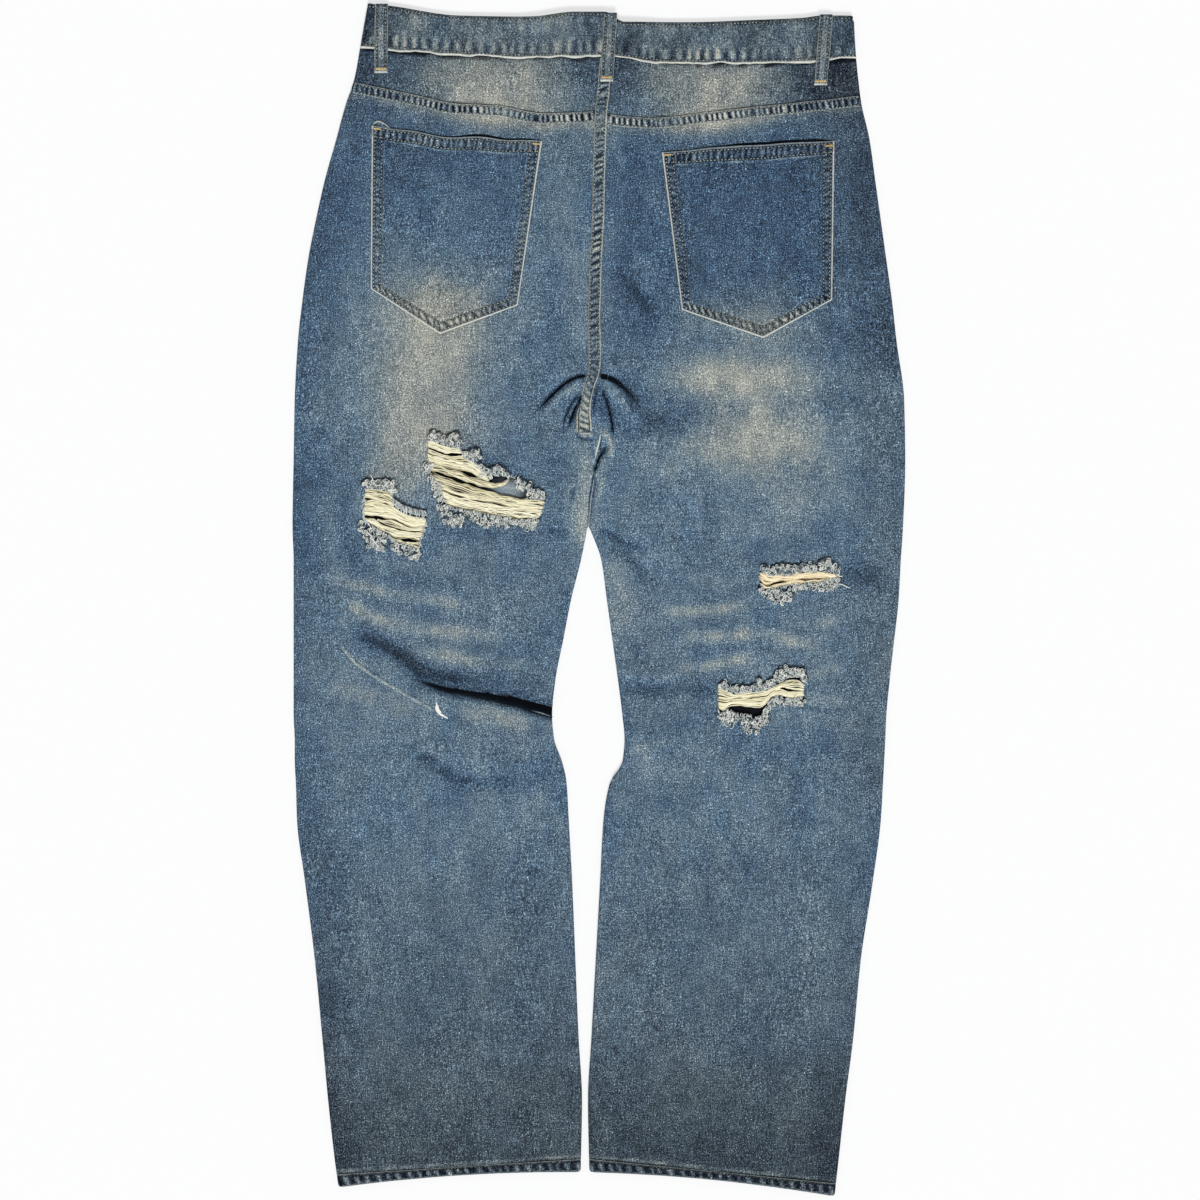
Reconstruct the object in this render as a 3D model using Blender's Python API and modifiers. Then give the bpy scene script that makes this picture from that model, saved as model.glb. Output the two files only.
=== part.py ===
"""Ripped straight-leg jeans, laid flat on a surface with the back up.

Frame: +Z up, the surface at z = 0, +Y towards the waist, +X towards the
wearer's right. The origin is under the middle of the garment. All sizes in
the tables are millimetres and become metres in place().

The two front panels lie flat underneath. Each back panel lies on top, bends
round the side and the inseam edge and ends at a seam WRAP in from the edge
on the underside. The rips are real holes in the back panels, with the bared
weft threads left in them and a frayed lip above and below.
"""

import math
from collections import namedtuple

import bmesh
import bpy
import numpy as np
from mathutils import Vector
from mathutils.bvhtree import BVHTree

# ---------------------------------------------------------------- sizes, mm
CLOTH = 1.2          # wall of the denim panels
BAND_WALL = 2.0      # waistband, two layers pressed together
HEM_WALL = 2.2       # turned-up hem, three layers pressed together
LOOP_WALL = 1.4      # belt loops, a folded strip
POCKET_WALL = 1.3    # patch pockets
INNER_WALL = 1.0     # pocket facings and zip, between the layers
THREAD_WALL = 0.9    # bared weft threads
FRAY_WALL = 1.8      # frayed lips
GAP = 0.3            # between neighbouring pieces
BAND_CLEAR = 0.5     # the curved waist seam is this much wider
BACK_TOP = 4.3       # outer face of the back cloth above the surface
WRAP = 9.0           # back cloth turned under, edge to seam
BAND_FLOOR = 1.8     # the waistband rides on the front belt loops
BAND_TOP_FACE = 6.4  # outer face of the waistband at the back
LAP_LENGTH = 38.0    # front waistband ends overlap this much
LAP_RISE = 2.3       # extra height where they overlap
FRONT_DIP = 12.0     # the front waist is cut lower than the back
HEM_DEPTH = 12.0     # height of the hem band
HEM_FACE = 5.4       # outer face of the hem band
LOOP_WIDTH = 12.0
FLY_WIDTH = 38.0
FLY_LENGTH = 150.0
ZIP_WIDTH = 22.0
ZIP_LENGTH = 128.0
SCOOP_WIDTH = 105.0  # front pocket mouth, from the side seam
SCOOP_DEPTH = 72.0   # front pocket mouth, down the side seam
BUTTON_RADIUS = 8.5
BUTTON_SHANK = 2.4
SEAT_SEAM_END = 150.0   # the four seams meet at this height
ROLLED_UNDER = 98.0     # from here down the inseam edges are fully turned

# -------------------------------------------------------------- outline, mm
# One row for each height: the outer edges, and below the crotch the inner
# edges of the two legs.
Outline = namedtuple("Outline", "y out_l in_l in_r out_r")
OUTLINE = [
    Outline(538, -209, None, None, 228),
    Outline(498, -216, None, None, 230),
    Outline(466, -222, None, None, 233),
    Outline(450, -228, None, None, 235),
    Outline(414, -238, None, None, 243),
    Outline(378, -248, None, None, 248),
    Outline(342, -256, None, None, 253),
    Outline(306, -263, None, None, 258),
    Outline(270, -268, None, None, 263),
    Outline(234, -272, None, None, 267),
    Outline(180, -275, None, None, 274),
    Outline(126, -276, None, None, 275),
    Outline(66, -277, -11, -10, 273),
    Outline(36, -276, -17, 1, 271),
    Outline(0, -276, -26, 6, 269),
    Outline(-36, -276, -33, 11, 265),
    Outline(-72, -276, -40, 16, 261),
    Outline(-104, -276, -43, 20, 258),
    Outline(-126, -275, -41, 22, 257),
    Outline(-146, -275, -34, 20, 256),
    Outline(-164, -274, -30, 9, 255),
    Outline(-198, -273, -28, 3, 253),
    Outline(-252, -266, -25, 0, 246),
    Outline(-324, -257, -22, -4, 235),
    Outline(-396, -250, -19, -8, 228),
    Outline(-450, -245, -16, -11, 221),
    Outline(-504, -239, -17, -10, 215),
    Outline(-540, -234, -18, -9, 211),
]

# Where the two back panels meet: the seat seam, then the touching thighs.
Centre = namedtuple("Centre", "y x")
CENTRE = [
    Centre(540, 8), Centre(486, 4), Centre(436, 1), Centre(337, -2),
    Centre(250, -4), Centre(210, -5), Centre(193, -9), Centre(175, -12),
    Centre(151, -12), Centre(136, -7), Centre(117, -5), Centre(90, -8),
    Centre(66, -10.5),
]

# Edges across the back, seen from above.
Edge = namedtuple("Edge", "x y")
BAND_HEAD = [
    Edge(-212, 537), Edge(-191, 535), Edge(-127, 526), Edge(-61, 525),
    Edge(-23, 529), Edge(4, 529), Edge(22, 520), Edge(80, 520),
    Edge(138, 522), Edge(183, 524), Edge(200, 526), Edge(228, 526),
]
BAND_FOOT = [
    Edge(-217, 497), Edge(-189, 494), Edge(-131, 490), Edge(-60, 487),
    Edge(0, 488), Edge(68, 482), Edge(150, 482), Edge(194, 484),
    Edge(231, 487),
]
YOKE_FOOT = [
    Edge(-223, 466), Edge(-164, 454), Edge(-131, 447), Edge(-92, 445),
    Edge(-50, 438), Edge(-20, 439), Edge(1, 440), Edge(9, 437),
    Edge(50, 434), Edge(96, 439), Edge(150, 445), Edge(191, 449),
    Edge(235, 454),
]

# Sections across the legs, waist to hem: the height of each section at the
# outer edge and at the inner edge of each leg, and how much of the yoke
# seam's waver it follows.
Section = namedtuple("Section", "l_out l_in r_out r_in waver")
SECTIONS = [
    Section(466, 440, 454, 440, 1.00),
    Section(441, 423, 430, 423, 0.60),
    Section(405, 391, 398, 391, 0.25),
    Section(365, 356, 360, 356, 0.05),
    Section(324, 319, 321, 319, 0),
    Section(283, 288, 283, 288, 0),
    Section(252, 256, 252, 256, 0),
    Section(225, 229, 225, 229, 0),
    Section(202, 207, 202, 207, 0),
    Section(182, 187, 180, 187, 0),
    Section(162, 166, 158, 166, 0),
    Section(139, 144, 135, 144, 0),
    Section(117, 121, 112, 121, 0),
    Section(92, 94, 89, 94, 0),
    Section(66, 66, 66, 66, 0),
    Section(40, 34, 40, 40, 0),
    Section(18, 0, 14, 14, 0),
    Section(-2, -36, -14, -11, 0),
    Section(-13, -60, -40, -36, 0),
    Section(-24, -82, -61, -58, 0),
    Section(-33, -94, -81, -81, 0),
    Section(-37, -98, -101, -104, 0),
    Section(-42, -105, -122, -124, 0),
    Section(-58, -124, -141, -141, 0),
    Section(-90, -148, -166, -166, 0),
    Section(-135, -180, -207, -207, 0),
    Section(-207, -234, -252, -252, 0),
    Section(-297, -315, -315, -315, 0),
    Section(-396, -400, -400, -400, 0),
    Section(-517, -503, -525, -503, 0),
]
# Shares of the way across a leg, outer edge to inner edge, closer together
# towards the crotch.
ACROSS = (0.0, 0.13, 0.27, 0.40, 0.52, 0.63, 0.73, 0.82, 0.90, 0.96, 1.0)

# Foot of each leg: heights of the lower edge of the hem.
Hem = namedtuple("Hem", "side y_out y_in bow")
HEMS = [Hem("left", -529, -515, 4), Hem("right", -537, -515, 4)]

# Largest folds of the back: a bent line through three points, how high it
# stands (or how deep, if negative), how far it spreads on the side to the
# left of its direction and on the right, and how much of each end fades out.
Fold = namedtuple("Fold", "x0 y0 x1 y1 x2 y2 height left right fade0 fade1")
FOLDS = [
    # knee of the left leg: cloth from above laps over the cloth below
    Fold(-232, -26, -160, -78, -38, -96, 4.6, 20, 4, 0.55, 0.0),
    Fold(-200, -66, -140, -92, -38, -106, -0.9, 6, 14, 0.40, 0.0),
    # below it a low swell across the calf
    Fold(-190, -130, -140, -158, -60, -150, 1.4, 16, 16, 0.4, 0.3),
    # under the seat, arcs on both sides of the seam
    Fold(-66, 166, -40, 206, -8, 204, -1.0, 9, 9, 0.35, 0.1),
    Fold(0, 206, 24, 200, 42, 170, -1.0, 9, 9, 0.1, 0.35),
    Fold(-50, 150, -36, 180, -14, 188, 2.4, 12, 12, 0.4, 0.2),
    Fold(4, 192, 28, 176, 34, 140, 2.4, 12, 12, 0.2, 0.4),
    # inner thighs roll down to where the legs touch
    Fold(-30, 120, -24, 90, -24, 50, 1.6, 10, 10, 0.4, 0.4),
    Fold(14, 120, 8, 90, 10, 50, 1.6, 10, 10, 0.4, 0.4),
    # right leg, across the thigh and above the knee
    Fold(20, 46, 36, 24, 60, 8, 1.8, 14, 14, 0.3, 0.4),
    Fold(16, -62, 34, -70, 66, -86, 2.4, 12, 6, 0.1, 0.5),
    # seat, soft swells beside the seam
    Fold(4, 296, 24, 276, 44, 258, 1.2, 12, 12, 0.4, 0.4),
]

# Rips: each row is one station across the hole: the upper and lower lip of
# the cloth, and the upper and lower thread still in it.
Rip = namedtuple("Rip", "x lip_hi lip_lo thread_hi thread_lo")
RIPS = {
    "a": ("left", 9.0, [
        Rip(-154, 142, 121, 141, 122), Rip(-147, 144, 104, 142, 106),
        Rip(-138, 142, 86, 140, 90), Rip(-123, 133, 81, 132, 83),
        Rip(-106, 121, 80, 120, 82), Rip(-92, 112, 77, 110, 79),
        Rip(-78, 105, 76, 97, 78), Rip(-65, 97, 74, 94, 76),
        Rip(-51, 92, 74, 90, 77),
    ]),
    "b": ("left", 8.0, [
        Rip(-211, 100, 74, 98, 76), Rip(-202, 101, 67, 99, 70),
        Rip(-187, 97, 54, 95, 57), Rip(-179, 82, 50, 80, 53),
        Rip(-168, 76, 47, 74, 50), Rip(-159, 73, 56, 72, 59),
    ]),
    "c": ("right", 8.0, [
        Rip(143, 29, 10, 27, 12), Rip(155, 25, 10, 24, 12),
        Rip(171, 26, 12, 24, 14), Rip(189, 27, 15, 25, 17),
        Rip(212, 26, 19, 25, 21),
    ]),
    "d": ("right", 9.0, [
        Rip(107, -78, -101, -80, -99), Rip(117, -81, -103, -83, -95),
        Rip(130, -81, -106, -83, -96), Rip(143, -78, -106, -80, -96),
        Rip(155, -73, -92, -76, -89), Rip(169, -68, -88, -73, -87),
        Rip(183, -71, -90, -74, -88),
    ]),
}
# Slits where the weft threads have parted: from one end to the other, the
# width at each.
Slit = namedtuple("Slit", "rip x0 y0 x1 y1 width0 width1")
SLITS = [
    Slit("a", -144, 112, -76, 97, 1.4, 6.0),
    Slit("b", -207, 74, -170, 58, 1.6, 1.6),
]

# Patch pockets: the five corners.
Pocket = namedtuple("Pocket", "side tlx tly trx try_ blx bly brx bry tipx tipy")
POCKETS = [
    Pocket("left", -205.5, 427, -52, 413, -206.5, 280, -74, 265, -144, 239),
    Pocket("right", 55.5, 403, 211, 412, 73.5, 261, 209, 270, 147, 235.5),
]

# Belt loops: the middle of the upper and of the lower end.
Loop = namedtuple("Loop", "name x_head x_foot y_foot face")
LOOPS = [
    Loop("loop_back_left", -196.5, -197, 474, "back"),
    Loop("loop_back_centre", 9.5, 6, 466, "back"),
    Loop("loop_back_right", 203.5, 198.5, 463, "back"),
    Loop("loop_front_left", -98, -98, 463, "front"),
    Loop("loop_front_right", 104, 104, 456, "front"),
]
LOOP_STAND = 5.0     # back loops start this far below the waistband's edge

# Colours: dark indigo, faded denim, bare thread, fringe, metal.
DENIM = (0.095, 0.155, 0.225)
DENIM_DARK = (0.070, 0.115, 0.175)
DENIM_FADED = (0.170, 0.225, 0.260)
INSIDE_BLUE = (0.260, 0.320, 0.370)
THREAD = (0.720, 0.640, 0.420)
FRINGE = (0.420, 0.450, 0.470)
METAL = (0.420, 0.330, 0.200)


# ------------------------------------------------------------- small maths
def curve_through(xs, ys):
    """A smooth line through the points that never overshoots them."""
    order = np.argsort(xs)
    x = np.asarray(xs, float)[order]
    y = np.asarray(ys, float)[order]
    step = np.diff(x)
    slope = np.diff(y) / step
    tangent = np.empty_like(y)
    tangent[0], tangent[-1] = slope[0], slope[-1]
    for i in range(1, len(y) - 1):
        if slope[i - 1] * slope[i] <= 0:
            tangent[i] = 0.0
        else:
            a = 2 * step[i] + step[i - 1]
            b = step[i] + 2 * step[i - 1]
            tangent[i] = (a + b) / (a / slope[i - 1] + b / slope[i])

    def at(value):
        value = min(max(value, x[0]), x[-1])
        i = min(int(np.searchsorted(x, value, side="right")) - 1, len(step) - 1)
        t = (value - x[i]) / step[i]
        return float(
            (2 * t**3 - 3 * t**2 + 1) * y[i]
            + (t**3 - 2 * t**2 + t) * step[i] * tangent[i]
            + (3 * t**2 - 2 * t**3) * y[i + 1]
            + (t**3 - t**2) * step[i] * tangent[i + 1]
        )

    return at


def smooth(t):
    t = min(max(t, 0.0), 1.0)
    return t * t * (3 - 2 * t)


def lerp(a, b, t):
    return a + (b - a) * t


out_l = curve_through([r.y for r in OUTLINE], [r.out_l for r in OUTLINE])
out_r = curve_through([r.y for r in OUTLINE], [r.out_r for r in OUTLINE])
LEGS = [r for r in OUTLINE if r.in_l is not None]
leg_l = curve_through([r.y for r in LEGS], [r.in_l for r in LEGS])
leg_r = curve_through([r.y for r in LEGS], [r.in_r for r in LEGS])
centre = curve_through([r.y for r in CENTRE], [r.x for r in CENTRE])
band_head = curve_through([e.x for e in BAND_HEAD], [e.y for e in BAND_HEAD])
band_foot = curve_through([e.x for e in BAND_FOOT], [e.y for e in BAND_FOOT])
yoke_foot = curve_through([e.x for e in YOKE_FOOT], [e.y for e in YOKE_FOOT])


def outer_edge(side, y):
    return out_l(y) if side == "left" else out_r(y)


def inner_edge(side, y):
    """The seat seam or the inner edge of the leg, half a gap clear."""
    clear = -GAP / 2 if side == "left" else GAP / 2
    if y >= 66:
        return centre(y) + clear
    return (leg_l(y) if side == "left" else leg_r(y)) + clear


def rolled(y):
    """0 at the seat seam, 1 where the inner edge is turned right under."""
    return smooth((SEAT_SEAM_END - y) / (SEAT_SEAM_END - ROLLED_UNDER))


# ------------------------------------------------------ height of the cloth
def fold_points(f, count=24):
    """The fold's line: a parabola through its three points."""
    cx = 2 * f.x1 - (f.x0 + f.x2) / 2
    cy = 2 * f.y1 - (f.y0 + f.y2) / 2
    points = []
    for i in range(count + 1):
        t = i / count
        u = 1 - t
        points.append((
            u * u * f.x0 + 2 * u * t * cx + t * t * f.x2,
            u * u * f.y0 + 2 * u * t * cy + t * t * f.y2,
            t,
        ))
    return points


FOLD_LINES = [(f, fold_points(f)) for f in FOLDS]


def fold_height(f, line, x, y):
    best = None
    for (ax, ay, at), (bx, by, bt) in zip(line, line[1:]):
        dx, dy = bx - ax, by - ay
        s = ((x - ax) * dx + (y - ay) * dy) / (dx * dx + dy * dy)
        s = min(max(s, 0.0), 1.0)
        ex, ey = x - (ax + s * dx), y - (ay + s * dy)
        d = math.hypot(ex, ey)
        if best is None or d < best[0]:
            left_side = dx * ey - dy * ex > 0
            best = (d, left_side, lerp(at, bt, s))
    d, left_side, t = best
    spread = f.left if left_side else f.right
    share = 1.0
    if f.fade0 > 0:
        share *= smooth(t / f.fade0)
    if f.fade1 > 0:
        share *= smooth((1 - t) / f.fade1)
    return f.height * share * math.exp(-((d / spread) ** 2))


def band_lump(x):
    """How much the overlapped front ends lift what lies on them."""
    return LAP_RISE * smooth((x + 78) / 34) * smooth((62 - x) / 34)


def front_dip(x):
    return FRONT_DIP * smooth((188 - abs(x - 4)) / 130)


def cloth_top(x, y):
    """The outer face of the back cloth."""
    z = BACK_TOP
    foot = band_foot(x)
    if y > foot - 45:
        near_band = smooth((y - (foot - 38)) / 20)
        z += near_band * (1.15 + band_lump(x)) * smooth((225 - abs(x - 4)) / 30)
    for f, line in FOLD_LINES:
        z += fold_height(f, line, x, y)
    return z


# ---------------------------------------------------------------- materials
def material(name, colour, roughness, metallic=0.0):
    mat = bpy.data.materials.get(name)
    if mat is None:
        mat = bpy.data.materials.new(name)
        mat.use_nodes = True
        shader = mat.node_tree.nodes["Principled BSDF"]
        shader.inputs["Base Color"].default_value = (*colour, 1.0)
        shader.inputs["Roughness"].default_value = roughness
        shader.inputs["Metallic"].default_value = metallic
    return mat


# ------------------------------------------------------------ making things
for old in list(bpy.data.objects):
    bpy.data.objects.remove(old, do_unlink=True)

parts = bpy.data.collections.new("ripped_jeans")
cutters = bpy.data.collections.new("cutters")
bpy.context.scene.collection.children.link(parts)
bpy.context.scene.collection.children.link(cutters)
root = bpy.data.objects.new("jeans_root", None)
parts.objects.link(root)


def add_object(name, mesh, mat, cutter=False):
    obj = bpy.data.objects.new(name, mesh)
    if cutter:
        cutters.objects.link(obj)
        obj.hide_render = True
        obj.display_type = "WIRE"
    else:
        parts.objects.link(obj)
        obj.parent = root
        mesh.materials.append(mat)
    return obj


def place(mm):
    return Vector((mm[0] * 0.001, mm[1] * 0.001, mm[2] * 0.001))


def sheet(name, columns, rows, where, wall, mat, offset=-1.0, closed=False,
          cutter=False):
    """An open sheet of cloth with its wall added by Solidify.

    where(i, j) gives the millimetre place of column i, row j; columns run
    towards +X and rows towards +Y on an upper face, so it faces up.
    """
    bm = bmesh.new()
    bmesh.ops.create_grid(bm, x_segments=columns - 1, y_segments=rows - 1,
                          size=1.0)
    for vert in bm.verts:
        i = round((vert.co.x + 1) / 2 * (columns - 1))
        j = round((vert.co.y + 1) / 2 * (rows - 1))
        vert.co = place(where(i, j))
    if closed:
        bmesh.ops.remove_doubles(bm, verts=bm.verts, dist=0.00001)
    mesh = bpy.data.meshes.new(name)
    bm.to_mesh(mesh)
    bm.free()
    obj = add_object(name, mesh, mat, cutter)
    solid = obj.modifiers.new("wall", "SOLIDIFY")
    solid.thickness = wall * 0.001
    solid.offset = offset
    solid.use_even_offset = False
    return obj


def plate(name, outline, z_low, z_high, mat=None, cutter=False):
    """A flat piece: a filled 2D outline with a thickness, as a mesh."""
    data = bpy.data.curves.new(name, "CURVE")
    data.dimensions = "2D"
    data.fill_mode = "BOTH"
    data.extrude = (z_high - z_low) / 2 * 0.001
    spline = data.splines.new("POLY")
    spline.points.add(len(outline) - 1)
    for point, (x, y) in zip(spline.points, outline):
        point.co = (x * 0.001, y * 0.001, 0.0, 1.0)
    spline.use_cyclic_u = True
    guide = bpy.data.objects.new(name + "_outline", data)
    guide.location.z = (z_low + z_high) / 2 * 0.001
    parts.objects.link(guide)
    bpy.context.view_layer.update()
    graph = bpy.context.evaluated_depsgraph_get()
    mesh = bpy.data.meshes.new_from_object(guide.evaluated_get(graph))
    mesh.name = name
    matrix = guide.matrix_world.copy()
    bpy.data.objects.remove(guide, do_unlink=True)
    bpy.data.curves.remove(data)
    bm = bmesh.new()
    bm.from_mesh(mesh)
    bmesh.ops.remove_doubles(bm, verts=bm.verts, dist=0.000001)
    bmesh.ops.recalc_face_normals(bm, faces=bm.faces)
    bm.to_mesh(mesh)
    bm.free()
    mesh.materials.clear()
    obj = add_object(name, mesh, mat, cutter)
    obj.matrix_world = matrix
    return obj


def cut(obj, cutter):
    mod = obj.modifiers.new("cut_" + cutter.name, "BOOLEAN")
    mod.operation = "DIFFERENCE"
    mod.solver = "EXACT"
    mod.object = cutter


class Rest:
    """The upper faces of finished pieces, to lay others on."""

    def __init__(self, *objects):
        bpy.context.view_layer.update()
        graph = bpy.context.evaluated_depsgraph_get()
        self.trees = []
        for obj in objects:
            evaluated = obj.evaluated_get(graph)
            mesh = evaluated.to_mesh()
            bm = bmesh.new()
            bm.from_mesh(mesh)
            bm.transform(obj.matrix_world)
            self.trees.append(BVHTree.FromBMesh(bm))
            bm.free()
            evaluated.to_mesh_clear()

    def at(self, x, y, spread):
        """The highest cloth within spread of a point, in millimetres."""
        high = None
        for dx in (-spread, -spread / 2, 0.0, spread / 2, spread):
            for dy in (-spread, -spread / 2, 0.0, spread / 2, spread):
                start = place((x + dx, y + dy, 100.0))
                for tree in self.trees:
                    hit = tree.ray_cast(start, Vector((0, 0, -1)))[0]
                    if hit is not None and (high is None or hit.z > high):
                        high = hit.z
        return 0.0 if high is None else high * 1000.0


# ---------------------------------------------------- back cloth and yokes
def bend(edge, towards, height, wrapped):
    """The cloth going over an edge: top, two points of the bend, the bottom
    and the seam. towards is +1 when the edge faces +X. wrapped runs from 0,
    where the cloth stays flat and ends at the edge, to 1, turned under."""
    radius = height / 2
    points = []
    for k, degrees in enumerate((90, 30, -30, -90)):
        a = math.radians(degrees)
        turned = (edge - towards * radius * (1 - math.cos(a)),
                  radius + radius * math.sin(a))
        flat = (edge - towards * (14 - 3.0 * k), height)
        points.append((lerp(flat[0], turned[0], wrapped),
                       lerp(flat[1], turned[1], wrapped)))
    points.append((lerp(edge, edge - towards * (radius + WRAP), wrapped),
                   lerp(height, 0.0, wrapped)))
    # the furthest point of the bend lies on the edge, however far it turns
    shift = edge - max(points, key=lambda p: towards * p[0])[0]
    return [(x + shift, z) for x, z in points]


def across_section(side, y_out, y_in, line):
    """All points of one section of a back piece, towards +X.

    line(x, straight) turns the straight section's height into its real one.
    """
    x_out = outer_edge(side, y_out)
    x_in = inner_edge(side, y_in)
    out_way, in_way = (-1, 1) if side == "left" else (1, -1)

    def height(x):
        share = (x - x_out) / (x_in - x_out)
        return line(x, lerp(y_out, y_in, share))

    outer = bend(x_out, out_way, cloth_top(x_out, height(x_out)), 1.0)
    inner = bend(x_in, in_way, cloth_top(x_in, height(x_in)), rolled(y_in))
    points = [(x, height(x), z) for x, z in reversed(outer)]
    start, end = outer[0][0], inner[0][0]
    for t in ACROSS[1:-1]:
        x = lerp(start, end, t)
        points.append((x, height(x), cloth_top(x, height(x))))
    points += [(x, height(x), z) for x, z in inner]
    return points if side == "left" else points[::-1]


def panel_rows(side):
    """The sections of a back panel, hem to yoke seam."""
    rows = []
    last = len(SECTIONS) - 1
    for k, s in enumerate(SECTIONS):
        y_out, y_in = (s.l_out, s.l_in) if side == "left" else (s.r_out, s.r_in)
        shift = -GAP / 2 if k == 0 else GAP / 2 if k == last else 0.0

        def line(x, straight, s=s, shift=shift, k=k):
            first = SECTIONS[0]
            seam = yoke_foot(x) if s.waver else 0.0
            if not s.waver:
                return straight + shift
            head_out, head_in = ((first.l_out, first.l_in) if side == "left"
                                 else (first.r_out, first.r_in))
            x_out, x_in = outer_edge(side, head_out), inner_edge(side, head_in)
            share = (x - x_out) / (x_in - x_out)
            waver = seam - lerp(head_out, head_in, share)
            return straight + s.waver * waver + shift

        rows.append(across_section(side, y_out, y_in, line))
    return rows[::-1]


def yoke_rows(side):
    """The sections of a yoke, yoke seam to waistband."""
    rows = []
    for share in (0.0, 0.30, 0.58, 0.80, 1.0):
        shift = lerp(GAP / 2, -GAP / 2 - BAND_CLEAR, share)

        def line(x, _straight, share=share, shift=shift):
            low = yoke_foot(x)
            return lerp(low, band_foot(x), share) + shift

        x_out = -219 if side == "left" else 232
        y_out = lerp(yoke_foot(x_out), band_foot(x_out), share)
        y_in = lerp(yoke_foot(2), band_foot(4), share)
        rows.append(across_section(side, y_out, y_in, line))
    return rows


denim = material("denim", DENIM, 0.9)
denim_dark = material("denim_dark", DENIM_DARK, 0.9)
denim_faded = material("denim_faded", DENIM_FADED, 0.9)
inside_blue = material("denim_inside", INSIDE_BLUE, 0.9)

backs, yokes = {}, {}
for side in ("left", "right"):
    rows = panel_rows(side)
    backs[side] = sheet("back_" + side, len(rows[0]), len(rows),
                        lambda i, j, rows=rows: rows[j][i], CLOTH, denim)
    top_rows = yoke_rows(side)
    yokes[side] = sheet("yoke_" + side, len(top_rows[0]), len(top_rows),
                        lambda i, j, rows=top_rows: rows[j][i], CLOTH,
                        denim_faded)

# ------------------------------------------------------------- front panels
FRONT_SIDE_CLEAR = WRAP + GAP


def front_outline(side):
    """Down the side seam, across the foot, up the inseam and the centre
    seam, and back along the waist seam."""
    rows = panel_rows(side)[::-1]
    yoke = yoke_rows(side)[::-1]
    towards = 1 if side == "left" else -1
    points = []
    for row in yoke + rows:
        seam = row[0] if side == "left" else row[-1]
        points.append((seam[0] + towards * GAP, seam[1]))
    inner = []
    for row in rows:
        seam = row[-1] if side == "left" else row[0]
        turned = rolled(seam[1])
        clear = -towards * GAP * (1 if turned > 0 else 0)
        inner.append((seam[0] + clear, seam[1]))
    points += inner[::-1]
    x_seam = points[0][0]
    x_mid = centre(470) - towards * GAP / 2
    top = []
    for k in range(13):
        x = lerp(x_mid, x_seam, k / 12)
        top.append((x, band_foot(x) - front_dip(x) - GAP))
    points += top[:-1]
    points[0] = (x_seam, top[-1][1])
    return points


fronts = {side: plate("front_" + side, front_outline(side), 0.0, CLOTH, denim)
          for side in ("left", "right")}


# Fly flap on the left front, flush with the panel it is stitched to.
def fly_outline(extra):
    """J-shaped: straight down beside the centre seam, then round to it."""
    y_head = band_foot(0) - FRONT_DIP - GAP - 0.2
    y_foot = y_head - FLY_LENGTH
    turn = 34.0
    x_left = centre(y_foot) - FLY_WIDTH
    points = [(x_left - extra, y_head + extra * 4)]
    for k in range(9):
        a = math.radians(180 + 90 * k / 8)
        points.append((x_left + turn + (turn + extra) * math.cos(a),
                       y_foot + turn + (turn + extra) * math.sin(a)))
    for share in (0.0, 0.25, 0.5, 0.75, 1.0):
        y = lerp(y_foot - extra, y_head + extra * 4, share)
        points.append((centre(y) - GAP + extra * 5, y))
    return points


fly = plate("fly", fly_outline(0.0), 0.0, CLOTH, denim)
fly_notch = plate("fly_notch", fly_outline(GAP), -2.0, CLOTH + 2.0, cutter=True)
cut(fronts["left"], fly_notch)
zip_top = band_foot(0) - FRONT_DIP - 2.0
zip_strip = plate(
    "zip",
    [(centre(zip_top) - ZIP_WIDTH / 2, zip_top),
     (centre(zip_top) - ZIP_WIDTH / 2, zip_top - ZIP_LENGTH + 6),
     (centre(zip_top) - ZIP_WIDTH / 2 + 4, zip_top - ZIP_LENGTH),
     (centre(zip_top) + ZIP_WIDTH / 2 - 4, zip_top - ZIP_LENGTH),
     (centre(zip_top) + ZIP_WIDTH / 2, zip_top - ZIP_LENGTH + 6),
     (centre(zip_top) + ZIP_WIDTH / 2, zip_top)],
    CLOTH + GAP, CLOTH + GAP + INNER_WALL, denim_dark)


# Front pockets: a scooped mouth in the panel and the facing behind it.
def scoop_outline(side, extra):
    towards = 1 if side == "left" else -1
    y_head = yoke_rows(side)[-1][0 if side == "left" else -1][1]
    x_head = outer_edge(side, y_head) + towards * 4.0
    points = [(x_head - towards * 30, y_head + 30),
              (x_head + towards * (SCOOP_WIDTH + extra), y_head + 30)]
    for k in range(13):
        a = math.radians(90 * k / 12)
        points.append((
            x_head + towards * (SCOOP_WIDTH + extra) * math.cos(a),
            y_head - (SCOOP_DEPTH + extra) * math.sin(a)))
    points.append((x_head - towards * 30, y_head - SCOOP_DEPTH - extra))
    return points


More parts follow.
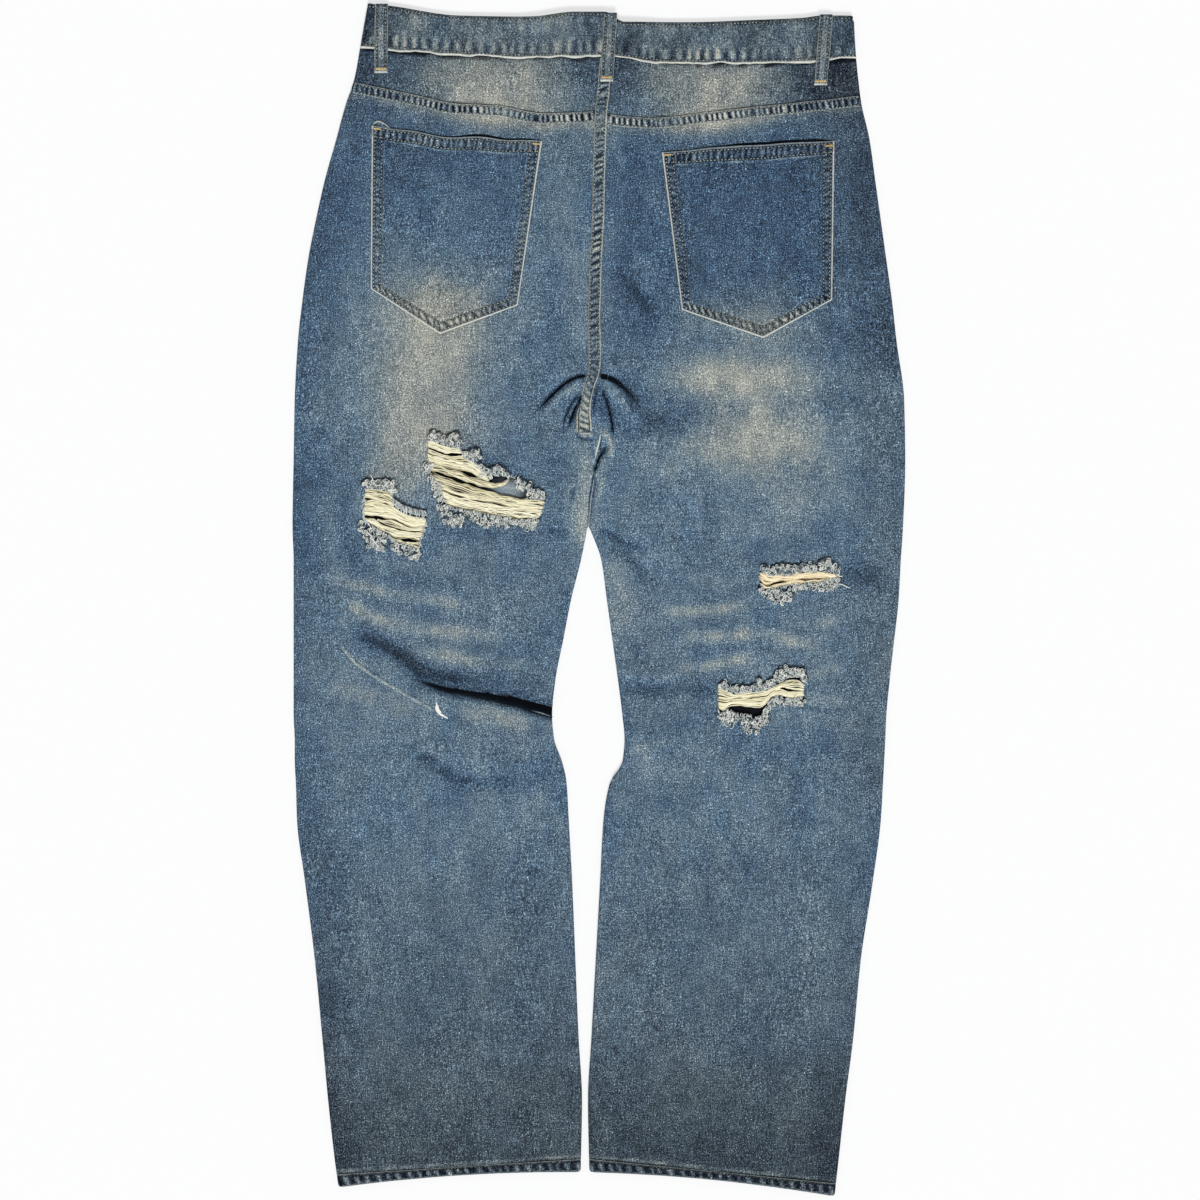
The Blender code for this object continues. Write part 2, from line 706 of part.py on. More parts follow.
def facing_outline(side):
    """The scoop with a margin, kept inside the side seam and waist seam."""
    towards = 1 if side == "left" else -1
    margin = 14.0
    y_head = yoke_rows(side)[-1][0 if side == "left" else -1][1] - 1.0
    x_head = outer_edge(side, y_head) + towards * 4.0
    side_line = [row[0 if side == "left" else -1]
                 for row in (yoke_rows(side) + panel_rows(side)[:-1][::-1][:4])]
    seam_x = curve_through([p[1] for p in side_line], [p[0] for p in side_line])
    wide = SCOOP_WIDTH + margin - 4.0
    points = []
    for k in range(9):
        x = lerp(seam_x(y_head) + towards * 1.0, x_head + towards * wide, k / 8)
        points.append((x, band_foot(x) - front_dip(x) - 1.0))
    y_corner = points[-1][1]
    deep = SCOOP_DEPTH + margin
    for k in range(1, 10):
        a = math.radians(90 * k / 10)
        y = y_corner - (deep - (y_head - y_corner)) * math.sin(a)
        points.append((x_head + towards * wide * math.cos(a)
                       + towards * 5.0 * math.sin(a), y))
    y_low = y_head - deep
    for k in range(6):
        y = lerp(y_low, y_head - 6, k / 5)
        points.append((seam_x(y) + towards * 1.0, y))
    return points


facings = {}
for side in ("left", "right"):
    mouth = plate("mouth_" + side, scoop_outline(side, 0.0), -2.0, CLOTH + 2.0,
                  cutter=True)
    cut(fronts[side], mouth)
    facings[side] = plate("facing_" + side, facing_outline(side), CLOTH + GAP,
                          CLOTH + GAP + INNER_WALL, denim_dark)

# --------------------------------------------------------------- waistband
# Stations round the waist, from the outer front end at the fly, along the
# left front, over the left edge, across the back, over the right edge and
# back along the right front to the inner end behind the fly.
FRONT_LEFT = (3, -14, -38, -75, -115, -155, -185)
BACK_ACROSS = (-190, -160, -127, -95, -70, -50, -23, 4, 22, 48, 66, 100, 140,
               170, 200)
FRONT_RIGHT = (196, 160, 125, 90, 55, 20, 6, -10, -24, -LAP_LENGTH + 2)


def band_path(level):
    """One edge or the middle of the band; level 0 foot, 1 head."""

    def back_y(x):
        low = band_foot(x) + GAP / 2
        return lerp(low, band_head(x), level)

    def front_y(x):
        low = band_foot(x) + GAP / 2
        high = lerp(band_head(x), 526.0, smooth((150 - abs(x)) / 60))
        return lerp(low, high, level) - front_dip(x)

    path = []
    for x in FRONT_LEFT:
        path.append((x, front_y(x), BAND_FLOOR))
    for edge, towards, degrees in (
        (out_l, -1, (-90, -30, 30, 90)),
        (out_r, 1, (90, 30, -30, -90)),
    ):
        at = -214 if towards < 0 else 229
        y = back_y(at)
        x_edge = edge(y)
        radius = (BAND_TOP_FACE - BAND_FLOOR) / 2
        turn = []
        for d in degrees:
            a = math.radians(d)
            turn.append((x_edge - towards * radius * (1 - math.cos(a)), y,
                         BAND_FLOOR + radius + radius * math.sin(a)))
        if towards < 0:
            path += turn
            for x in BACK_ACROSS:
                path.append((x, back_y(x), BAND_TOP_FACE + band_lump(x)))
        else:
            path += turn
    for x in FRONT_RIGHT:
        step = smooth((20 - x) / 13)
        path.append((x, front_y(x),
                     BAND_FLOOR + step * (BAND_WALL + GAP + 0.05)))
    return path


band_lines = [band_path(level) for level in (0.0, 0.5, 1.0)]
waistband = sheet("waistband", len(band_lines[0]), 3,
                  lambda i, j: band_lines[j][i], BAND_WALL, denim_faded)

# Waist button, turned: a flat head outside and a shank through the band.
button_x, button_y = -12.0, band_foot(-12) - FRONT_DIP + 20.0
profile = [(0.0, 3.75), (BUTTON_SHANK, 3.75), (BUTTON_SHANK, 1.45),
           (BUTTON_RADIUS - 0.6, 1.3), (BUTTON_RADIUS, 0.8),
           (BUTTON_RADIUS - 0.8, 0.1), (0.0, 0.1)]
mesh = bpy.data.meshes.new("button")
bm = bmesh.new()
ring = [bm.verts.new(place((r, 0.0, z))) for r, z in profile]
for a, b in zip(ring, ring[1:]):
    bm.edges.new((a, b))
bm.to_mesh(mesh)
bm.free()
button = add_object("button", mesh, material("button_metal", METAL, 0.4, 1.0))
button.location = place((button_x, button_y, 0.0))
turn = button.modifiers.new("turn", "SCREW")
turn.axis = "Z"
turn.steps = turn.render_steps = 20
turn.use_merge_vertices = True
turn.merge_threshold = 0.00001
turn.use_normal_calculate = True

bm = bmesh.new()
bmesh.ops.create_cone(bm, cap_ends=True, segments=20,
                      radius1=(BUTTON_SHANK + 0.6) * 0.001,
                      radius2=(BUTTON_SHANK + 0.6) * 0.001, depth=0.0028)
mesh = bpy.data.meshes.new("buttonhole")
bm.to_mesh(mesh)
bm.free()
buttonhole = add_object("buttonhole", mesh, None, cutter=True)
buttonhole.location = place((button_x, button_y, 2.55))
cut(waistband, buttonhole)


# -------------------------------------------------------------------- hems
def hem_ring(hem):
    """Points round the foot of a leg, for the lower and the upper edge."""
    side = hem.side
    lines = []
    for level in (0.0, 0.5, 1.0):
        def height(x, level=level):
            start = outer_edge(side, hem.y_out + HEM_DEPTH)
            end = inner_edge(side, hem.y_in + HEM_DEPTH)
            t = (x - start) / (end - start)
            y = lerp(hem.y_out, hem.y_in, t)
            y += hem.bow * 4 * t * (1 - t) * (1 - level)
            return y + level * (HEM_DEPTH - GAP / 2)

        x_out = outer_edge(side, hem.y_out + level * HEM_DEPTH)
        x_in = inner_edge(side, hem.y_in + level * HEM_DEPTH)
        low, high = min(x_out, x_in), max(x_out, x_in)
        radius = HEM_FACE / 2
        points = []
        for k in range(7):
            x = lerp(low + radius, high - radius, k / 6)
            points.append((x, HEM_FACE))
        for d in (45, 0, -45):
            a = math.radians(d)
            points.append((high - radius + radius * math.cos(a),
                           radius + radius * math.sin(a)))
        for k in range(7):
            x = lerp(high - radius, low + radius, k / 6)
            points.append((x, 0.0))
        for d in (-45, 0, 45):
            a = math.radians(d)
            points.append((low + radius - radius * math.cos(a),
                           radius + radius * math.sin(a)))
        points.append(points[0])
        lines.append([(x, height(x), z) for x, z in points])
    return lines


for hem in HEMS:
    ring_lines = hem_ring(hem)
    sheet("hem_" + hem.side, len(ring_lines[0]), 3,
          lambda i, j, lines=ring_lines: lines[j][i], HEM_WALL, denim_dark,
          closed=True)


# -------------------------------------------------------------- back pockets
for p in POCKETS:
    rest = Rest(backs[p.side])
    columns, rows_count = 7, 7
    spread = 8.0

    def pocket_point(i, j, p=p, rest=rest):
        u, v = i / (columns - 1), 1 - j / (rows_count - 1)
        left_x, left_y = lerp(p.tlx, p.blx, v), lerp(p.tly, p.bly, v)
        right_x, right_y = lerp(p.trx, p.brx, v), lerp(p.try_, p.bry, v)
        tip_share = (p.tipx - p.blx) / (p.brx - p.blx)
        bulge = u / tip_share if u < tip_share else (1 - u) / (1 - tip_share)
        drop = lerp(p.bly, p.bry, tip_share) - p.tipy
        x, y = lerp(left_x, right_x, u), lerp(left_y, right_y, u)
        y -= v * bulge * drop
        z = rest.at(x, y, spread) + GAP
        return (x, y, z)

    sheet("pocket_" + p.side, columns, rows_count, pocket_point, POCKET_WALL,
          denim_dark, offset=1.0)

# ---------------------------------------------------------------- belt loops
for loop in LOOPS:
    if loop.face == "back":
        side = "left" if loop.x_head < 0 else "right"
        rest = Rest(waistband, yokes["left"], yokes["right"])
        head = band_head(loop.x_head) - 0.5
        foot_line = band_foot(loop.x_foot)
        stations = [loop.y_foot, foot_line - 9, foot_line - 2.5,
                    foot_line + 3, lerp(foot_line, head, 0.5), head - 6, head]

        def loop_point(i, j, loop=loop, rest=rest, stations=stations,
                       head=head, foot_line=foot_line):
            y = stations[j]
            t = (head - y) / (head - loop.y_foot)
            x = lerp(loop.x_head, loop.x_foot, t) + (i - 0.5) * LOOP_WIDTH
            z = max(rest.at(x, y, 2.4), rest.at(x, y + 3, 2.4) - 0.2,
                    rest.at(x, min(y + 6, head - 3), 2.0) - 0.8) + GAP
            return (x, y, z)

        sheet(loop.name, 2, len(stations), loop_point, LOOP_WALL, denim_dark,
              offset=1.0)
    else:
        side = "left" if loop.x_head < 0 else "right"
        head = band_path(1.0)
        y_head = min(p[1] for p in head
                     if abs(p[0] - loop.x_head) < 30 and p[2] < 3) - 0.5
        half = LOOP_WIDTH / 2
        corners = [(loop.x_foot - half, loop.y_foot),
                   (loop.x_foot + half, loop.y_foot),
                   (loop.x_head + half, y_head), (loop.x_head - half, y_head)]
        plate(loop.name, corners, 0.0, LOOP_WALL, denim_dark)
        notch = plate(
            "notch_" + loop.name,
            [(loop.x_foot - half - GAP, loop.y_foot - GAP),
             (loop.x_foot + half + GAP, loop.y_foot - GAP),
             (loop.x_foot + half + GAP, y_head),
             (loop.x_foot - half - GAP, y_head)],
            -2.0, CLOTH + 2.0, cutter=True)
        cut(fronts[side], notch)

# ---------------------------------------------------------------------- rips
thread_mat = material("weft_thread", THREAD, 0.95)
fringe_mat = material("fringe", FRINGE, 0.95)
for name, (side, reach, stations) in RIPS.items():
    last = len(stations) - 1

    def hole_point(i, j, stations=stations):
        s = stations[i]
        return (s.x, s.lip_hi if j else s.lip_lo, 30.0)

    hole = sheet("hole_" + name, len(stations), 2, hole_point, 28.0, None,
                 cutter=True)
    cut(backs[side], hole)

    def thread_point(i, j, stations=stations, last=last):
        s = stations[i]
        x = s.x + (0.5 if i == 0 else -0.5 if i == last else 0.0)
        y = lerp(s.thread_lo, s.thread_hi, j / 2)
        return (x, y, cloth_top(x, y) - 0.25)

    threads = sheet("threads_" + name, len(stations), 3, thread_point,
                    THREAD_WALL, thread_mat)
    for k, slit in enumerate(s for s in SLITS if s.rip == name):
        dx, dy = slit.x1 - slit.x0, slit.y1 - slit.y0
        length = math.hypot(dx, dy)
        nx, ny = -dy / length, dx / length
        gash = plate(
            "slit_%s_%d" % (name, k),
            [(slit.x0 - nx * slit.width0 / 2, slit.y0 - ny * slit.width0 / 2),
             (slit.x1 - nx * slit.width1 / 2, slit.y1 - ny * slit.width1 / 2),
             (slit.x1 + nx * slit.width1 / 2, slit.y1 + ny * slit.width1 / 2),
             (slit.x0 + nx * slit.width0 / 2, slit.y0 + ny * slit.width0 / 2)],
            1.0, 25.0, cutter=True)
        cut(threads, gash)
    rest = Rest(backs[side], threads)
    for lip, low, high in (("top", -1.0, 1.0), ("foot", 1.0, -1.0)):

        def fray_point(i, j, stations=stations, lip=lip, rest=rest,
                       reach=reach, last=last):
            s = stations[i]
            x = s.x + (-1.0 if i == 0 else 1.0 if i == last else 0.0)
            if lip == "top":
                y = lerp(s.lip_hi - 1.5, s.lip_hi + reach, j / 2)
            else:
                y = lerp(s.lip_lo - reach, s.lip_lo + 1.5, j / 2)
            return (x, y, rest.at(x, y, 5.0) + GAP)

        sheet("fray_%s_%s" % (name, lip), len(stations), 3, fray_point,
              FRAY_WALL, fringe_mat, offset=1.0)

for obj in parts.objects:
    if obj.type == "MESH" and obj.name == "button":
        obj.data.shade_smooth()
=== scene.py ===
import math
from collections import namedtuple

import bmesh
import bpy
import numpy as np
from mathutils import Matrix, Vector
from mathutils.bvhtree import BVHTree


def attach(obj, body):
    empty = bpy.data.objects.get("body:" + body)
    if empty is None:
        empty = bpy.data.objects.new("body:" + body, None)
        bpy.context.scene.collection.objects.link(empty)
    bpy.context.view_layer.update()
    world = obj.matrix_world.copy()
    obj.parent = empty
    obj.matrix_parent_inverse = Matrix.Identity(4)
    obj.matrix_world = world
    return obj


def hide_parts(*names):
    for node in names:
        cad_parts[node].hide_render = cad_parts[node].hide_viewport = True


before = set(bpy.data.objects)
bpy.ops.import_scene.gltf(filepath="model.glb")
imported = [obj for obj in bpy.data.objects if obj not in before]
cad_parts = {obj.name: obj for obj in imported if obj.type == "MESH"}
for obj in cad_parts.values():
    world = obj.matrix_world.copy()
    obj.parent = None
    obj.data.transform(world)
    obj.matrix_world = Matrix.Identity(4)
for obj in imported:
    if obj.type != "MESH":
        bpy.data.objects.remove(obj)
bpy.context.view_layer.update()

# Ripped jeans, laid flat with the back up: the finish of every surface.
#
# Tables are millimetres in the frame of the CAD: +Y to the waist, +X to the
# wearer's right, the surface at z = 0. Each piece of cloth is a fine grid on
# the form of its CAD solid, with its wall, and carries two colour attributes:
# one for wear and painted shade (fade from wear, painted shade and shadow,
# bare edge) and "tone" (beige, inner side, thread tint; on yarn, thread tint
# and painted shade). The materials do the rest.

# ---------------------------------------------------------------- sizes, mm
CLOTH = 1.2
BAND_WALL = 2.0
HEM_WALL = 2.2
LOOP_WALL = 1.4
POCKET_WALL = 1.3
INNER_WALL = 1.0
GAP = 0.3
BACK_TOP = 4.3
WRAP = 9.0
BAND_FLOOR = 1.8
BAND_TOP_FACE = 6.4
LAP_LENGTH = 38.0
LAP_RISE = 2.3
FRONT_DIP = 12.0
HEM_DEPTH = 12.0
HEM_FACE = 5.4
LOOP_WIDTH = 12.0
FLY_WIDTH = 38.0
FLY_LENGTH = 150.0
SCOOP_WIDTH = 105.0
SCOOP_DEPTH = 72.0
SEAT_SEAM_END = 150.0
ROLLED_UNDER = 98.0
SEAM_WIDTH = 10.0        # felled seams: yoke and seat
STITCH = 3.0             # stitch pitch

# -------------------------------------------------------------- outline, mm
Outline = namedtuple("Outline", "y out_l in_l in_r out_r")
OUTLINE = [
    Outline(538, -209, None, None, 228),
    Outline(498, -216, None, None, 230),
    Outline(466, -222, None, None, 233),
    Outline(450, -228, None, None, 235),
    Outline(414, -238, None, None, 243),
    Outline(378, -248, None, None, 248),
    Outline(342, -256, None, None, 253),
    Outline(306, -263, None, None, 258),
    Outline(270, -268, None, None, 263),
    Outline(234, -272, None, None, 267),
    Outline(180, -275, None, None, 274),
    Outline(126, -276, None, None, 275),
    Outline(66, -277, -11, -10, 273),
    Outline(36, -276, -17, 1, 271),
    Outline(0, -276, -26, 6, 269),
    Outline(-36, -276, -33, 11, 265),
    Outline(-72, -276, -40, 16, 261),
    Outline(-104, -276, -43, 20, 258),
    Outline(-126, -275, -41, 22, 257),
    Outline(-146, -275, -34, 20, 256),
    Outline(-164, -274, -30, 9, 255),
    Outline(-198, -273, -28, 3, 253),
    Outline(-252, -266, -25, 0, 246),
    Outline(-324, -257, -22, -4, 235),
    Outline(-396, -250, -19, -8, 228),
    Outline(-450, -245, -16, -11, 221),
    Outline(-504, -239, -17, -10, 215),
    Outline(-540, -234, -18, -9, 211),
]
Centre = namedtuple("Centre", "y x")
CENTRE = [
    Centre(540, 8), Centre(486, 4), Centre(436, 1), Centre(337, -2),
    Centre(250, -4), Centre(210, -5), Centre(193, -9), Centre(175, -12),
    Centre(151, -12), Centre(136, -7), Centre(117, -5), Centre(90, -8),
    Centre(66, -10.5),
]
Edge = namedtuple("Edge", "x y")
BAND_HEAD = [
    Edge(-212, 537), Edge(-191, 535), Edge(-127, 526), Edge(-61, 525),
    Edge(-23, 529), Edge(4, 529), Edge(22, 520), Edge(80, 520),
    Edge(138, 522), Edge(183, 524), Edge(200, 526), Edge(228, 526),
]
BAND_FOOT = [
    Edge(-217, 497), Edge(-189, 494), Edge(-131, 490), Edge(-60, 487),
    Edge(0, 488), Edge(68, 482), Edge(150, 482), Edge(194, 484),
    Edge(231, 487),
]
YOKE_FOOT = [
    Edge(-223, 466), Edge(-164, 454), Edge(-131, 447), Edge(-92, 445),
    Edge(-50, 438), Edge(-20, 439), Edge(1, 440), Edge(9, 437),
    Edge(50, 434), Edge(96, 439), Edge(150, 445), Edge(191, 449),
    Edge(235, 454),
]
Section = namedtuple("Section", "l_out l_in r_out r_in waver")
SECTIONS = [
    Section(466, 440, 454, 440, 1.00),
    Section(441, 423, 430, 423, 0.60),
    Section(405, 391, 398, 391, 0.25),
    Section(365, 356, 360, 356, 0.05),
    Section(324, 319, 321, 319, 0),
    Section(283, 288, 283, 288, 0),
    Section(252, 256, 252, 256, 0),
    Section(225, 229, 225, 229, 0),
    Section(202, 207, 202, 207, 0),
    Section(182, 187, 180, 187, 0),
    Section(162, 166, 158, 166, 0),
    Section(139, 144, 135, 144, 0),
    Section(117, 121, 112, 121, 0),
    Section(92, 94, 89, 94, 0),
    Section(66, 66, 66, 66, 0),
    Section(40, 34, 40, 40, 0),
    Section(18, 0, 14, 14, 0),
    Section(-2, -36, -14, -11, 0),
    Section(-13, -60, -40, -36, 0),
    Section(-24, -82, -61, -58, 0),
    Section(-33, -94, -81, -81, 0),
    Section(-37, -98, -101, -104, 0),
    Section(-42, -105, -122, -124, 0),
    Section(-58, -124, -141, -141, 0),
    Section(-90, -148, -166, -166, 0),
    Section(-135, -180, -207, -207, 0),
    Section(-207, -234, -252, -252, 0),
    Section(-297, -315, -315, -315, 0),
    Section(-396, -400, -400, -400, 0),
    Section(-517, -503, -525, -503, 0),
]
Hem = namedtuple("Hem", "side y_out y_in bow")
HEMS = [Hem("left", -529, -515, 4), Hem("right", -537, -515, 4)]

# Rips. Each is drawn on its own small frame: an origin at its upper left and
# a unit, with +v downwards. top and foot are the lips of the hole, bundles
# the bared weft between them (upper line, lower line, threads, how high), and
# curls the bunches of warp ends round it (u, v, radius).
Rip = namedtuple("Rip", "side x y unit top foot bundles curls combs")
RIPS = {
    "a": Rip(
        "left", -166.5, 157.5, 0.14,
        ((84, 98), (130, 108), (200, 130), (288, 158), (300, 188), (330, 215),
         (375, 243), (402, 262), (450, 298), (520, 326), (600, 330), (650, 345),
         (700, 395), (760, 446), (832, 476)),
        ((84, 246), (104, 322), (130, 384), (170, 452), (195, 508), (300, 546),
         (420, 566), (560, 596), (700, 614), (796, 606)),
        (
            (((84, 104), (130, 112), (200, 136), (296, 166)),
             ((84, 142), (130, 160), (170, 176), (230, 184), (300, 182)), 9, 0.9),
            (((84, 152), (130, 172), (200, 194), (300, 196), (360, 222), (410, 262), (450, 310)),
             ((84, 244), (140, 250), (220, 272), (300, 296), (340, 300), (400, 330), (470, 362)), 18, 0.6),
            (((84, 250), (150, 258), (220, 282), (300, 308), (380, 336), (460, 364),
              (520, 380), (566, 370), (604, 340)),
             ((104, 300), (170, 310), (230, 330), (300, 352), (380, 382), (450, 400),
              (520, 402), (570, 388), (612, 350)), 9, 1.7),
            (((116, 308), (180, 328), (270, 360), (340, 386), (420, 408), (500, 430),
              (560, 450), (640, 468), (700, 478), (828, 486)),
             ((118, 356), (200, 392), (300, 428), (400, 446), (500, 466), (600, 488),
              (700, 500), (828, 510)), 7, 0.9),
            (((122, 361), (200, 396), (300, 432), (400, 450), (500, 470), (600, 492),
              (700, 504), (826, 514)),
             ((140, 406), (220, 438), (300, 462), (400, 484), (500, 504), (600, 520),
              (700, 528), (822, 540)), 6, 0.6),
            (((144, 410), (220, 442), (300, 467), (400, 489), (500, 509), (600, 525),
              (700, 532), (820, 544)),
             ((194, 500), (300, 540), (420, 560), (560, 590), (700, 608), (798, 600)), 15, 0.8),
        ),
        (
            (115, 62, 27), (150, 76, 26), (185, 96, 22), (225, 82, 24), (262, 70, 26),
            (278, 108, 20), (236, 112, 18), (98, 88, 18),
            (318, 186, 18), (350, 184, 24), (388, 174, 27), (404, 206, 26), (366, 216, 20),
            (415, 262, 18), (440, 284, 24), (470, 300, 24), (502, 294, 28), (538, 284, 26),
            (566, 300, 26), (592, 322, 20), (428, 318, 20), (482, 334, 18),
            (664, 360, 24), (692, 374, 26), (664, 404, 24), (706, 410, 28), (738, 396, 26),
            (746, 432, 26), (720, 452, 20), (782, 430, 26), (806, 446, 26), (802, 474, 20),
            (762, 464, 20), (822, 470, 18),
            (68, 262, 18), (94, 276, 20), (80, 292, 16), (114, 268, 14),
            (112, 340, 16), (124, 370, 20), (148, 386, 20), (128, 410, 22), (158, 426, 22),
            (138, 450, 22), (168, 462, 18), (152, 482, 14),
            (160, 530, 24), (196, 534, 22), (180, 570, 24), (216, 572, 26), (206, 612, 24),
            (246, 602, 26), (240, 640, 24), (276, 626, 24), (286, 590, 22), (310, 612, 22),
            (300, 646, 16), (340, 572, 20), (370, 602, 24), (376, 560, 18), (410, 590, 24),
            (420, 630, 24), (450, 610, 26), (456, 650, 22), (490, 626, 26), (500, 592, 22),
            (530, 640, 26), (540, 606, 22), (576, 626, 26), (590, 650, 20), (612, 612, 24),
            (640, 622, 24), (646, 644, 18), (680, 626, 24), (700, 650, 24), (726, 660, 22),
            (736, 626, 24), (766, 640, 26), (782, 612, 20), (760, 664, 16),
        ),
        (),
    ),
    "b": Rip(
        "left", -225.0, 117.0, 0.085,
        ((160, 196), (300, 206), (420, 228), (446, 262), (450, 330), (520, 400),
         (600, 440), (700, 470), (806, 480)),
        ((160, 232), (140, 500), (200, 572), (250, 606), (330, 656), (420, 700),
         (450, 742), (560, 776), (640, 806), (712, 846), (744, 750), (806, 560)),
        (
            (((160, 200), (300, 212), (420, 236), (442, 262)),
             ((156, 300), (220, 310), (300, 336), (380, 360), (442, 392)), 13, 0.9),
            (((152, 308), (240, 316), (330, 344), (400, 362), (470, 396), (540, 444),
              (640, 488), (800, 506)),
             ((142, 486), (240, 492), (300, 500), (400, 512), (470, 526), (540, 560),
              (620, 592), (700, 612), (796, 616)), 22, 0.7),
            (((300, 512), (400, 522), (470, 536), (540, 572), (620, 602), (700, 622),
              (796, 626)),
             ((300, 540), (340, 566), (400, 580), (460, 592), (520, 616), (620, 640),
              (796, 660)), 6, 1.0),
            (((146, 500), (190, 508), (240, 508), (290, 536), (320, 566), (390, 592),
              (460, 606), (520, 628), (620, 650), (796, 668)),
             ((150, 524), (200, 562), (250, 590), (330, 640), (420, 682), (480, 706),
              (560, 718), (680, 738), (744, 744)), 12, 0.8),
            (((440, 716), (520, 744), (620, 752), (742, 756)),
             ((450, 742), (560, 776), (640, 806), (714, 842)), 8, 0.9),
        ),
        (
            (150, 142, 28), (186, 120, 28), (186, 166, 26), (226, 126, 28), (232, 170, 28),
            (270, 140, 30), (286, 182, 26), (322, 132, 30), (332, 172, 28), (366, 122, 30),
            (376, 168, 28), (406, 132, 28), (420, 172, 28), (450, 142, 26), (456, 196, 28),
            (480, 216, 22), (442, 222, 20),
            (112, 570, 24), (110, 620, 26), (140, 600, 24), (150, 650, 28), (160, 700, 28),
            (190, 742, 30), (202, 682, 28), (220, 622, 26), (232, 780, 32), (242, 722, 30),
            (270, 682, 28), (282, 762, 32), (300, 820, 32), (320, 722, 30), (332, 790, 32),
            (350, 830, 28), (372, 762, 28), (372, 706, 24), (312, 664, 24), (192, 800, 24),
            (460, 820, 26), (490, 800, 26), (500, 850, 28), (532, 870, 26), (552, 822, 26),
            (590, 832, 28), (612, 880, 28), (642, 862, 28), (652, 920, 28), (690, 900, 28),
            (702, 940, 26), (730, 892, 24), (662, 834, 24), (722, 852, 20), (784, 452, 20),
        ),
        # warp ends that hang down over the threads: from, to, how many
        (((452, 300), (500, 330), (560, 372), (640, 402), (720, 424), (796, 436)), 58, 8.5),
    ),
    "c": Rip(
        "right", 135.0, 40.5, 0.099,
        ((92, 146), (150, 170), (210, 190), (260, 176), (330, 186), (380, 176),
         (420, 160), (520, 154), (620, 150), (720, 158), (786, 182)),
        ((92, 266), (150, 316), (230, 300), (300, 282), (380, 270), (440, 274),
         (520, 256), (600, 256), (700, 232), (786, 212)),
        (
            (((92, 150), (150, 176), (210, 196), (260, 182), (330, 190), (380, 182),
              (420, 166), (520, 160), (620, 156), (720, 166), (784, 186)),
             ((92, 236), (140, 276), (230, 252), (320, 232), (370, 236), (430, 222),
              (520, 212), (620, 210), (700, 208), (782, 200)), 12, 1.2),
            (((94, 250), (150, 290), (240, 268), (330, 244), (380, 226), (440, 226),
              (500, 230), (600, 228), (700, 218), (780, 206)),
             ((94, 264), (156, 312), (240, 296), (330, 276), (420, 266), (450, 268),
              (520, 248), (600, 248), (700, 228), (780, 210)), 7, 0.6),
        ),
        (
            (130, 110, 26), (150, 140, 24), (170, 164, 22), (200, 130, 24), (220, 150, 24),
            (250, 110, 24), (270, 140, 24), (300, 100, 24), (322, 132, 26), (350, 110, 22),
            (380, 130, 24), (410, 110, 24), (440, 120, 22), (470, 100, 24), (490, 124, 22),
            (520, 110, 24), (546, 90, 24), (570, 120, 24), (600, 120, 24), (640, 80, 28),
            (670, 60, 28), (700, 76, 30), (730, 90, 30), (690, 110, 30), (650, 120, 26),
            (740, 120, 28), (770, 110, 28), (790, 140, 24), (720, 52, 22), (796, 166, 18),
            (96, 310, 24), (110, 340, 24), (130, 364, 22), (160, 344, 24), (170, 384, 22),
            (200, 350, 24), (200, 400, 20), (220, 420, 18), (240, 370, 26), (250, 332, 24),
            (270, 400, 24), (290, 350, 26), (290, 428, 18), (310, 390, 26), (330, 360, 24),
            (350, 398, 22), (370, 360, 20), (360, 320, 20), (220, 332, 20), (400, 300, 24),
            (430, 288, 24), (440, 318, 20), (470, 300, 24), (500, 282, 24), (520, 304, 22),
            (550, 280, 24), (580, 300, 24), (610, 276, 24), (640, 300, 26), (670, 270, 26),
            (700, 294, 26), (730, 264, 26), (750, 298, 22), (780, 250, 24), (790, 288, 20),
            (802, 228, 20), (692, 250, 22),
        ),
        (),
    ),
    "d": Rip(
        "right", 94.5, -49.5, 0.11,
        ((108, 256), (160, 284), (240, 314), (330, 304), (420, 296), (500, 284),
         (570, 250), (630, 212), (700, 180), (770, 182), (806, 222)),
        ((108, 456), (160, 474), (200, 452), (240, 476), (300, 486), (370, 496),
         (420, 514), (454, 504), (492, 460), (520, 392), (560, 350), (600, 340),
         (680, 358), (740, 358), (804, 346)),
        (
            (((110, 260), (160, 290), (240, 320), (330, 310), (420, 302), (500, 290),
              (570, 262), (620, 240)),
             ((110, 330), (180, 340), (260, 352), (340, 350), (420, 346), (500, 330),
              (570, 290), (640, 262)), 9, 1.0),
            (((110, 338), (180, 352), (260, 360), (340, 358), (420, 354), (500, 338),
              (560, 300), (620, 276), (690, 296), (800, 300)),
             ((110, 446), (158, 462), (190, 426), (230, 408), (300, 414), (380, 428),
              (450, 436), (500, 398), (540, 340), (600, 330), (680, 350), (740, 352),
              (800, 340)), 16, 0.7),
            (((590, 250), (640, 222), (700, 206), (760, 206), (802, 236)),
             ((590, 284), (630, 262), (680, 280), (720, 288), (800, 292)), 10, 1.2),
        ),
        (
            (130, 250, 18), (160, 240, 22), (182, 262, 20), (200, 282, 22), (230, 276, 22),
            (260, 270, 22), (290, 284, 22), (310, 264, 20), (340, 280, 22), (370, 270, 22),
            (400, 260, 22), (430, 270, 20), (440, 202, 20), (446, 230, 22), (460, 256, 22),
            (490, 250, 20), (520, 236, 24), (546, 216, 24), (560, 240, 22), (580, 200, 24),
            (590, 162, 26), (620, 132, 26), (622, 178, 26), (650, 150, 26), (660, 112, 24),
            (690, 130, 28), (652, 184, 20), (700, 154, 26), (730, 120, 26), (742, 150, 24),
            (770, 140, 26), (782, 166, 22), (800, 132, 24), (810, 170, 24), (816, 200, 20),
            (120, 490, 22), (140, 510, 22), (150, 540, 22), (180, 500, 24), (180, 548, 20),
            (200, 474, 20), (210, 520, 24), (230, 496, 22), (240, 540, 20), (260, 506, 22),
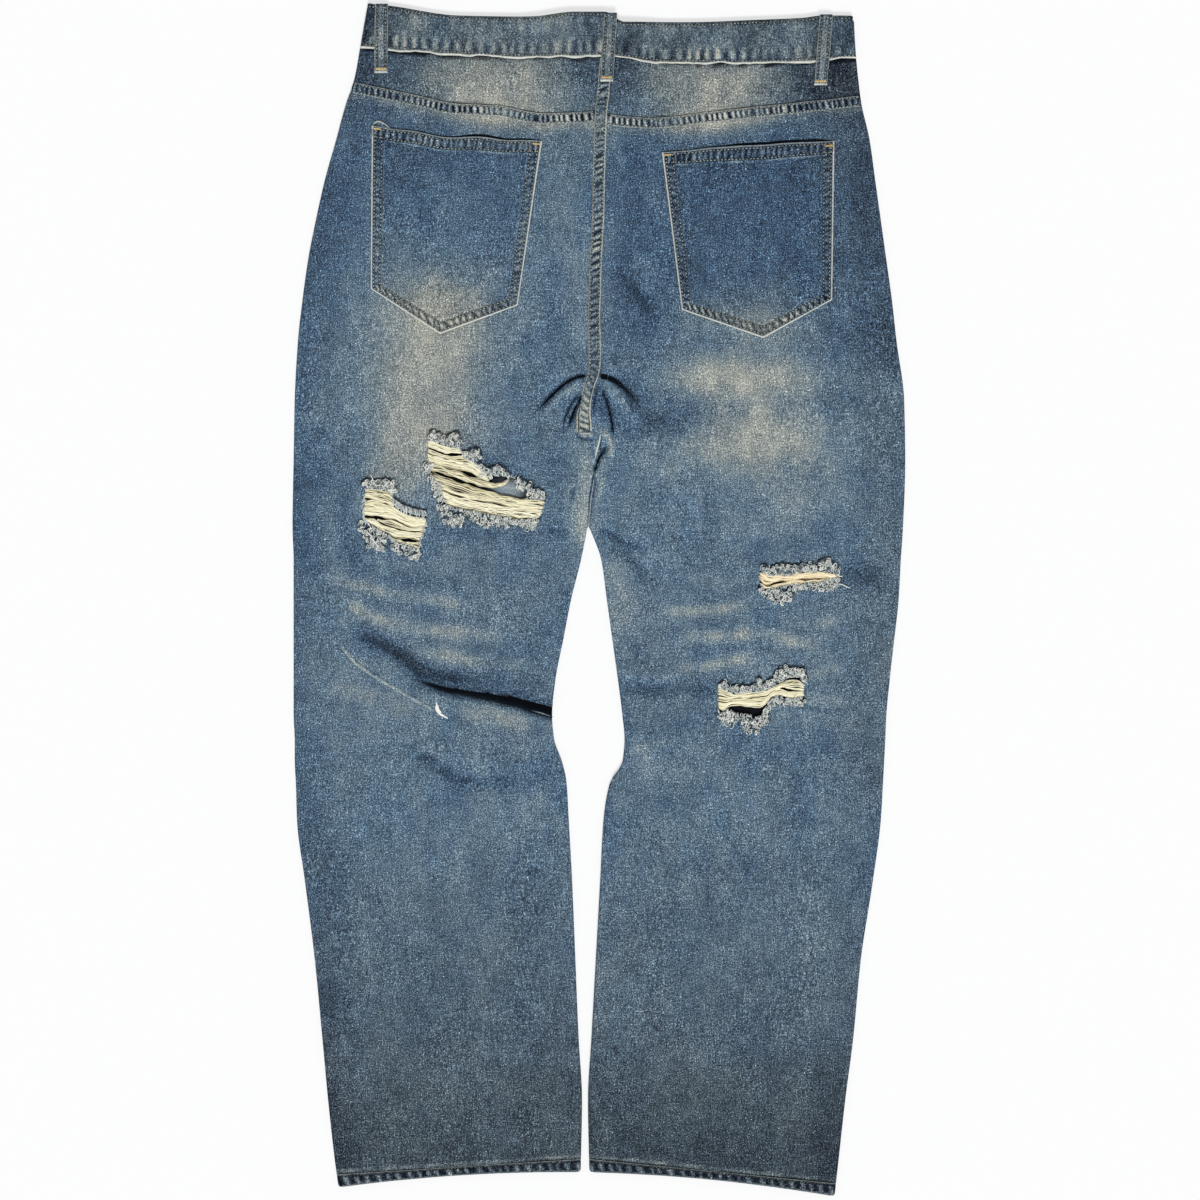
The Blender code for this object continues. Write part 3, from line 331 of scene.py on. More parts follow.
            (210, 560, 16), (276, 500, 18), (310, 524, 24), (320, 560, 26), (330, 600, 22),
            (350, 534, 26), (360, 570, 26), (370, 620, 20), (390, 544, 26), (400, 590, 26),
            (420, 562, 26), (430, 620, 20), (450, 534, 26), (460, 580, 24), (480, 540, 24),
            (500, 502, 24), (510, 540, 18), (506, 462, 20), (346, 630, 14), (416, 640, 14),
            (522, 430, 22), (536, 392, 22), (560, 372, 22), (560, 410, 22), (590, 362, 22),
            (600, 390, 22), (630, 372, 22), (640, 400, 22), (670, 380, 22), (700, 372, 22),
            (710, 404, 20), (740, 390, 22), (770, 390, 22), (790, 408, 18), (810, 380, 16),
            (760, 364, 16),
        ),
        (),
    ),
}


def on_rip(rip, points):
    """Places on a rip's own frame as millimetres."""
    p = np.asarray(points, float)
    return np.stack([rip.x + p[..., 0] * rip.unit, rip.y - p[..., 1] * rip.unit], -1)


Pocket = namedtuple("Pocket", "side tlx tly trx try_ blx bly brx bry tipx tipy")
POCKETS = [
    Pocket("left", -205.5, 427, -52, 413, -206.5, 280, -74, 265, -144, 239),
    Pocket("right", 55.5, 403, 211, 412, 73.5, 261, 209, 270, 147, 235.5),
]
Loop = namedtuple("Loop", "name x_head x_foot y_foot face")
LOOPS = [
    Loop("loop_back_left", -196.5, -197, 474, "back"),
    Loop("loop_back_centre", 9.5, 6, 466, "back"),
    Loop("loop_back_right", 203.5, 198.5, 463, "back"),
    Loop("loop_front_left", -98, -98, 463, "front"),
    Loop("loop_front_right", 104, 104, 456, "front"),
]

# ------------------------------------------------------------ folds, wear and painted shade
# Creases of the back: a line, how high it stands (negative is a trough), how
# far it spreads to the left and right of its direction, how much of each end
# fades out, and how much lighter (or, negative, darker) the cloth is on it.
# The lighter swells are partly worn and partly painted light; the darker
# troughs are painted shade, and the deepest get a painted near-black shadow.
Crease = namedtuple("Crease", "line height left right fade0 fade1 shade")
CREASES = [
    # under the seat: a crisp arc each side of the seam
    Crease(((-60, 167), (-51.5, 175.8), (-41.7, 186), (-33.3, 193.4), (-24.9, 198.8), (-14, 201)),
           -2.2, 3.2, 2.2, 0.34, 0.02, -0.75),
    Crease(((-1.6, 201.4), (6, 200.4), (13, 197.4), (20.6, 192), (27.4, 185), (33, 177.6), (38, 170)),
           -2.2, 3.2, 2.2, 0.02, 0.38, -0.75),
    # the swells under and over those arcs
    Crease(((-52, 162), (-42, 177), (-29, 188), (-15, 193.5)), 1.6, 4.0, 3.4, 0.3, 0.2, 0.16),
    Crease(((1, 193), (9, 190), (18, 182), (24, 168), (25, 150)), 2.0, 4.6, 5.0, 0.15, 0.4, 0.20),
    Crease(((-70, 176), (-44, 206), (-14, 216)), 1.3, 9, 6, 0.4, 0.3, 0.0),
    Crease(((4, 216), (28, 208), (46, 180)), 1.3, 6, 9, 0.3, 0.4, 0.0),
    # inner arcs beside the end of the seat seam
    Crease(((-33, 149), (-32.3, 159), (-29.1, 169.5), (-23.9, 179), (-15.5, 188)),
           -1.4, 1.5, 1.8, 0.40, 0.20, -0.50),
    Crease(((-29.4, 151), (-27, 161), (-23.4, 169.5), (-18.6, 179.5), (-15, 187)),
           -1.8, 1.4, 3.0, 0.35, 0.14, -1.0),
    Crease(((0.6, 191), (5.6, 180), (8.8, 169.5), (10.9, 159), (12.2, 146)),
           -1.9, 1.9, 1.8, 0.16, 0.24, -0.70),
    Crease(((-2.4, 196), (-3.4, 186), (-5.4, 174), (-6.6, 160)), -1.3, 1.3, 1.2, 0.2, 0.3, -0.55),
    # ridge that runs out of the seam's end, and the pinch under it
    Crease(((-4, 153.5), (2, 151.6), (6.6, 147), (9.9, 140), (8.9, 131), (5.4, 124)),
           2.6, 2.7, 2.4, 0.22, 0.35, 0.42),
    Crease(((-24, 155), (-18.5, 149.6), (-12, 147.6), (-4, 147.4)), 1.7, 1.9, 1.7, 0.25, 0.25, 0.28),
    Crease(((-23, 151.6), (-17.8, 146.0), (-11, 144.2), (-3.2, 145.4)), -1.5, 1.5, 1.6, 0.3, 0.3, -0.72),
    Crease(((7.6, 139.4), (4.2, 135.4), (0.4, 129.6), (-2.6, 123.4), (-5.2, 115.6)),
           -2.0, 2.2, 2.2, 0.26, 0.10, -0.95),
    Crease(((0.2, 144), (-0.6, 138), (-2.2, 131)), -1.0, 2.2, 1.8, 0.35, 0.35, -0.40),
    # soft shade out to the right of the right arc, and on the left thigh
    Crease(((30, 176), (40, 166), (56, 158), (78, 154), (100, 154)), -1.1, 11, 9, 0.30, 0.40, -0.24),
    Crease(((28, 152), (44, 148), (70, 146)), 0.8, 6, 7, 0.3, 0.4, 0.04),
    Crease(((-52, 64.5), (-38, 62), (-25, 60)), -0.8, 4, 4, 0.35, 0.35, -0.22),
    # inner thighs, where the legs lie against each other
    Crease(((-17, 132), (-14, 104), (-15, 66), (-22, 30)), 1.7, 7, 5, 0.25, 0.35, 0.10),
    Crease(((-21.8, 105), (-24, 96), (-26, 86)), -0.9, 2.2, 2.2, 0.4, 0.4, -0.42),
    Crease(((4.4, 116), (1.0, 104), (-1.6, 92), (-3.4, 80)), 1.2, 2.4, 2.6, 0.3, 0.4, 0.16),
    Crease(((-3.6, 112), (-5.4, 96), (-7.6, 78), (-8.0, 66)), -1.0, 1.6, 1.6, 0.1, 0.3, -0.40),
    Crease(((-6, 61), (8.7, 60), (19, 54), (32, 48), (46, 43)), -1.1, 4.0, 4.4, 0.15, 0.4, -0.34),
    Crease(((6, 48), (16, 40), (28, 33)), -0.7, 3.0, 3.0, 0.3, 0.4, -0.22),
    # seat, left: soft diagonal below the pocket, towards the seam
    Crease(((-98, 225), (-60, 238), (-22, 256)), -0.8, 9, 8, 0.35, 0.25, -0.14),
    Crease(((-84, 240), (-50, 252), (-20, 270)), 0.7, 8, 8, 0.4, 0.4, 0.04),
    # seat, right: trough from the seam down to the right
    Crease(((5, 300), (22, 290), (36, 272), (52, 252), (68, 244)), -1.5, 7, 8, 0.20, 0.35, -0.33),
    Crease(((14, 312), (38, 296), (58, 270)), 0.9, 8, 8, 0.4, 0.4, 0.03),
    Crease(((10, 416), (18, 398), (24, 384)), 0.6, 4, 4, 0.4, 0.4, 0.13),
    Crease(((22, 416), (36, 396), (44, 372)), -0.8, 6, 7, 0.4, 0.4, -0.12),
    # right seat and thigh, outer side
    Crease(((188, 254), (214, 244), (246, 234)), -0.9, 8, 8, 0.4, 0.2, -0.16),
    Crease(((190, 196), (222, 182), (246, 168)), -0.8, 7, 7, 0.4, 0.3, -0.14),
    Crease(((150, 166), (196, 170), (232, 172)), 0.8, 10, 10, 0.4, 0.4, 0.0),
    Crease(((60, 172), (100, 170), (160, 168)), -0.7, 9, 9, 0.4, 0.4, -0.10),
    # right thigh
    Crease(((2, 60), (20, 46), (42, 22), (60, 8)), -1.1, 5, 6, 0.25, 0.4, -0.20),
    Crease(((54, 66), (70, 56), (100, 44)), -0.9, 6, 6, 0.4, 0.4, -0.15),
    Crease(((30, 62), (56, 38), (84, 22)), 1.2, 9, 9, 0.4, 0.4, 0.04),
    Crease(((14, -26), (34, -44), (46, -64)), -1.0, 5, 5, 0.25, 0.4, -0.16),
    Crease(((16, -74), (44, -80), (80, -80), (112, -77)), -1.3, 6, 8, 0.10, 0.35, -0.20),
    Crease(((18, -62), (48, -66), (88, -66)), 1.8, 7, 6, 0.10, 0.5, 0.06),
    Crease(((17, -96), (26, -118), (20, -140)), -0.8, 6, 6, 0.2, 0.4, -0.12),
    Crease(((9, -142), (40, -134), (72, -124), (108, -116)), 0.7, 3.0, 3.0, 0.1, 0.5, 0.10),
    Crease(((152, -124), (160, -142), (176, -162), (192, -170)), -1.0, 5, 5, 0.3, 0.4, -0.17),
    Crease(((144, -128), (150, -150), (162, -172)), 0.8, 6, 6, 0.4, 0.4, 0.06),
    Crease(((214, 30), (236, 24), (256, 20)), -0.7, 6, 6, 0.3, 0.3, -0.16),
    # left knee: the valley before the lap, and the swells below it
    Crease(((-226, -24), (-208, -34), (-190, -43), (-176, -52), (-162, -61), (-140, -69),
            (-104, -75), (-60, -84)),
           -1.5, 10, 7.5, 0.14, 0.50, -0.44),
    Crease(((-200, -38), (-186, -48), (-172, -58), (-160, -67), (-148, -72)),
           -0.8, 5.5, 5, 0.35, 0.25, -0.26),
    Crease(((-226, -12), (-196, -30), (-172, -44)), 1.2, 9, 8, 0.4, 0.4, 0.05),
    Crease(((-181, -124), (-166, -136), (-147, -146), (-127, -159.5), (-90, -163), (-42, -158)),
           -1.0, 3.6, 9, 0.20, 0.35, -0.40),
    Crease(((-176, -122), (-146, -134), (-112, -146), (-62, -146)), 1.1, 9, 8, 0.4, 0.4, 0.04),
    Crease(((-196, -106), (-180, -112), (-160, -112)), -0.6, 5, 5, 0.4, 0.4, -0.14),
    Crease(((-232, 76), (-226, 54), (-214, 30), (-208, 16)), -0.8, 7, 7, 0.3, 0.4, -0.14),
    # long soft swells, thigh and calf
    Crease(((-248, -180), (-232, -300), (-222, -430)), 0.9, 14, 14, 0.3, 0.4, 0.0),
    Crease(((-70, -190), (-66, -300), (-72, -420)), 0.7, 18, 18, 0.3, 0.3, 0.0),
    Crease(((60, -200), (54, -310), (48, -430)), 0.8, 16, 16, 0.3, 0.3, 0.0),
    Crease(((190, -210), (186, -320), (176, -440)), 0.8, 14, 14, 0.3, 0.3, 0.0),
    Crease(((-250, 330), (-262, 230), (-262, 120)), 0.7, 12, 12, 0.3, 0.3, 0.0),
    Crease(((250, 300), (258, 200), (262, 80)), 0.7, 12, 12, 0.3, 0.3, 0.0),
]

# The lap across the left knee: cloth from above folds down over the cloth
# below along this line, from a soft start to a deep shadow at the inseam.
LAP_LINE = ((-178, -60), (-161, -71.5), (-139.5, -77.4), (-108, -81), (-72, -87),
            (-42, -94.5), (-28, -98))

# Whiskers: pale bands from wear behind the knees; width, then how pale.
Whisker = namedtuple("Whisker", "line width pale")
WHISKERS = [
    Whisker(((-260, 26), (-236, 18), (-214, 12), (-196, 7), (-160, 1), (-128, -4), (-96, -8)), 6.0, 0.20),
    Whisker(((-256, 4), (-230, -2), (-212, -12), (-192, -20), (-150, -27), (-104, -31), (-70, -36)), 6.5, 0.22),
    Whisker(((-178, -48), (-144, -50), (-110, -56), (-70, -59), (-52, -60)), 6.0, 0.17),
    Whisker(((-248, -76), (-222, -84), (-196, -88)), 7.5, 0.13),
    Whisker(((-222, -54), (-204, -60), (-186, -74)), 5.0, 0.10),
    Whisker(((-210, 34), (-170, 30), (-120, 26)), 6.0, 0.07),
    Whisker(((-130, -100), (-96, -106), (-56, -116)), 8.0, 0.17),
    Whisker(((48, -8), (76, -11), (110, -8), (146, -1)), 5.5, 0.25),
    Whisker(((62, -34), (100, -33), (146, -30), (176, -38), (212, -42)), 6.0, 0.25),
    Whisker(((60, -62), (86, -61), (120, -55), (152, -52)), 5.5, 0.22),
    Whisker(((178, -71), (196, -66), (218, -60)), 4.5, 0.14),
    Whisker(((162, -20), (190, -22), (228, -14)), 5.0, 0.10),
    Whisker(((182, -88), (204, -90), (226, -92)), 6.0, 0.14),
    Whisker(((140, -104), (180, -108), (222, -110)), 6.0, 0.08),
    Whisker(((70, 22), (100, 18), (132, 14)), 5.5, 0.07),
]

# Faded and dark patches: middle, half sizes, turn in degrees, how much
# lighter (negative: darker), and how beige. The dark patches beside the rips'
# lips and along the outer edges are painted shade; the pale columns on the
# inner thighs are partly worn and partly painted highlight.
Fade = namedtuple("Fade", "x y rx ry turn amount beige")
FADES = [
    Fade(-140, 252, 34, 34, 0, 0.25, 0.5), Fade(-164, 190, 34, 54, 8, 0.20, 0.45),
    Fade(-153, 205, 72, 96, 0, 0.12, 0.2), Fade(-156, 140, 30, 28, 0, 0.16, 0.3),
    Fade(-190, 112, 18, 22, 0, 0.12, 0.3),
    Fade(124, 200, 48, 15, -2, 0.39, 0.5), Fade(142, 146, 44, 22, 0, 0.34, 0.5),
    Fade(136, 180, 80, 70, 0, 0.16, 0.2), Fade(95, 256, 24, 10, 0, 0.14, 0.2),
    Fade(158, 244, 34, 12, -6, 0.17, 0.3), Fade(168, 92, 38, 26, 0, 0.08, 0.1),
    Fade(-80, 470, 35, 29, 0, 0.26, 0.6), Fade(-122, 470, 38, 20, 0, 0.20, 0.5),
    Fade(-90, 440, 34, 13, -6, 0.30, 0.7), Fade(-60, 500, 60, 10, 0, 0.10, 0.5),
    Fade(84, 465, 37, 29, 0, 0.34, 0.65), Fade(130, 470, 34, 19, 0, 0.29, 0.6),
    Fade(104, 432, 40, 10, 4, 0.30, 0.6),
    Fade(-9, 476, 16, 13, 0, -0.16, 0), Fade(21, 470, 15, 17, 0, -0.20, 0),
    Fade(-3, 424, 13, 16, 0, 0.18, 0.3), Fade(-12, 270, 15, 42, 0, 0.10, 0.1),
    Fade(-70, 372, 20, 30, 0, 0.05, 0), Fade(54, 171, 38, 18, 0, -0.15, 0),
    Fade(236, 366, 18, 52, 0, -0.12, 0), Fade(243, 238, 26, 24, 0, -0.14, 0),
    Fade(226, 175, 30, 10, 0, -0.07, 0), Fade(-210, 478, 30, 16, 0, -0.15, 0),
    Fade(206, 466, 32, 19, 0, -0.25, 0.25), Fade(-16, 100, 10, 50, 0, 0.26, 0.1),
    Fade(16, 2, 11, 34, 0, 0.15, 0.1), Fade(60, 120, 22, 10, 0, 0.05, 0),
    Fade(-103, 126, 18, 5, -18, -0.14, 0), Fade(-106, 60, 40, 6, -3, -0.09, 0),
    Fade(236, 22, 15, 11, 0, -0.24, 0), Fade(148, 47, 11, 7, 0, -0.10, 0),
    Fade(182, 47, 9, 8, 0, -0.09, 0), Fade(-84, -103, 40, 8, -12, 0.08, 0.04),
    Fade(-186, -92, 26, 9, -14, 0.09, 0.2), Fade(-54, -152, 30, 8, 0, -0.08, 0),
    Fade(38, -82, 26, 7, 0, -0.08, 0), Fade(94, -80, 24, 7, 0, -0.08, 0),
    Fade(50, -110, 40, 14, 0, -0.09, 0), Fade(40, -146, 8, 16, 10, 0.08, 0.1),
    Fade(-62, -193, 22, 16, 0, 0.06, 0), Fade(-30, 60, 30, 40, 0, 0.04, 0),
    Fade(-230, 54, 9, 26, 12, -0.07, 0), Fade(-34, 372, 22, 56, 0, 0.10, 0.15),
    Fade(110, -190, 60, 40, 0, 0.05, 0), Fade(-120, -190, 70, 50, 0, 0.03, 0),
]
# How light the cloth is from the waist to the hem, at the middle of a leg.
Light = namedtuple("Light", "y left right beige")
LIGHTNESS = [
    Light(540, 0.37, 0.34, 0.50), Light(470, 0.35, 0.29, 0.50),
    Light(420, 0.38, 0.34, 0.12), Light(340, 0.40, 0.35, 0.04),
    Light(260, 0.43, 0.36, 0.04), Light(180, 0.45, 0.42, 0.04),
    Light(90, 0.44, 0.47, 0.04), Light(0, 0.48, 0.50, 0.14),
    Light(-80, 0.51, 0.51, 0.16), Light(-150, 0.50, 0.47, 0.12),
    Light(-230, 0.47, 0.45, 0.22), Light(-320, 0.40, 0.42, 0.44),
    Light(-400, 0.32, 0.34, 0.64), Light(-460, 0.24, 0.20, 0.86),
    Light(-500, 0.18, 0.12, 0.95), Light(-540, 0.14, 0.09, 0.95),
]


# ------------------------------------------------------------- small maths
def curve(xs, ys):
    """A smooth line through the points that never overshoots them."""
    order = np.argsort(xs)
    x = np.asarray(xs, float)[order]
    y = np.asarray(ys, float)[order]
    step = np.diff(x)
    slope = np.diff(y) / step
    tangent = np.empty_like(y)
    tangent[0], tangent[-1] = slope[0], slope[-1]
    for i in range(1, len(y) - 1):
        if slope[i - 1] * slope[i] <= 0:
            tangent[i] = 0.0
        else:
            a = 2 * step[i] + step[i - 1]
            b = step[i] + 2 * step[i - 1]
            tangent[i] = (a + b) / (a / slope[i - 1] + b / slope[i])

    def at(value):
        v = np.clip(np.asarray(value, float), x[0], x[-1])
        i = np.clip(np.searchsorted(x, v, side="right") - 1, 0, len(step) - 1)
        t = (v - x[i]) / step[i]
        return ((2 * t**3 - 3 * t**2 + 1) * y[i]
                + (t**3 - 2 * t**2 + t) * step[i] * tangent[i]
                + (3 * t**2 - 2 * t**3) * y[i + 1]
                + (t**3 - t**2) * step[i] * tangent[i + 1])

    return at


def smooth(t):
    t = np.clip(t, 0.0, 1.0)
    return t * t * (3 - 2 * t)


def lerp(a, b, t):
    return a + (b - a) * t


def noise(x, y, cell_x, cell_y, seed):
    """Smooth noise from -1 to 1 with cells of the given size."""
    table = np.random.default_rng(seed).random((61, 67)) * 2 - 1
    fx, fy = np.asarray(x, float) / cell_x, np.asarray(y, float) / cell_y
    ix, iy = np.floor(fx).astype(int), np.floor(fy).astype(int)
    tx, ty = smooth(fx - ix), smooth(fy - iy)

    def cell(i, j):
        return table[i % 61, j % 67]

    return lerp(lerp(cell(ix, iy), cell(ix + 1, iy), tx),
                lerp(cell(ix, iy + 1), cell(ix + 1, iy + 1), tx), ty)


out_l = curve([r.y for r in OUTLINE], [r.out_l for r in OUTLINE])
out_r = curve([r.y for r in OUTLINE], [r.out_r for r in OUTLINE])
LEGS = [r for r in OUTLINE if r.in_l is not None]
leg_l = curve([r.y for r in LEGS], [r.in_l for r in LEGS])
leg_r = curve([r.y for r in LEGS], [r.in_r for r in LEGS])
centre = curve([r.y for r in CENTRE], [r.x for r in CENTRE])
band_head = curve([e.x for e in BAND_HEAD], [e.y for e in BAND_HEAD])
band_foot = curve([e.x for e in BAND_FOOT], [e.y for e in BAND_FOOT])
yoke_foot = curve([e.x for e in YOKE_FOOT], [e.y for e in YOKE_FOOT])
light_l = curve([r.y for r in LIGHTNESS], [r.left for r in LIGHTNESS])
light_r = curve([r.y for r in LIGHTNESS], [r.right for r in LIGHTNESS])
beige_of = curve([r.y for r in LIGHTNESS], [r.beige for r in LIGHTNESS])


def outer_edge(side, y):
    return out_l(y) if side == "left" else out_r(y)


def inner_edge(side, y):
    clear = -GAP / 2 if side == "left" else GAP / 2
    leg = leg_l(y) if side == "left" else leg_r(y)
    return np.where(np.asarray(y) >= 66, centre(y), leg) + clear


def rolled(y):
    return smooth((SEAT_SEAM_END - y) / (SEAT_SEAM_END - ROLLED_UNDER))


def band_lump(x):
    return LAP_RISE * smooth((x + 78) / 34) * smooth((62 - x) / 34)


def front_dip(x):
    return FRONT_DIP * smooth((188 - np.abs(x - 4)) / 130)


# ------------------------------------------------------------ lines on cloth
class Line:
    """A smooth line through points, with distances measured from it."""

    def __init__(self, points, step=3.0):
        p = np.asarray(points, float)
        run = np.r_[0, np.cumsum(np.hypot(*np.diff(p, axis=0).T))]
        self.length = run[-1]
        self.fx, self.fy = curve(run, p[:, 0]), curve(run, p[:, 1])
        count = max(3, int(math.ceil(self.length / step)) + 1)
        self.s = np.linspace(0, self.length, count)
        self.p = np.stack([self.fx(self.s), self.fy(self.s)], 1)

    def at(self, s):
        return np.stack([self.fx(s), self.fy(s)], -1)

    def normal(self, s):
        """The direction to the left of the line's own."""
        d = self.at(np.asarray(s) + 0.5) - self.at(np.asarray(s) - 0.5)
        d = d / np.maximum(np.linalg.norm(d, axis=-1, keepdims=True), 1e-9)
        return np.stack([-d[..., 1], d[..., 0]], -1)

    def near(self, x, y, reach):
        lo, hi = self.p.min(0) - reach, self.p.max(0) + reach
        return (x > lo[0]) & (x < hi[0]) & (y > lo[1]) & (y < hi[1])

    def measure(self, x, y):
        """Distance, positive to the left, and place along the line."""
        best = np.full(x.shape, 1e9)
        side, along = np.ones(x.shape), np.zeros(x.shape)
        for k in range(len(self.p) - 1):
            ax, ay = self.p[k]
            dx, dy = self.p[k + 1] - self.p[k]
            s = np.clip(((x - ax) * dx + (y - ay) * dy) / (dx * dx + dy * dy), 0, 1)
            ex, ey = x - (ax + s * dx), y - (ay + s * dy)
            d = np.hypot(ex, ey)
            closer = d < best
            best = np.where(closer, d, best)
            side = np.where(closer, np.where(dx * ey - dy * ex > 0, 1.0, -1.0), side)
            along = np.where(closer, self.s[k] + s * (self.s[k + 1] - self.s[k]), along)
        return best * side, along


CREASE_LINES = [(c, Line(c.line)) for c in CREASES]
WHISKER_LINES = [(w, Line(w.line)) for w in WHISKERS]
LAP = Line(LAP_LINE)


def creases_at(x, y):
    """Height and shade that the creases add."""
    rise, shade = np.zeros(x.shape), np.zeros(x.shape)
    for c, line in CREASE_LINES:
        near = line.near(x, y, 3.0 * max(c.left, c.right))
        if not near.any():
            continue
        d, s = line.measure(x[near], y[near])
        t = s / line.length
        share = np.ones(t.shape)
        if c.fade0 > 0:
            share = share * smooth(t / c.fade0)
        if c.fade1 > 0:
            share = share * smooth((1 - t) / c.fade1)
        spread = np.where(d > 0, c.left, c.right)
        rise[near] += c.height * share * np.exp(-((d / spread) ** 2))
        shade[near] += c.shade * share * np.exp(-((d / (spread * 0.9)) ** 2))
    return rise, shade


def lap_at(x, y):
    """The knee lap: (south shift, rise, shadow) at each point."""
    shift, rise, dark = (np.zeros(x.shape) for _ in range(3))
    near = LAP.near(x, y, 42.0)
    if not near.any():
        return shift, rise, dark
    d, s = LAP.measure(x[near], y[near])
    t = s / LAP.length
    # the line runs towards +X, so its left is the upper cloth
    below = -d
    amount = smooth(t / 0.42)
    crisp = smooth((t - 0.16) / 0.36)
    lift = 4.0 * amount * np.exp(-((np.minimum(below, 0) / 15.0) ** 2))
    lip = smooth((1.2 - below) / 1.4)
    trench = -1.9 * smooth(t / 0.25) * smooth((below - 0.2) / 1.2) * smooth((12.0 - below) / 6.5)
    rise[near] = lift * lip + trench * (1 - lip)
    push = (2.3 * np.exp(-(((below + 0.3) / 2.2) ** 2)) * (below < 0.7)
            - 1.4 * np.exp(-(((below - 2.6) / 2.0) ** 2)) * (below >= 0.7))
    shift[near] = push * crisp
    width = lerp(2.0, 13.8, np.clip((t - 0.10) / 0.90, 0, 1) ** 0.74) + 0.4 * noise(s, s * 0, 7.0, 1.0, 91)
    shadow = smooth((below + 0.5) / 0.9) * smooth((width + 1.2 - below) / 1.8)
    # the cloth under the lap comes up out of the dark as a deep blue
    shadow = shadow * (1 - 0.08 * smooth((below - 0.5 * width) / (0.5 * width)))
    # the folded lip shades off upwards, the cloth under it downwards
    soft = 0.44 * smooth((below + 4.5) / 4.5) * smooth((width + 5.0 - below) / 5.0)
    dark[near] = np.maximum(shadow * smooth(t / 0.20), soft * smooth(t / 0.12))
    return shift, rise, dark


def cloth_top(x, y):
    """The outer face of the back cloth."""
    x, y = np.broadcast_arrays(np.asarray(x, float), np.asarray(y, float))
    foot = band_foot(x)
    z = np.full(x.shape, BACK_TOP)
    near_band = smooth((y - (foot - 38)) / 20)
    z = z + near_band * (1.15 + band_lump(x)) * smooth((225 - np.abs(x - 4)) / 30)
    z = z + creases_at(x, y)[0] + lap_at(x, y)[1]
    z = z + 0.45 * noise(x, y, 62, 80, 3) + 0.22 * noise(x, y, 23, 31, 4)
    return np.maximum(z, 2.55)


FADE_ROWS = [(f, math.cos(math.radians(f.turn)), math.sin(math.radians(f.turn)))
             for f in FADES]


def wear_and_shade_at(x, y, side):
    """fade, shadow, bare edge and beige of the back cloth."""
    x, y = np.broadcast_arrays(np.asarray(x, float), np.asarray(y, float))
    fade = (light_l(y) if side == "left" else light_r(y)).copy()
    out = np.abs(outer_edge(side, y) - x)
    # painted shade: darker towards the outer edge, where the cloth curves away
    fade -= (0.10 if side == "left" else 0.07) * smooth((46 - out) / 46)
    fade += 0.05 * noise(x, y, 34, 60, 21) + 0.045 * noise(x, y, 11, 22, 22)
    fade += 0.035 * noise(x, y, 6, 9, 24)
    beige = beige_of(y) + 0.06 * noise(x, y, 26, 40, 25)
    if side == "right":
        beige = beige + 0.30 * smooth((66 - out) / 60) * smooth((y + 260) / 120)
    for f, c, s in FADE_ROWS:
        dx, dy = x - f.x, y - f.y
        u, v = (dx * c + dy * s) / f.rx, (-dx * s + dy * c) / f.ry
        g = np.exp(-0.5 * (u * u + v * v) ** 1.15)
        fade += f.amount * g * (1 + 0.25 * noise(x, y, 16, 24, 23))
        beige += f.beige * g
    for w, line in WHISKER_LINES:
        near = line.near(x, y, 3.0 * w.width)
        if not near.any():
            continue
        d, s = line.measure(x[near], y[near])
        share = smooth(s / (0.22 * line.length)) * smooth((line.length - s) / (0.25 * line.length))
        g = share * np.exp(-((np.abs(d) / w.width) ** 2.4))
        g *= 1 + 0.30 * noise(s, d, 13, 9, 31) + 0.28 * noise(s, d, 3.0, 30, 32)
        fade[near] += w.pale * g
        beige[near] += 0.7 * w.pale * g
    # the creases' painted light and shade: paler on the swells, darker in the troughs, and a painted near-black shadow
    # in the deepest and under the knee lap
    rise, shade = creases_at(x, y)
    light = np.maximum(shade, 0)
    deep = np.maximum(-shade, 0)
    fade += light - 0.55 * deep * (deep < 0.5)
    dark = smooth((deep - 0.12) / 0.80) * 0.98
    dark = np.maximum(dark, lap_at(x, y)[2])
    fade -= 0.10 * np.clip(dark * 3, 0, 1)
    edge = np.zeros(x.shape)
    return fade, dark, edge, np.clip(beige, 0, 1)


# --------------------------------------------------------------- mesh making
SURFACES = []      # millimetre points and faces of the cloth, to lay others on
MADE = {}


def mesh_piece(name, points, face_groups, mat, wear_and_shade=None, tone=None,
               smooth_shade=True):
    """A mesh object from millimetre points and arrays of faces."""
    mesh = bpy.data.meshes.new(name)
    points = np.asarray(points, float)
    groups = [np.asarray(g, np.int32) for g in face_groups if len(g)]
    mesh.vertices.add(len(points))
    mesh.vertices.foreach_set("co", (points * 0.001).astype(np.float32).ravel())
    corners = np.concatenate([g.ravel() for g in groups])
    sizes = np.concatenate([np.full(len(g), g.shape[1], np.int32) for g in groups])
    mesh.loops.add(len(corners))
    mesh.loops.foreach_set("vertex_index", corners)
    mesh.polygons.add(len(sizes))
    starts = np.concatenate([[0], np.cumsum(sizes)[:-1]]).astype(np.int32)
    mesh.polygons.foreach_set("loop_start", starts)
    mesh.polygons.foreach_set("loop_total", sizes)
    mesh.update(calc_edges=True)
    mesh.polygons.foreach_set("use_smooth", np.full(len(sizes), smooth_shade))
    for label, values in (("wear_and_shade", wear_and_shade), ("tone", tone)):
        if values is not None:
            layer = mesh.attributes.new(label, "FLOAT_COLOR", "POINT")
            layer.data.foreach_set("color", np.asarray(values, np.float32).ravel())
    mesh.materials.append(mat)
    mesh.update()
    obj = bpy.data.objects.new(name, mesh)
    bpy.context.scene.collection.objects.link(obj)
    MADE[name] = obj
    return obj


def normals_of(P):
    du = np.empty_like(P)
    du[:, 1:-1] = P[:, 2:] - P[:, :-2]
    du[:, 0], du[:, -1] = P[:, 1] - P[:, 0], P[:, -1] - P[:, -2]
    dv = np.empty_like(P)
    dv[1:-1] = P[2:] - P[:-2]
    dv[0], dv[-1] = P[1] - P[0], P[-1] - P[-2]
    n = np.cross(du, dv)
    return n / np.maximum(np.linalg.norm(n, axis=2, keepdims=True), 1e-9)


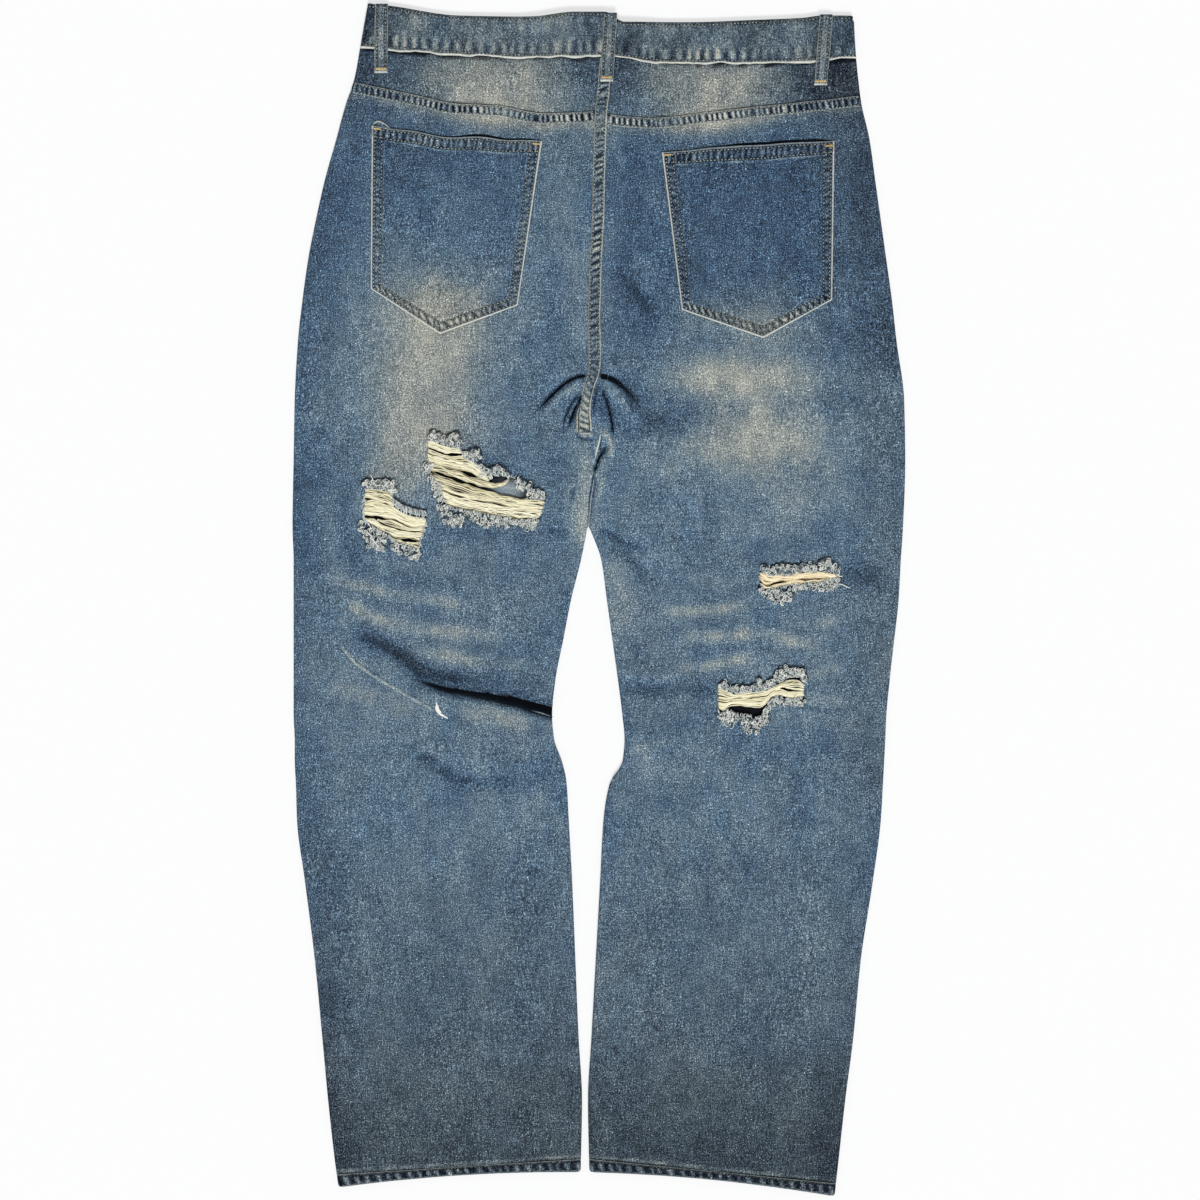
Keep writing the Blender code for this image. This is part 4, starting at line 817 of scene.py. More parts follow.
def shell(name, P, wall, mat, wear_and_shade, tone=None, keep=None, closed=False,
          floor=None, inside_fade=None):
    """A sheet of cloth from a grid of points on its outer face, with its wall.

    Columns run to +X and rows to +Y on an upper face. keep is False for the
    faces of a hole. A closed sheet's last column joins its first.
    """
    rows, cols = P.shape[:2]
    N = normals_of(P)
    if closed:
        ring = np.concatenate([P[:, -2:-1], P, P[:, 1:2]], axis=1)
        N = normals_of(ring)[:, 1:-1]
        P, N = P[:, :-1], N[:, :-1]
        wear_and_shade = wear_and_shade[:, :-1]
        tone = None if tone is None else tone[:, :-1]
    width = P.shape[1]
    inner = P - N * wall
    if floor is not None:
        inner[..., 2] = np.maximum(inner[..., 2], floor)
    if keep is None:
        keep = np.ones((rows - 1, cols - 1), bool)
    index = np.arange(rows * width).reshape(rows, width)
    if closed:
        index = np.concatenate([index, index[:, :1]], axis=1)
    a, b = index[:-1, :-1], index[:-1, 1:]
    c, d = index[1:, 1:], index[1:, :-1]
    outer_faces = np.stack([a, b, c, d], -1)[keep]
    shift = rows * width
    inner_faces = outer_faces[:, ::-1] + shift
    # rims: each edge with a face on one side only
    edges = []
    padded = np.pad(keep, 1)
    if closed:
        padded[1:-1, 0], padded[1:-1, -1] = keep[:, -1], keep[:, 0]
    up, down = padded[1:, 1:-1], padded[:-1, 1:-1]
    e0, e1 = index[:, :-1], index[:, 1:]
    m = up & ~down
    edges.append(np.stack([e0[m], e1[m]], -1))
    m = down & ~up
    edges.append(np.stack([e1[m], e0[m]], -1))
    right, left = padded[1:-1, 1:], padded[1:-1, :-1]
    v0, v1 = index[:-1], index[1:]
    if closed:
        right, left, v0, v1 = right[:, :-1], left[:, :-1], v0[:, :-1], v1[:, :-1]
    m = right & ~left
    edges.append(np.stack([v1[m], v0[m]], -1))
    m = left & ~right
    edges.append(np.stack([v0[m], v1[m]], -1))
    edges = np.concatenate(edges)
    rims = np.stack([edges[:, 1], edges[:, 0], edges[:, 0] + shift,
                     edges[:, 1] + shift], -1)
    points = np.concatenate([P.reshape(-1, 3), inner.reshape(-1, 3)])
    faces = np.concatenate([outer_faces, inner_faces, rims])
    wear_and_shade_out = wear_and_shade.reshape(-1, 4)
    wear_and_shade_in = wear_and_shade_out.copy()
    if inside_fade is not None:
        wear_and_shade_in[:, 0] = inside_fade
    tone_out = np.zeros_like(wear_and_shade_out) if tone is None else tone.reshape(-1, 4).copy()
    tone_in = tone_out.copy()
    tone_in[:, 1] = 1.0
    wears_and_shades = np.concatenate([wear_and_shade_out, wear_and_shade_in])
    tones = np.concatenate([tone_out, tone_in])
    used = np.zeros(len(points), bool)
    used[faces.ravel()] = True
    renumber = np.cumsum(used) - 1
    faces = renumber[faces]
    obj = mesh_piece(name, points[used], [faces], mat, wears_and_shades[used], tones[used])
    SURFACES.append((points[used], faces[:len(outer_faces)]))
    return obj


def pack4(a, b=0.0, c=0.0, d=1.0):
    shape = np.broadcast(a, b, c, d).shape
    return np.stack([np.broadcast_to(v, shape).astype(float) for v in (a, b, c, d)], -1)


class Ground:
    """Rays down (or up) on the finished cloth."""

    def __init__(self):
        points, faces, base = [], [], 0
        for p, f in SURFACES:
            points.append(p)
            faces.append(f + base)
            base += len(p)
        points = np.concatenate(points)
        faces = np.concatenate(faces)
        self.tree = BVHTree.FromPolygons(points.tolist(), faces.tolist())

    def at(self, x, y, up=False):
        if up:
            hit = self.tree.ray_cast(Vector((x, y, -30)), Vector((0, 0, 1)))[0]
        else:
            hit = self.tree.ray_cast(Vector((x, y, 60)), Vector((0, 0, -1)))[0]
        return None if hit is None else hit.z


def tubes(paths, radii, sides=5, taper=0.55):
    """Points, faces and strand number of tubes; paths is (count, n, 3)."""
    paths = np.asarray(paths, float)
    count, n = paths.shape[:2]
    radii = np.broadcast_to(np.asarray(radii, float), (count,))
    T = np.empty_like(paths)
    T[:, 1:-1] = paths[:, 2:] - paths[:, :-2]
    T[:, 0], T[:, -1] = paths[:, 1] - paths[:, 0], paths[:, -1] - paths[:, -2]
    T /= np.maximum(np.linalg.norm(T, axis=2, keepdims=True), 1e-9)
    U = np.empty_like(paths)
    ref = np.where(np.abs(T[:, 0, 2:3]) > 0.8, [[1.0, 0, 0]], [[0, 0, 1.0]])
    u = ref - T[:, 0] * (ref * T[:, 0]).sum(1, keepdims=True)
    for k in range(n):
        u = u - T[:, k] * (u * T[:, k]).sum(1, keepdims=True)
        u = u / np.maximum(np.linalg.norm(u, axis=1, keepdims=True), 1e-9)
        U[:, k] = u
    V = np.cross(T, U)
    ends = np.ones(n)
    ends[0] = ends[-1] = taper
    angle = np.arange(sides) * 2 * math.pi / sides
    ring = (U[:, :, None] * np.cos(angle)[None, None, :, None]
            + V[:, :, None] * np.sin(angle)[None, None, :, None])
    points = paths[:, :, None] + ring * (radii[:, None] * ends[None])[:, :, None, None]
    index = np.arange(count * n * sides).reshape(count, n, sides)
    a, b = index[:, :-1], np.roll(index, -1, axis=2)[:, :-1]
    c, d = np.roll(index, -1, axis=2)[:, 1:], index[:, 1:]
    quads = np.stack([a, b, c, d], -1).reshape(-1, 4)
    caps = np.concatenate([index[:, 0, ::-1], index[:, -1]])
    strand = np.repeat(np.arange(count), n * sides)
    return points.reshape(-1, 3), [quads, caps], strand


def join(parts):
    """Several (points, face groups, values) as one."""
    points, groups, values, base = [], {}, [], 0
    for p, faces, v in parts:
        points.append(p)
        values.append(v)
        for g in faces:
            groups.setdefault(g.shape[1], []).append(g + base)
        base += len(p)
    return (np.concatenate(points), [np.concatenate(g) for g in groups.values()],
            np.concatenate(values))


# ----------------------------------------------------------------- materials
class Graph:
    def __init__(self, name):
        self.mat = bpy.data.materials.new(name)
        self.mat.use_nodes = True
        self.nodes = self.mat.node_tree.nodes
        self.links = self.mat.node_tree.links
        self.nodes.clear()
        self.out = self.nodes.new("ShaderNodeOutputMaterial")
        self.bsdf = self.nodes.new("ShaderNodeBsdfPrincipled")
        self.links.new(self.bsdf.outputs[0], self.out.inputs[0])
        self.coord = self.nodes.new("ShaderNodeTexCoord").outputs["Object"]

    def link(self, a, b):
        self.links.new(a, b)

    def mapped(self, scale, turn=0.0):
        m = self.nodes.new("ShaderNodeMapping")
        m.inputs["Scale"].default_value = scale
        m.inputs["Rotation"].default_value = (0, 0, turn)
        self.link(self.coord, m.inputs["Vector"])
        return m.outputs[0]

    def noise(self, scale, detail=0.0, rough=0.5, turn=0.0, distortion=0.0):
        n = self.nodes.new("ShaderNodeTexNoise")
        n.inputs["Scale"].default_value = 1.0
        n.inputs["Detail"].default_value = detail
        n.inputs["Roughness"].default_value = rough
        n.inputs["Distortion"].default_value = distortion
        self.link(self.mapped(scale, turn), n.inputs["Vector"])
        return n.outputs["Fac"]

    def value(self, socket, v):
        if isinstance(v, (int, float)):
            socket.default_value = v
        else:
            self.link(v, socket)

    def math(self, op, a, b=0.0, c=0.0, clamp=False):
        m = self.nodes.new("ShaderNodeMath")
        m.operation = op
        m.use_clamp = clamp
        for socket, v in zip(m.inputs, (a, b, c)):
            self.value(socket, v)
        return m.outputs[0]

    def around(self, field, amount):
        """(field - 0.5) * amount"""
        return self.math("MULTIPLY_ADD", field, amount, -0.5 * amount)

    def add(self, *terms):
        total = terms[0]
        for t in terms[1:]:
            total = self.math("ADD", total, t)
        return total

    def ramp(self, factor, stops):
        r = self.nodes.new("ShaderNodeValToRGB")
        e = r.color_ramp.elements
        while len(e) > 1:
            e.remove(e[0])
        e[0].position, e[0].color = stops[0][0], (*linear(stops[0][1]), 1)
        for place, colour in stops[1:]:
            s = e.new(place)
            s.color = (*linear(colour), 1)
        self.link(factor, r.inputs[0])
        return r.outputs[0]

    def mix(self, factor, a, b):
        m = self.nodes.new("ShaderNodeMix")
        m.data_type = "RGBA"
        self.value(m.inputs["Factor"], factor)
        for socket, v in ((m.inputs[6], a), (m.inputs[7], b)):
            if isinstance(v, tuple):
                socket.default_value = (*linear(v), 1)
            else:
                self.link(v, socket)
        return m.outputs[2]

    def times(self, colour, factor):
        m = self.nodes.new("ShaderNodeVectorMath")
        m.operation = "SCALE"
        self.link(colour, m.inputs[0])
        self.link(factor, m.inputs["Scale"])
        return m.outputs[0]

    def attribute(self, name):
        a = self.nodes.new("ShaderNodeAttribute")
        a.attribute_name = name
        s = self.nodes.new("ShaderNodeSeparateColor")
        self.link(a.outputs["Color"], s.inputs[0])
        return s.outputs[0], s.outputs[1], s.outputs[2]

    def bump(self, height, distance, strength=1.0):
        b = self.nodes.new("ShaderNodeBump")
        b.inputs["Distance"].default_value = distance
        b.inputs["Strength"].default_value = strength
        self.link(height, b.inputs["Height"])
        self.link(b.outputs[0], self.bsdf.inputs["Normal"])

    def set(self, **values):
        for name, v in values.items():
            self.bsdf.inputs[name.replace("_", " ")].default_value = v


def linear(rgb):
    out = []
    for v in rgb:
        v = v / 255
        out.append(v / 12.92 if v <= 0.04045 else ((v + 0.055) / 1.055) ** 2.4)
    return out


# From unfaded indigo to bare weft: place on the scale, and the colour there.
INDIGO = [
    (-0.30, (9, 14, 27)), (0.00, (38, 49, 68)), (0.23, (64, 79, 96)),
    (0.31, (70, 90, 109)), (0.39, (78, 100, 121)), (0.48, (90, 111, 128)),
    (0.62, (110, 132, 148)), (0.81, (142, 155, 158)), (1.00, (178, 184, 178)),
    (1.30, (216, 216, 206)),
]
BEIGE = [
    (-0.30, (14, 18, 26)), (0.00, (45, 51, 59)), (0.30, (83, 91, 95)),
    (0.48, (108, 115, 116)), (0.65, (130, 136, 134)), (0.81, (152, 154, 148)),
    (1.00, (184, 183, 170)), (1.30, (220, 217, 198)),
]


def on_scale(stops):
    """The scale's -0.3 to 1.3 as a ramp's 0 to 1. Dyed cloth is a little bluer
    than its shade, and worn cloth isn't."""
    rows = []
    for place, colour in stops:
        t = min(max((place - 0.38) / 0.42, 0.0), 1.0)
        dye = (lerp(0.840, 0.89, t), lerp(0.885, 0.90, t), lerp(0.925, 0.91, t))
        rows.append(((place + 0.3) / 1.6, tuple(v * d for v, d in zip(colour, dye))))
    return rows


def denim_material(name, grain=1.0, fixed=None, inner=(150, 164, 172)):
    """Washed denim twill. fixed is the fade of cloth with no attributes."""
    g = Graph(name)
    fleck = g.noise((1040, 760, 700), 1.0, 0.6)
    fine = g.noise((1900, 1500, 1700), 0.0)
    warp = g.noise((860, 130, 300), 1.0, 0.6)
    weft = g.noise((75, 900, 300), 0.0)
    mottle = g.noise((52, 40, 48), 2.0, 0.6)
    wander = g.noise((160, 160, 160), 1.0, 0.5)
    hue = g.noise((34, 24, 30), 2.0, 0.6)
    split = g.nodes.new("ShaderNodeSeparateXYZ")
    g.link(g.coord, split.inputs[0])
    lines = g.add(g.math("MULTIPLY", split.outputs[0], 5600.0),
                  g.math("MULTIPLY", split.outputs[1], -2900.0),
                  g.math("MULTIPLY", split.outputs[2], 2900.0),
                  g.math("MULTIPLY", wander, 14.0))
    twill = g.math("SINE", lines)
    if fixed is None:
        fade, dark, edge = g.attribute("wear_and_shade")
        beige, inside, rope = g.attribute("tone")
    else:
        fade, dark, edge, beige, inside = fixed, 0.0, 0.0, 0.15, 0.0
    # worn cloth shows its weft more, so the streaks grow with the beige
    streak = g.math("MULTIPLY_ADD", beige, 0.10, 0.54) if fixed is None else 0.54
    texture = g.add(
        g.around(fleck, 1.85 * grain), g.around(fine, 1.25 * grain),
        g.math("MULTIPLY", g.math("SUBTRACT", warp, 0.5), streak),
        g.around(weft, 0.22), g.math("MULTIPLY", twill, 0.03),
    )
    level = g.add(g.math("MULTIPLY", texture, 0.32), g.around(mottle, 0.28))
    level = g.math("ADD", level, fade)
    place = g.math("MULTIPLY_ADD", level, 1 / 1.6, 0.3 / 1.6, clamp=True)
    if fixed is None:
        # the dye has washed out unevenly, and the palest cloth is smoothest
        beige = g.math("ADD", beige, g.around(hue, 0.55), clamp=True)
        contrast = g.math("MULTIPLY_ADD", fade, -1.5, 2.50)
    else:
        contrast = 1.78
    colour = g.mix(beige, g.ramp(place, on_scale(INDIGO)), g.ramp(place, on_scale(BEIGE)))
    bright = g.math("POWER", 2.718, g.math("MULTIPLY", texture, contrast))
    colour = g.times(colour, bright)
    if fixed is None:
        bare = g.math("MULTIPLY_ADD", fleck, 0.9, 0.35, clamp=True)
        colour = g.mix(g.math("MULTIPLY", edge, bare, clamp=True), colour, (222, 223, 212))
        pale = g.ramp(g.math("MULTIPLY_ADD", g.add(g.around(fleck, 1.0), g.around(weft, 0.3)),
                             1.0, 0.5, clamp=True),
                      [(0.0, (84, 98, 112)), (0.5, inner), (1.0, (205, 210, 208))])
        colour = g.mix(inside, colour, pale)
        # painted shade: the second channel of the wear attribute pulls the colour to near black
        colour = g.mix(dark, colour, (4, 7, 13))
    g.link(colour, g.bsdf.inputs["Base Color"])
    g.link(g.math("MULTIPLY_ADD", fleck, 0.16, 0.78), g.bsdf.inputs["Roughness"])
    g.set(Sheen_Weight=0.015, Sheen_Roughness=0.4, Specular_IOR_Level=0.06)
    height = g.add(g.math("MULTIPLY", fleck, 0.55), g.math("MULTIPLY", fine, 0.25),
                   g.math("MULTIPLY", warp, 0.25), g.math("MULTIPLY", twill, 0.07))
    g.bump(height, 0.00045, 0.55)
    return g.mat


def thread_material(name, dark, mid, light, tint_from=True, bump=0.00012,
                    rough=0.8):
    """Yarn: tint along "tone" from dark to light, with twist and fuzz, and painted shade from its second channel."""
    g = Graph(name)
    fuzz = g.noise((2200, 2200, 2200), 1.0, 0.6)
    patch = g.noise((240, 400, 300), 1.0, 0.5)
    level = g.add(g.around(fuzz, 0.55), g.around(patch, 0.35))
    if tint_from:
        tint, shadow, _ = g.attribute("tone")
        level = g.math("ADD", level, tint)
    else:
        level = g.math("ADD", level, 0.5)
    place = g.math("ADD", level, 0.0, clamp=True)
    colour = g.ramp(place, [(0.0, dark), (0.5, mid), (1.0, light)])
    if tint_from:
        colour = g.mix(shadow, colour, (22, 24, 26))
    g.link(colour, g.bsdf.inputs["Base Color"])
    g.link(g.math("MULTIPLY_ADD", fuzz, 0.2, rough - 0.1), g.bsdf.inputs["Roughness"])
    g.set(Sheen_Weight=0.08, Specular_IOR_Level=0.2)
    g.bump(fuzz, bump, 0.6)
    return g.mat


denim = denim_material("washed_denim")
denim_band = denim_material("waist_denim", grain=0.9)
denim_plain = denim_material("plain_denim", fixed=0.36)
weft_mat = thread_material("weft_yarn", (166, 152, 112), (236, 228, 190), (252, 248, 224))
weft_warm = thread_material("weft_yarn_warm", (196, 172, 126), (244, 226, 184), (255, 245, 216))
fringe_mat = thread_material("fringe_yarn", (122, 135, 141), (206, 212, 208), (252, 251, 243))
stitch_mat = thread_material("stitch_thread", (50, 54, 57), (116, 121, 118), (180, 187, 180), bump=0.00008, rough=0.65)
tack_mat = thread_material("bar_tack_thread", (138, 112, 66), (202, 172, 112), (234, 210, 156), bump=0.00008, rough=0.6)


# ------------------------------------------------------------ panel geometry
def turn_over(edge, way, height, wrapped, parts=8):
    """The cloth going over an edge, from its top to the seam underneath.

    edge, height and wrapped hold one value for each row.
    """
    radius = height / 2
    xs, zs = [], []
    for k in range(parts):
        t = k / (parts - 1)
        a = math.radians(90 - 180 * t)
        turned_x = edge - way * radius * (1 - math.cos(a))
        turned_z = radius + radius * math.sin(a)
        flat_x = edge - way * (14 - 9 * t)
        xs.append(lerp(flat_x, turned_x, wrapped))
        zs.append(lerp(height, turned_z, wrapped))
    for t in (0.5, 1.0):
        turned_x = edge - way * (radius + WRAP * t)
        flat_x = edge - way * 5 * (1 - t)
        xs.append(lerp(flat_x, turned_x, wrapped))
        zs.append(lerp(height, np.zeros_like(height), wrapped))
    x, z = np.stack(xs, 1), np.stack(zs, 1)
    reach = (way * x).max(axis=1)
    x = x + way * (way * edge - reach)[:, None]
    return x, z


def across_shares(bands, width):
    """Shares of the way across; bands are (up to this distance, spacing)."""
    places, d = [0.0], 0.0
    while d < width:
        d += next(gap for upto, gap in bands if d < upto)
        places.append(min(d, width))
    return np.array(places) / width


def panel_grid(side, rows, shares, line, sub=None):
    """Rows of points: x and y of each, its height from cloth_top.

    rows is (y_out, y_in); line(x, straight, row) gives the real height.
    """
    way_out, way_in = (-1, 1) if side == "left" else (1, -1)
    y_out, y_in = rows
    x_out, x_in = outer_edge(side, y_out), inner_edge(side, y_in)

    def height(x):
        share = (x - x_out[:, None]) / (x_in - x_out)[:, None]
        return line(x, lerp(y_out[:, None], y_in[:, None], share))

    ho = cloth_top(x_out - way_out * 3, height((x_out - way_out * 3)[:, None])[:, 0])
    hi = cloth_top(x_in - way_in * 3, height((x_in - way_in * 3)[:, None])[:, 0])
    ox, oz = turn_over(x_out, way_out, ho, np.ones_like(ho))
    ix, iz = turn_over(x_in, way_in, hi, rolled(y_in))
    start, end = ox[:, 0], ix[:, 0]
    X = lerp(start[:, None], end[:, None], shares[None, 1:-1])
    Y = height(X)
    Z = cloth_top(X, Y)
    P = np.stack([
        np.concatenate([ox[:, ::-1], X, ix], 1),
        np.concatenate([height(ox[:, ::-1]), Y, height(ix)], 1),
        np.concatenate([oz[:, ::-1], Z, iz], 1)], -1)
    turned = ox.shape[1]
    # how far round the edge each point is: 0 on top, 1 at the seam below
    under = np.concatenate([np.linspace(1, 0, turned), np.zeros(X.shape[1]),
                            np.linspace(0, 1, ix.shape[1])])
    under = np.broadcast_to(under, P.shape[:2]).copy()
    under[:, -ix.shape[1]:] *= rolled(y_in)[:, None]
    if side == "right":
        P, under = P[:, ::-1], under[:, ::-1]
    return P, under


def section_rows(side, spacing):
    """Heights of the fine rows between the sections, hem to yoke."""
    k = np.arange(len(SECTIONS))
    o = np.array([s.l_out if side == "left" else s.r_out for s in SECTIONS], float)
    i = np.array([s.l_in if side == "left" else s.r_in for s in SECTIONS], float)
    w = np.array([s.waver for s in SECTIONS], float)
    fo, fi, fw = curve(k, o), curve(k, i), curve(k, w)
    v = [0.0]
    for n in range(len(SECTIONS) - 1):
        drop = max(abs(o[n] - o[n + 1]), abs(i[n] - i[n + 1]))
        mid = (o[n] + o[n + 1] + i[n] + i[n + 1]) / 4
        parts = max(1, int(math.ceil(drop / spacing(mid, side))))
        v += [n + (p + 1) / parts for p in range(parts)]
    # and a few close together just above the hem
    v += [k[-1] - d / 112 for d in (1.1, 2.2, 3.3, 4.8)]
    v = np.unique(np.array(v))[::-1]
    return fo(v), fi(v), fw(v)


def row_spacing(y, side):
    if y > 213:
        return 4.6
    if y > 112:
        return 1.85
    if side == "left":
        return 2.0 if y > 34 else 2.9 if y > 0 else 2.0 if y > -128 else 7.5
    return 3.1 if y > 42 else 1.8 if y > -6 else 2.7 if y > -58 else 1.8 if y > -114 else 7.5


# distance from the outer edge, and the spacing of the columns up to there
ACROSS_BANDS = {
    "left": ((34, 3.3), (112, 1.85), (216, 1.7), (999, 1.45)),
    "right": ((44, 3.3), (160, 1.7), (208, 2.9), (999, 1.45)),
}


def hole_outline(name):
    """The lips of a rip as one ragged outline."""
    rip = RIPS[name]
    rows = []
    for k, lip in enumerate((rip.top, rip.foot)):
        line = Line(on_rip(rip, lip), step=0.9) if k == 0 else None
        pts = on_rip(rip, lip)
        run = np.r_[0, np.cumsum(np.hypot(*np.diff(pts, axis=0).T))]
        t = np.linspace(0, run[-1], max(12, int(run[-1] / 1.0)))
        p = np.stack([np.interp(t, run, pts[:, 0]), np.interp(t, run, pts[:, 1])], 1)
        p[:, 1] += (0.35 if k == 0 else -0.35) + 0.45 * noise(p[:, 0], p[:, 1], 2.6, 2.6, ord(name) + k)
        rows.append(p)
    return np.concatenate([rows[0], rows[1][::-1]])


def inside_of(outline, x, y):
    inside = np.zeros(x.shape, bool)
    q = np.roll(outline, -1, axis=0)
    for (ax, ay), (bx, by) in zip(outline, q):
        if ay == by:
            continue
        crosses = (ay > y) != (by > y)
        inside ^= crosses & (x < (bx - ax) * (y - ay) / (by - ay) + ax)
    return inside


def nearest_on(outline, x, y):
    best = np.full(x.shape, 1e9)
    px, py = x.copy(), y.copy()
    q = np.roll(outline, -1, axis=0)
    for (ax, ay), (bx, by) in zip(outline, q):
        dx, dy = bx - ax, by - ay
        s = np.clip(((x - ax) * dx + (y - ay) * dy) / max(dx * dx + dy * dy, 1e-9), 0, 1)
        cx, cy = ax + s * dx, ay + s * dy
        d = np.hypot(x - cx, y - cy)
        closer = d < best
        best, px, py = (np.where(closer, n, o) for n, o in ((d, best), (cx, px), (cy, py)))
    return best, px, py


def cut_holes(P, keep, outlines, snap):
    """Moves points near an outline on to it and drops the faces inside."""
    for outline in outlines:
        lo, hi = outline.min(0) - 4, outline.max(0) + 4
        box = ((P[..., 0] > lo[0]) & (P[..., 0] < hi[0])
               & (P[..., 1] > lo[1]) & (P[..., 1] < hi[1]))
        x, y = P[..., 0][box], P[..., 1][box]
        d, px, py = nearest_on(outline, x, y)
        move = d < snap
        P[..., 0][box], P[..., 1][box] = np.where(move, px, x), np.where(move, py, y)
        mx = (P[:-1, :-1, 0] + P[:-1, 1:, 0] + P[1:, 1:, 0] + P[1:, :-1, 0]) / 4
        my = (P[:-1, :-1, 1] + P[:-1, 1:, 1] + P[1:, 1:, 1] + P[1:, :-1, 1]) / 4
        keep &= ~inside_of(outline, mx, my)
    return keep


def rip_shadow(side, x, y):
    """Shadow beside the frayed lips, and how pale the fuzz under them is."""
    dark, fuzz = np.zeros(x.shape), np.zeros(x.shape)
    for name, rip in RIPS.items():
        if rip.side != side:
            continue
        curls = np.array(rip.curls, float)
        centres = on_rip(rip, curls[:, :2])
        radii = curls[:, 2] * rip.unit
        lo, hi = centres.min(0) - 8, centres.max(0) + 8
        box = (x > lo[0]) & (x < hi[0]) & (y > lo[1]) & (y < hi[1])
        px, py = x[box], y[box]
        deep, pale = np.zeros(px.shape), np.zeros(px.shape)
        for (cx, cy), r in zip(centres, radii):
            # the shadow falls a little up the leg
            d = np.hypot(px - cx, py - cy - 1.5) - r
            deep = np.maximum(deep, smooth((1.5 - d) / 1.4))
            pale = np.maximum(pale, smooth((0.5 - np.hypot(px - cx, py - cy) + r) / 1.6))
        if rip.combs:
            d, _ = Line(on_rip(rip, rip.combs[0])).measure(px, py)
            deep = np.maximum(deep, smooth((2.6 - np.abs(d - 0.8)) / 1.6))
        dark[box] = np.maximum(dark[box], 0.96 * deep * (1 - 0.52 * pale))
        fuzz[box] = np.maximum(fuzz[box], pale)
    return dark, fuzz


# ------------------------------------------------------------- back panels
PIECES = []


def ride(obj, slot, *nodes):
    PIECES.append((obj, slot, nodes))
    return obj


def waver_line(side, shift, waver):
    first = SECTIONS[0]
    head_out, head_in = ((first.l_out, first.l_in) if side == "left"
                         else (first.r_out, first.r_in))
    x_out, x_in = float(outer_edge(side, head_out)), float(inner_edge(side, head_in))

    def line(x, straight):
        share = (x - x_out) / (x_in - x_out)
        return straight + waver[:, None] * (yoke_foot(x) - lerp(head_out, head_in, share)) + shift

    return line


for side in ("left", "right"):
    y_out, y_in, waver = section_rows(side, row_spacing)
    shares = across_shares(ACROSS_BANDS[side], 252.0)
    P, under = panel_grid(side, (y_out, y_in), shares, waver_line(side, 0.0, waver))
    x, y = P[..., 0].copy(), P[..., 1].copy()
    fade, dark, edge, beige = wear_and_shade_at(x, y, side)
    # a felled seam's edge leaves a pale line below the yoke seam
    drop = yoke_foot(x) - y
    glow = np.exp(-(((drop - SEAM_WIDTH - 1.5) / 3.2) ** 2)) * (0.8 + 0.5 * noise(x, y, 7, 9, 41))
    fade += 0.17 * glow
    beige += 0.35 * glow
    deep, fuzz = rip_shadow(side, x, y)
    dark = np.maximum(dark, deep)
    fade += 0.22 * fuzz * (1 + 0.5 * noise(x, y, 2.6, 2.6, 47))
    foot_glow = np.exp(-(((y - y[0:1] - 2.4) / 1.5) ** 2)) * (0.75 + 0.6 * noise(x, y * 0, 9, 1, 48))
    fade += 0.44 * foot_glow
    beige += 0.6 * foot_glow
    # painted shade where the cloth rolls under at the edges
    roll = smooth((under - 0.10) / 0.35)
    fade = fade - 0.05 * roll
    shift = lap_at(x, y)[0]
    P[..., 1] -= shift
    top = P[..., 2] > 2.0
    keep = np.ones((P.shape[0] - 1, P.shape[1] - 1), bool)
    flat = P.copy()
    flat[..., 1] = np.where(under > 0.3, 1e6, flat[..., 1])
    outlines = [hole_outline(n) for n, rip in RIPS.items() if rip.side == side]
    moved = flat.copy()
    keep = cut_holes(moved, keep, outlines, 0.95)
    P[..., 0] = np.where(under > 0.3, P[..., 0], moved[..., 0])
    P[..., 1] = np.where(under > 0.3, P[..., 1], moved[..., 1])
    obj = shell("back_" + side + "_cloth", P, CLOTH, denim,
                pack4(fade, dark, edge), pack4(np.clip(beige, 0, 1)),
                keep=keep, floor=1.25)
    ride(obj, "denim", "back_" + side)
    print("back", side, P.shape, P[0, 78].round(1), P[4, 78].round(1), P[-1, 78].round(1))

back_ground = Ground()


def on_back(xy):
    """Height of the back panels' outer face at each point."""
    guess = cloth_top(xy[..., 0], xy[..., 1])
    z = np.empty(guess.shape)
    for place in np.ndindex(guess.shape):
        hit = back_ground.at(float(xy[place][0]), float(xy[place][1]))
        z[place] = guess[place] if hit is None else max(hit, guess[place] - 1.0)
    return z


# ------------------------------------------------------------------- yokes
for side in ("left", "right"):
    x_ref = -219.0 if side == "left" else 232.0
    levels = np.array([-5.0, -1.6, -0.4, 0.6, 1.6, 3.0, 5.0])
    shares_up = np.linspace(0.16, 1.08, 16)

    def yoke_y(x, low, share):
        return lerp(yoke_foot(x) + low, band_foot(x), share)

    lows = np.concatenate([levels, np.zeros(16)])
    ups = np.concatenate([np.zeros(7), shares_up])
    y_out = yoke_y(x_ref, lows, ups)
    y_in = yoke_y(3.0, lows, ups)
    shares = across_shares(((999, 2.3),), 228.0)
    P, under = panel_grid(side, (y_out, y_in), shares,
                          lambda x, _s: yoke_y(x, lows[:, None], ups[:, None]))
    x, y = P[..., 0], P[..., 1]
    fade, dark, edge, beige = wear_and_shade_at(x, y, side)
    # painted shadow: a dark line on the yoke just above the seam's fold and another under the waistband's foot, with
    # painted shade just below the band
    above = y - yoke_foot(x)
    dark = np.maximum(dark, 0.85 * smooth((2.0 + 0.5 * noise(x, y * 0, 9, 1, 52) - above) / 1.5))
    below = band_foot(x) - y
    dark = np.maximum(dark, 0.92 * smooth((2.5 + 0.7 * noise(x, y * 0, 8, 1, 53) - below) / 1.5))
    fade -= 0.10 * np.exp(-((below / 6) ** 2))
    dark *= (under < 0.6)
    obj = shell("yoke_" + side + "_cloth", P, CLOTH, denim,
                pack4(fade, dark, edge), pack4(beige))
    ride(obj, "denim_waist", "yoke_" + side)


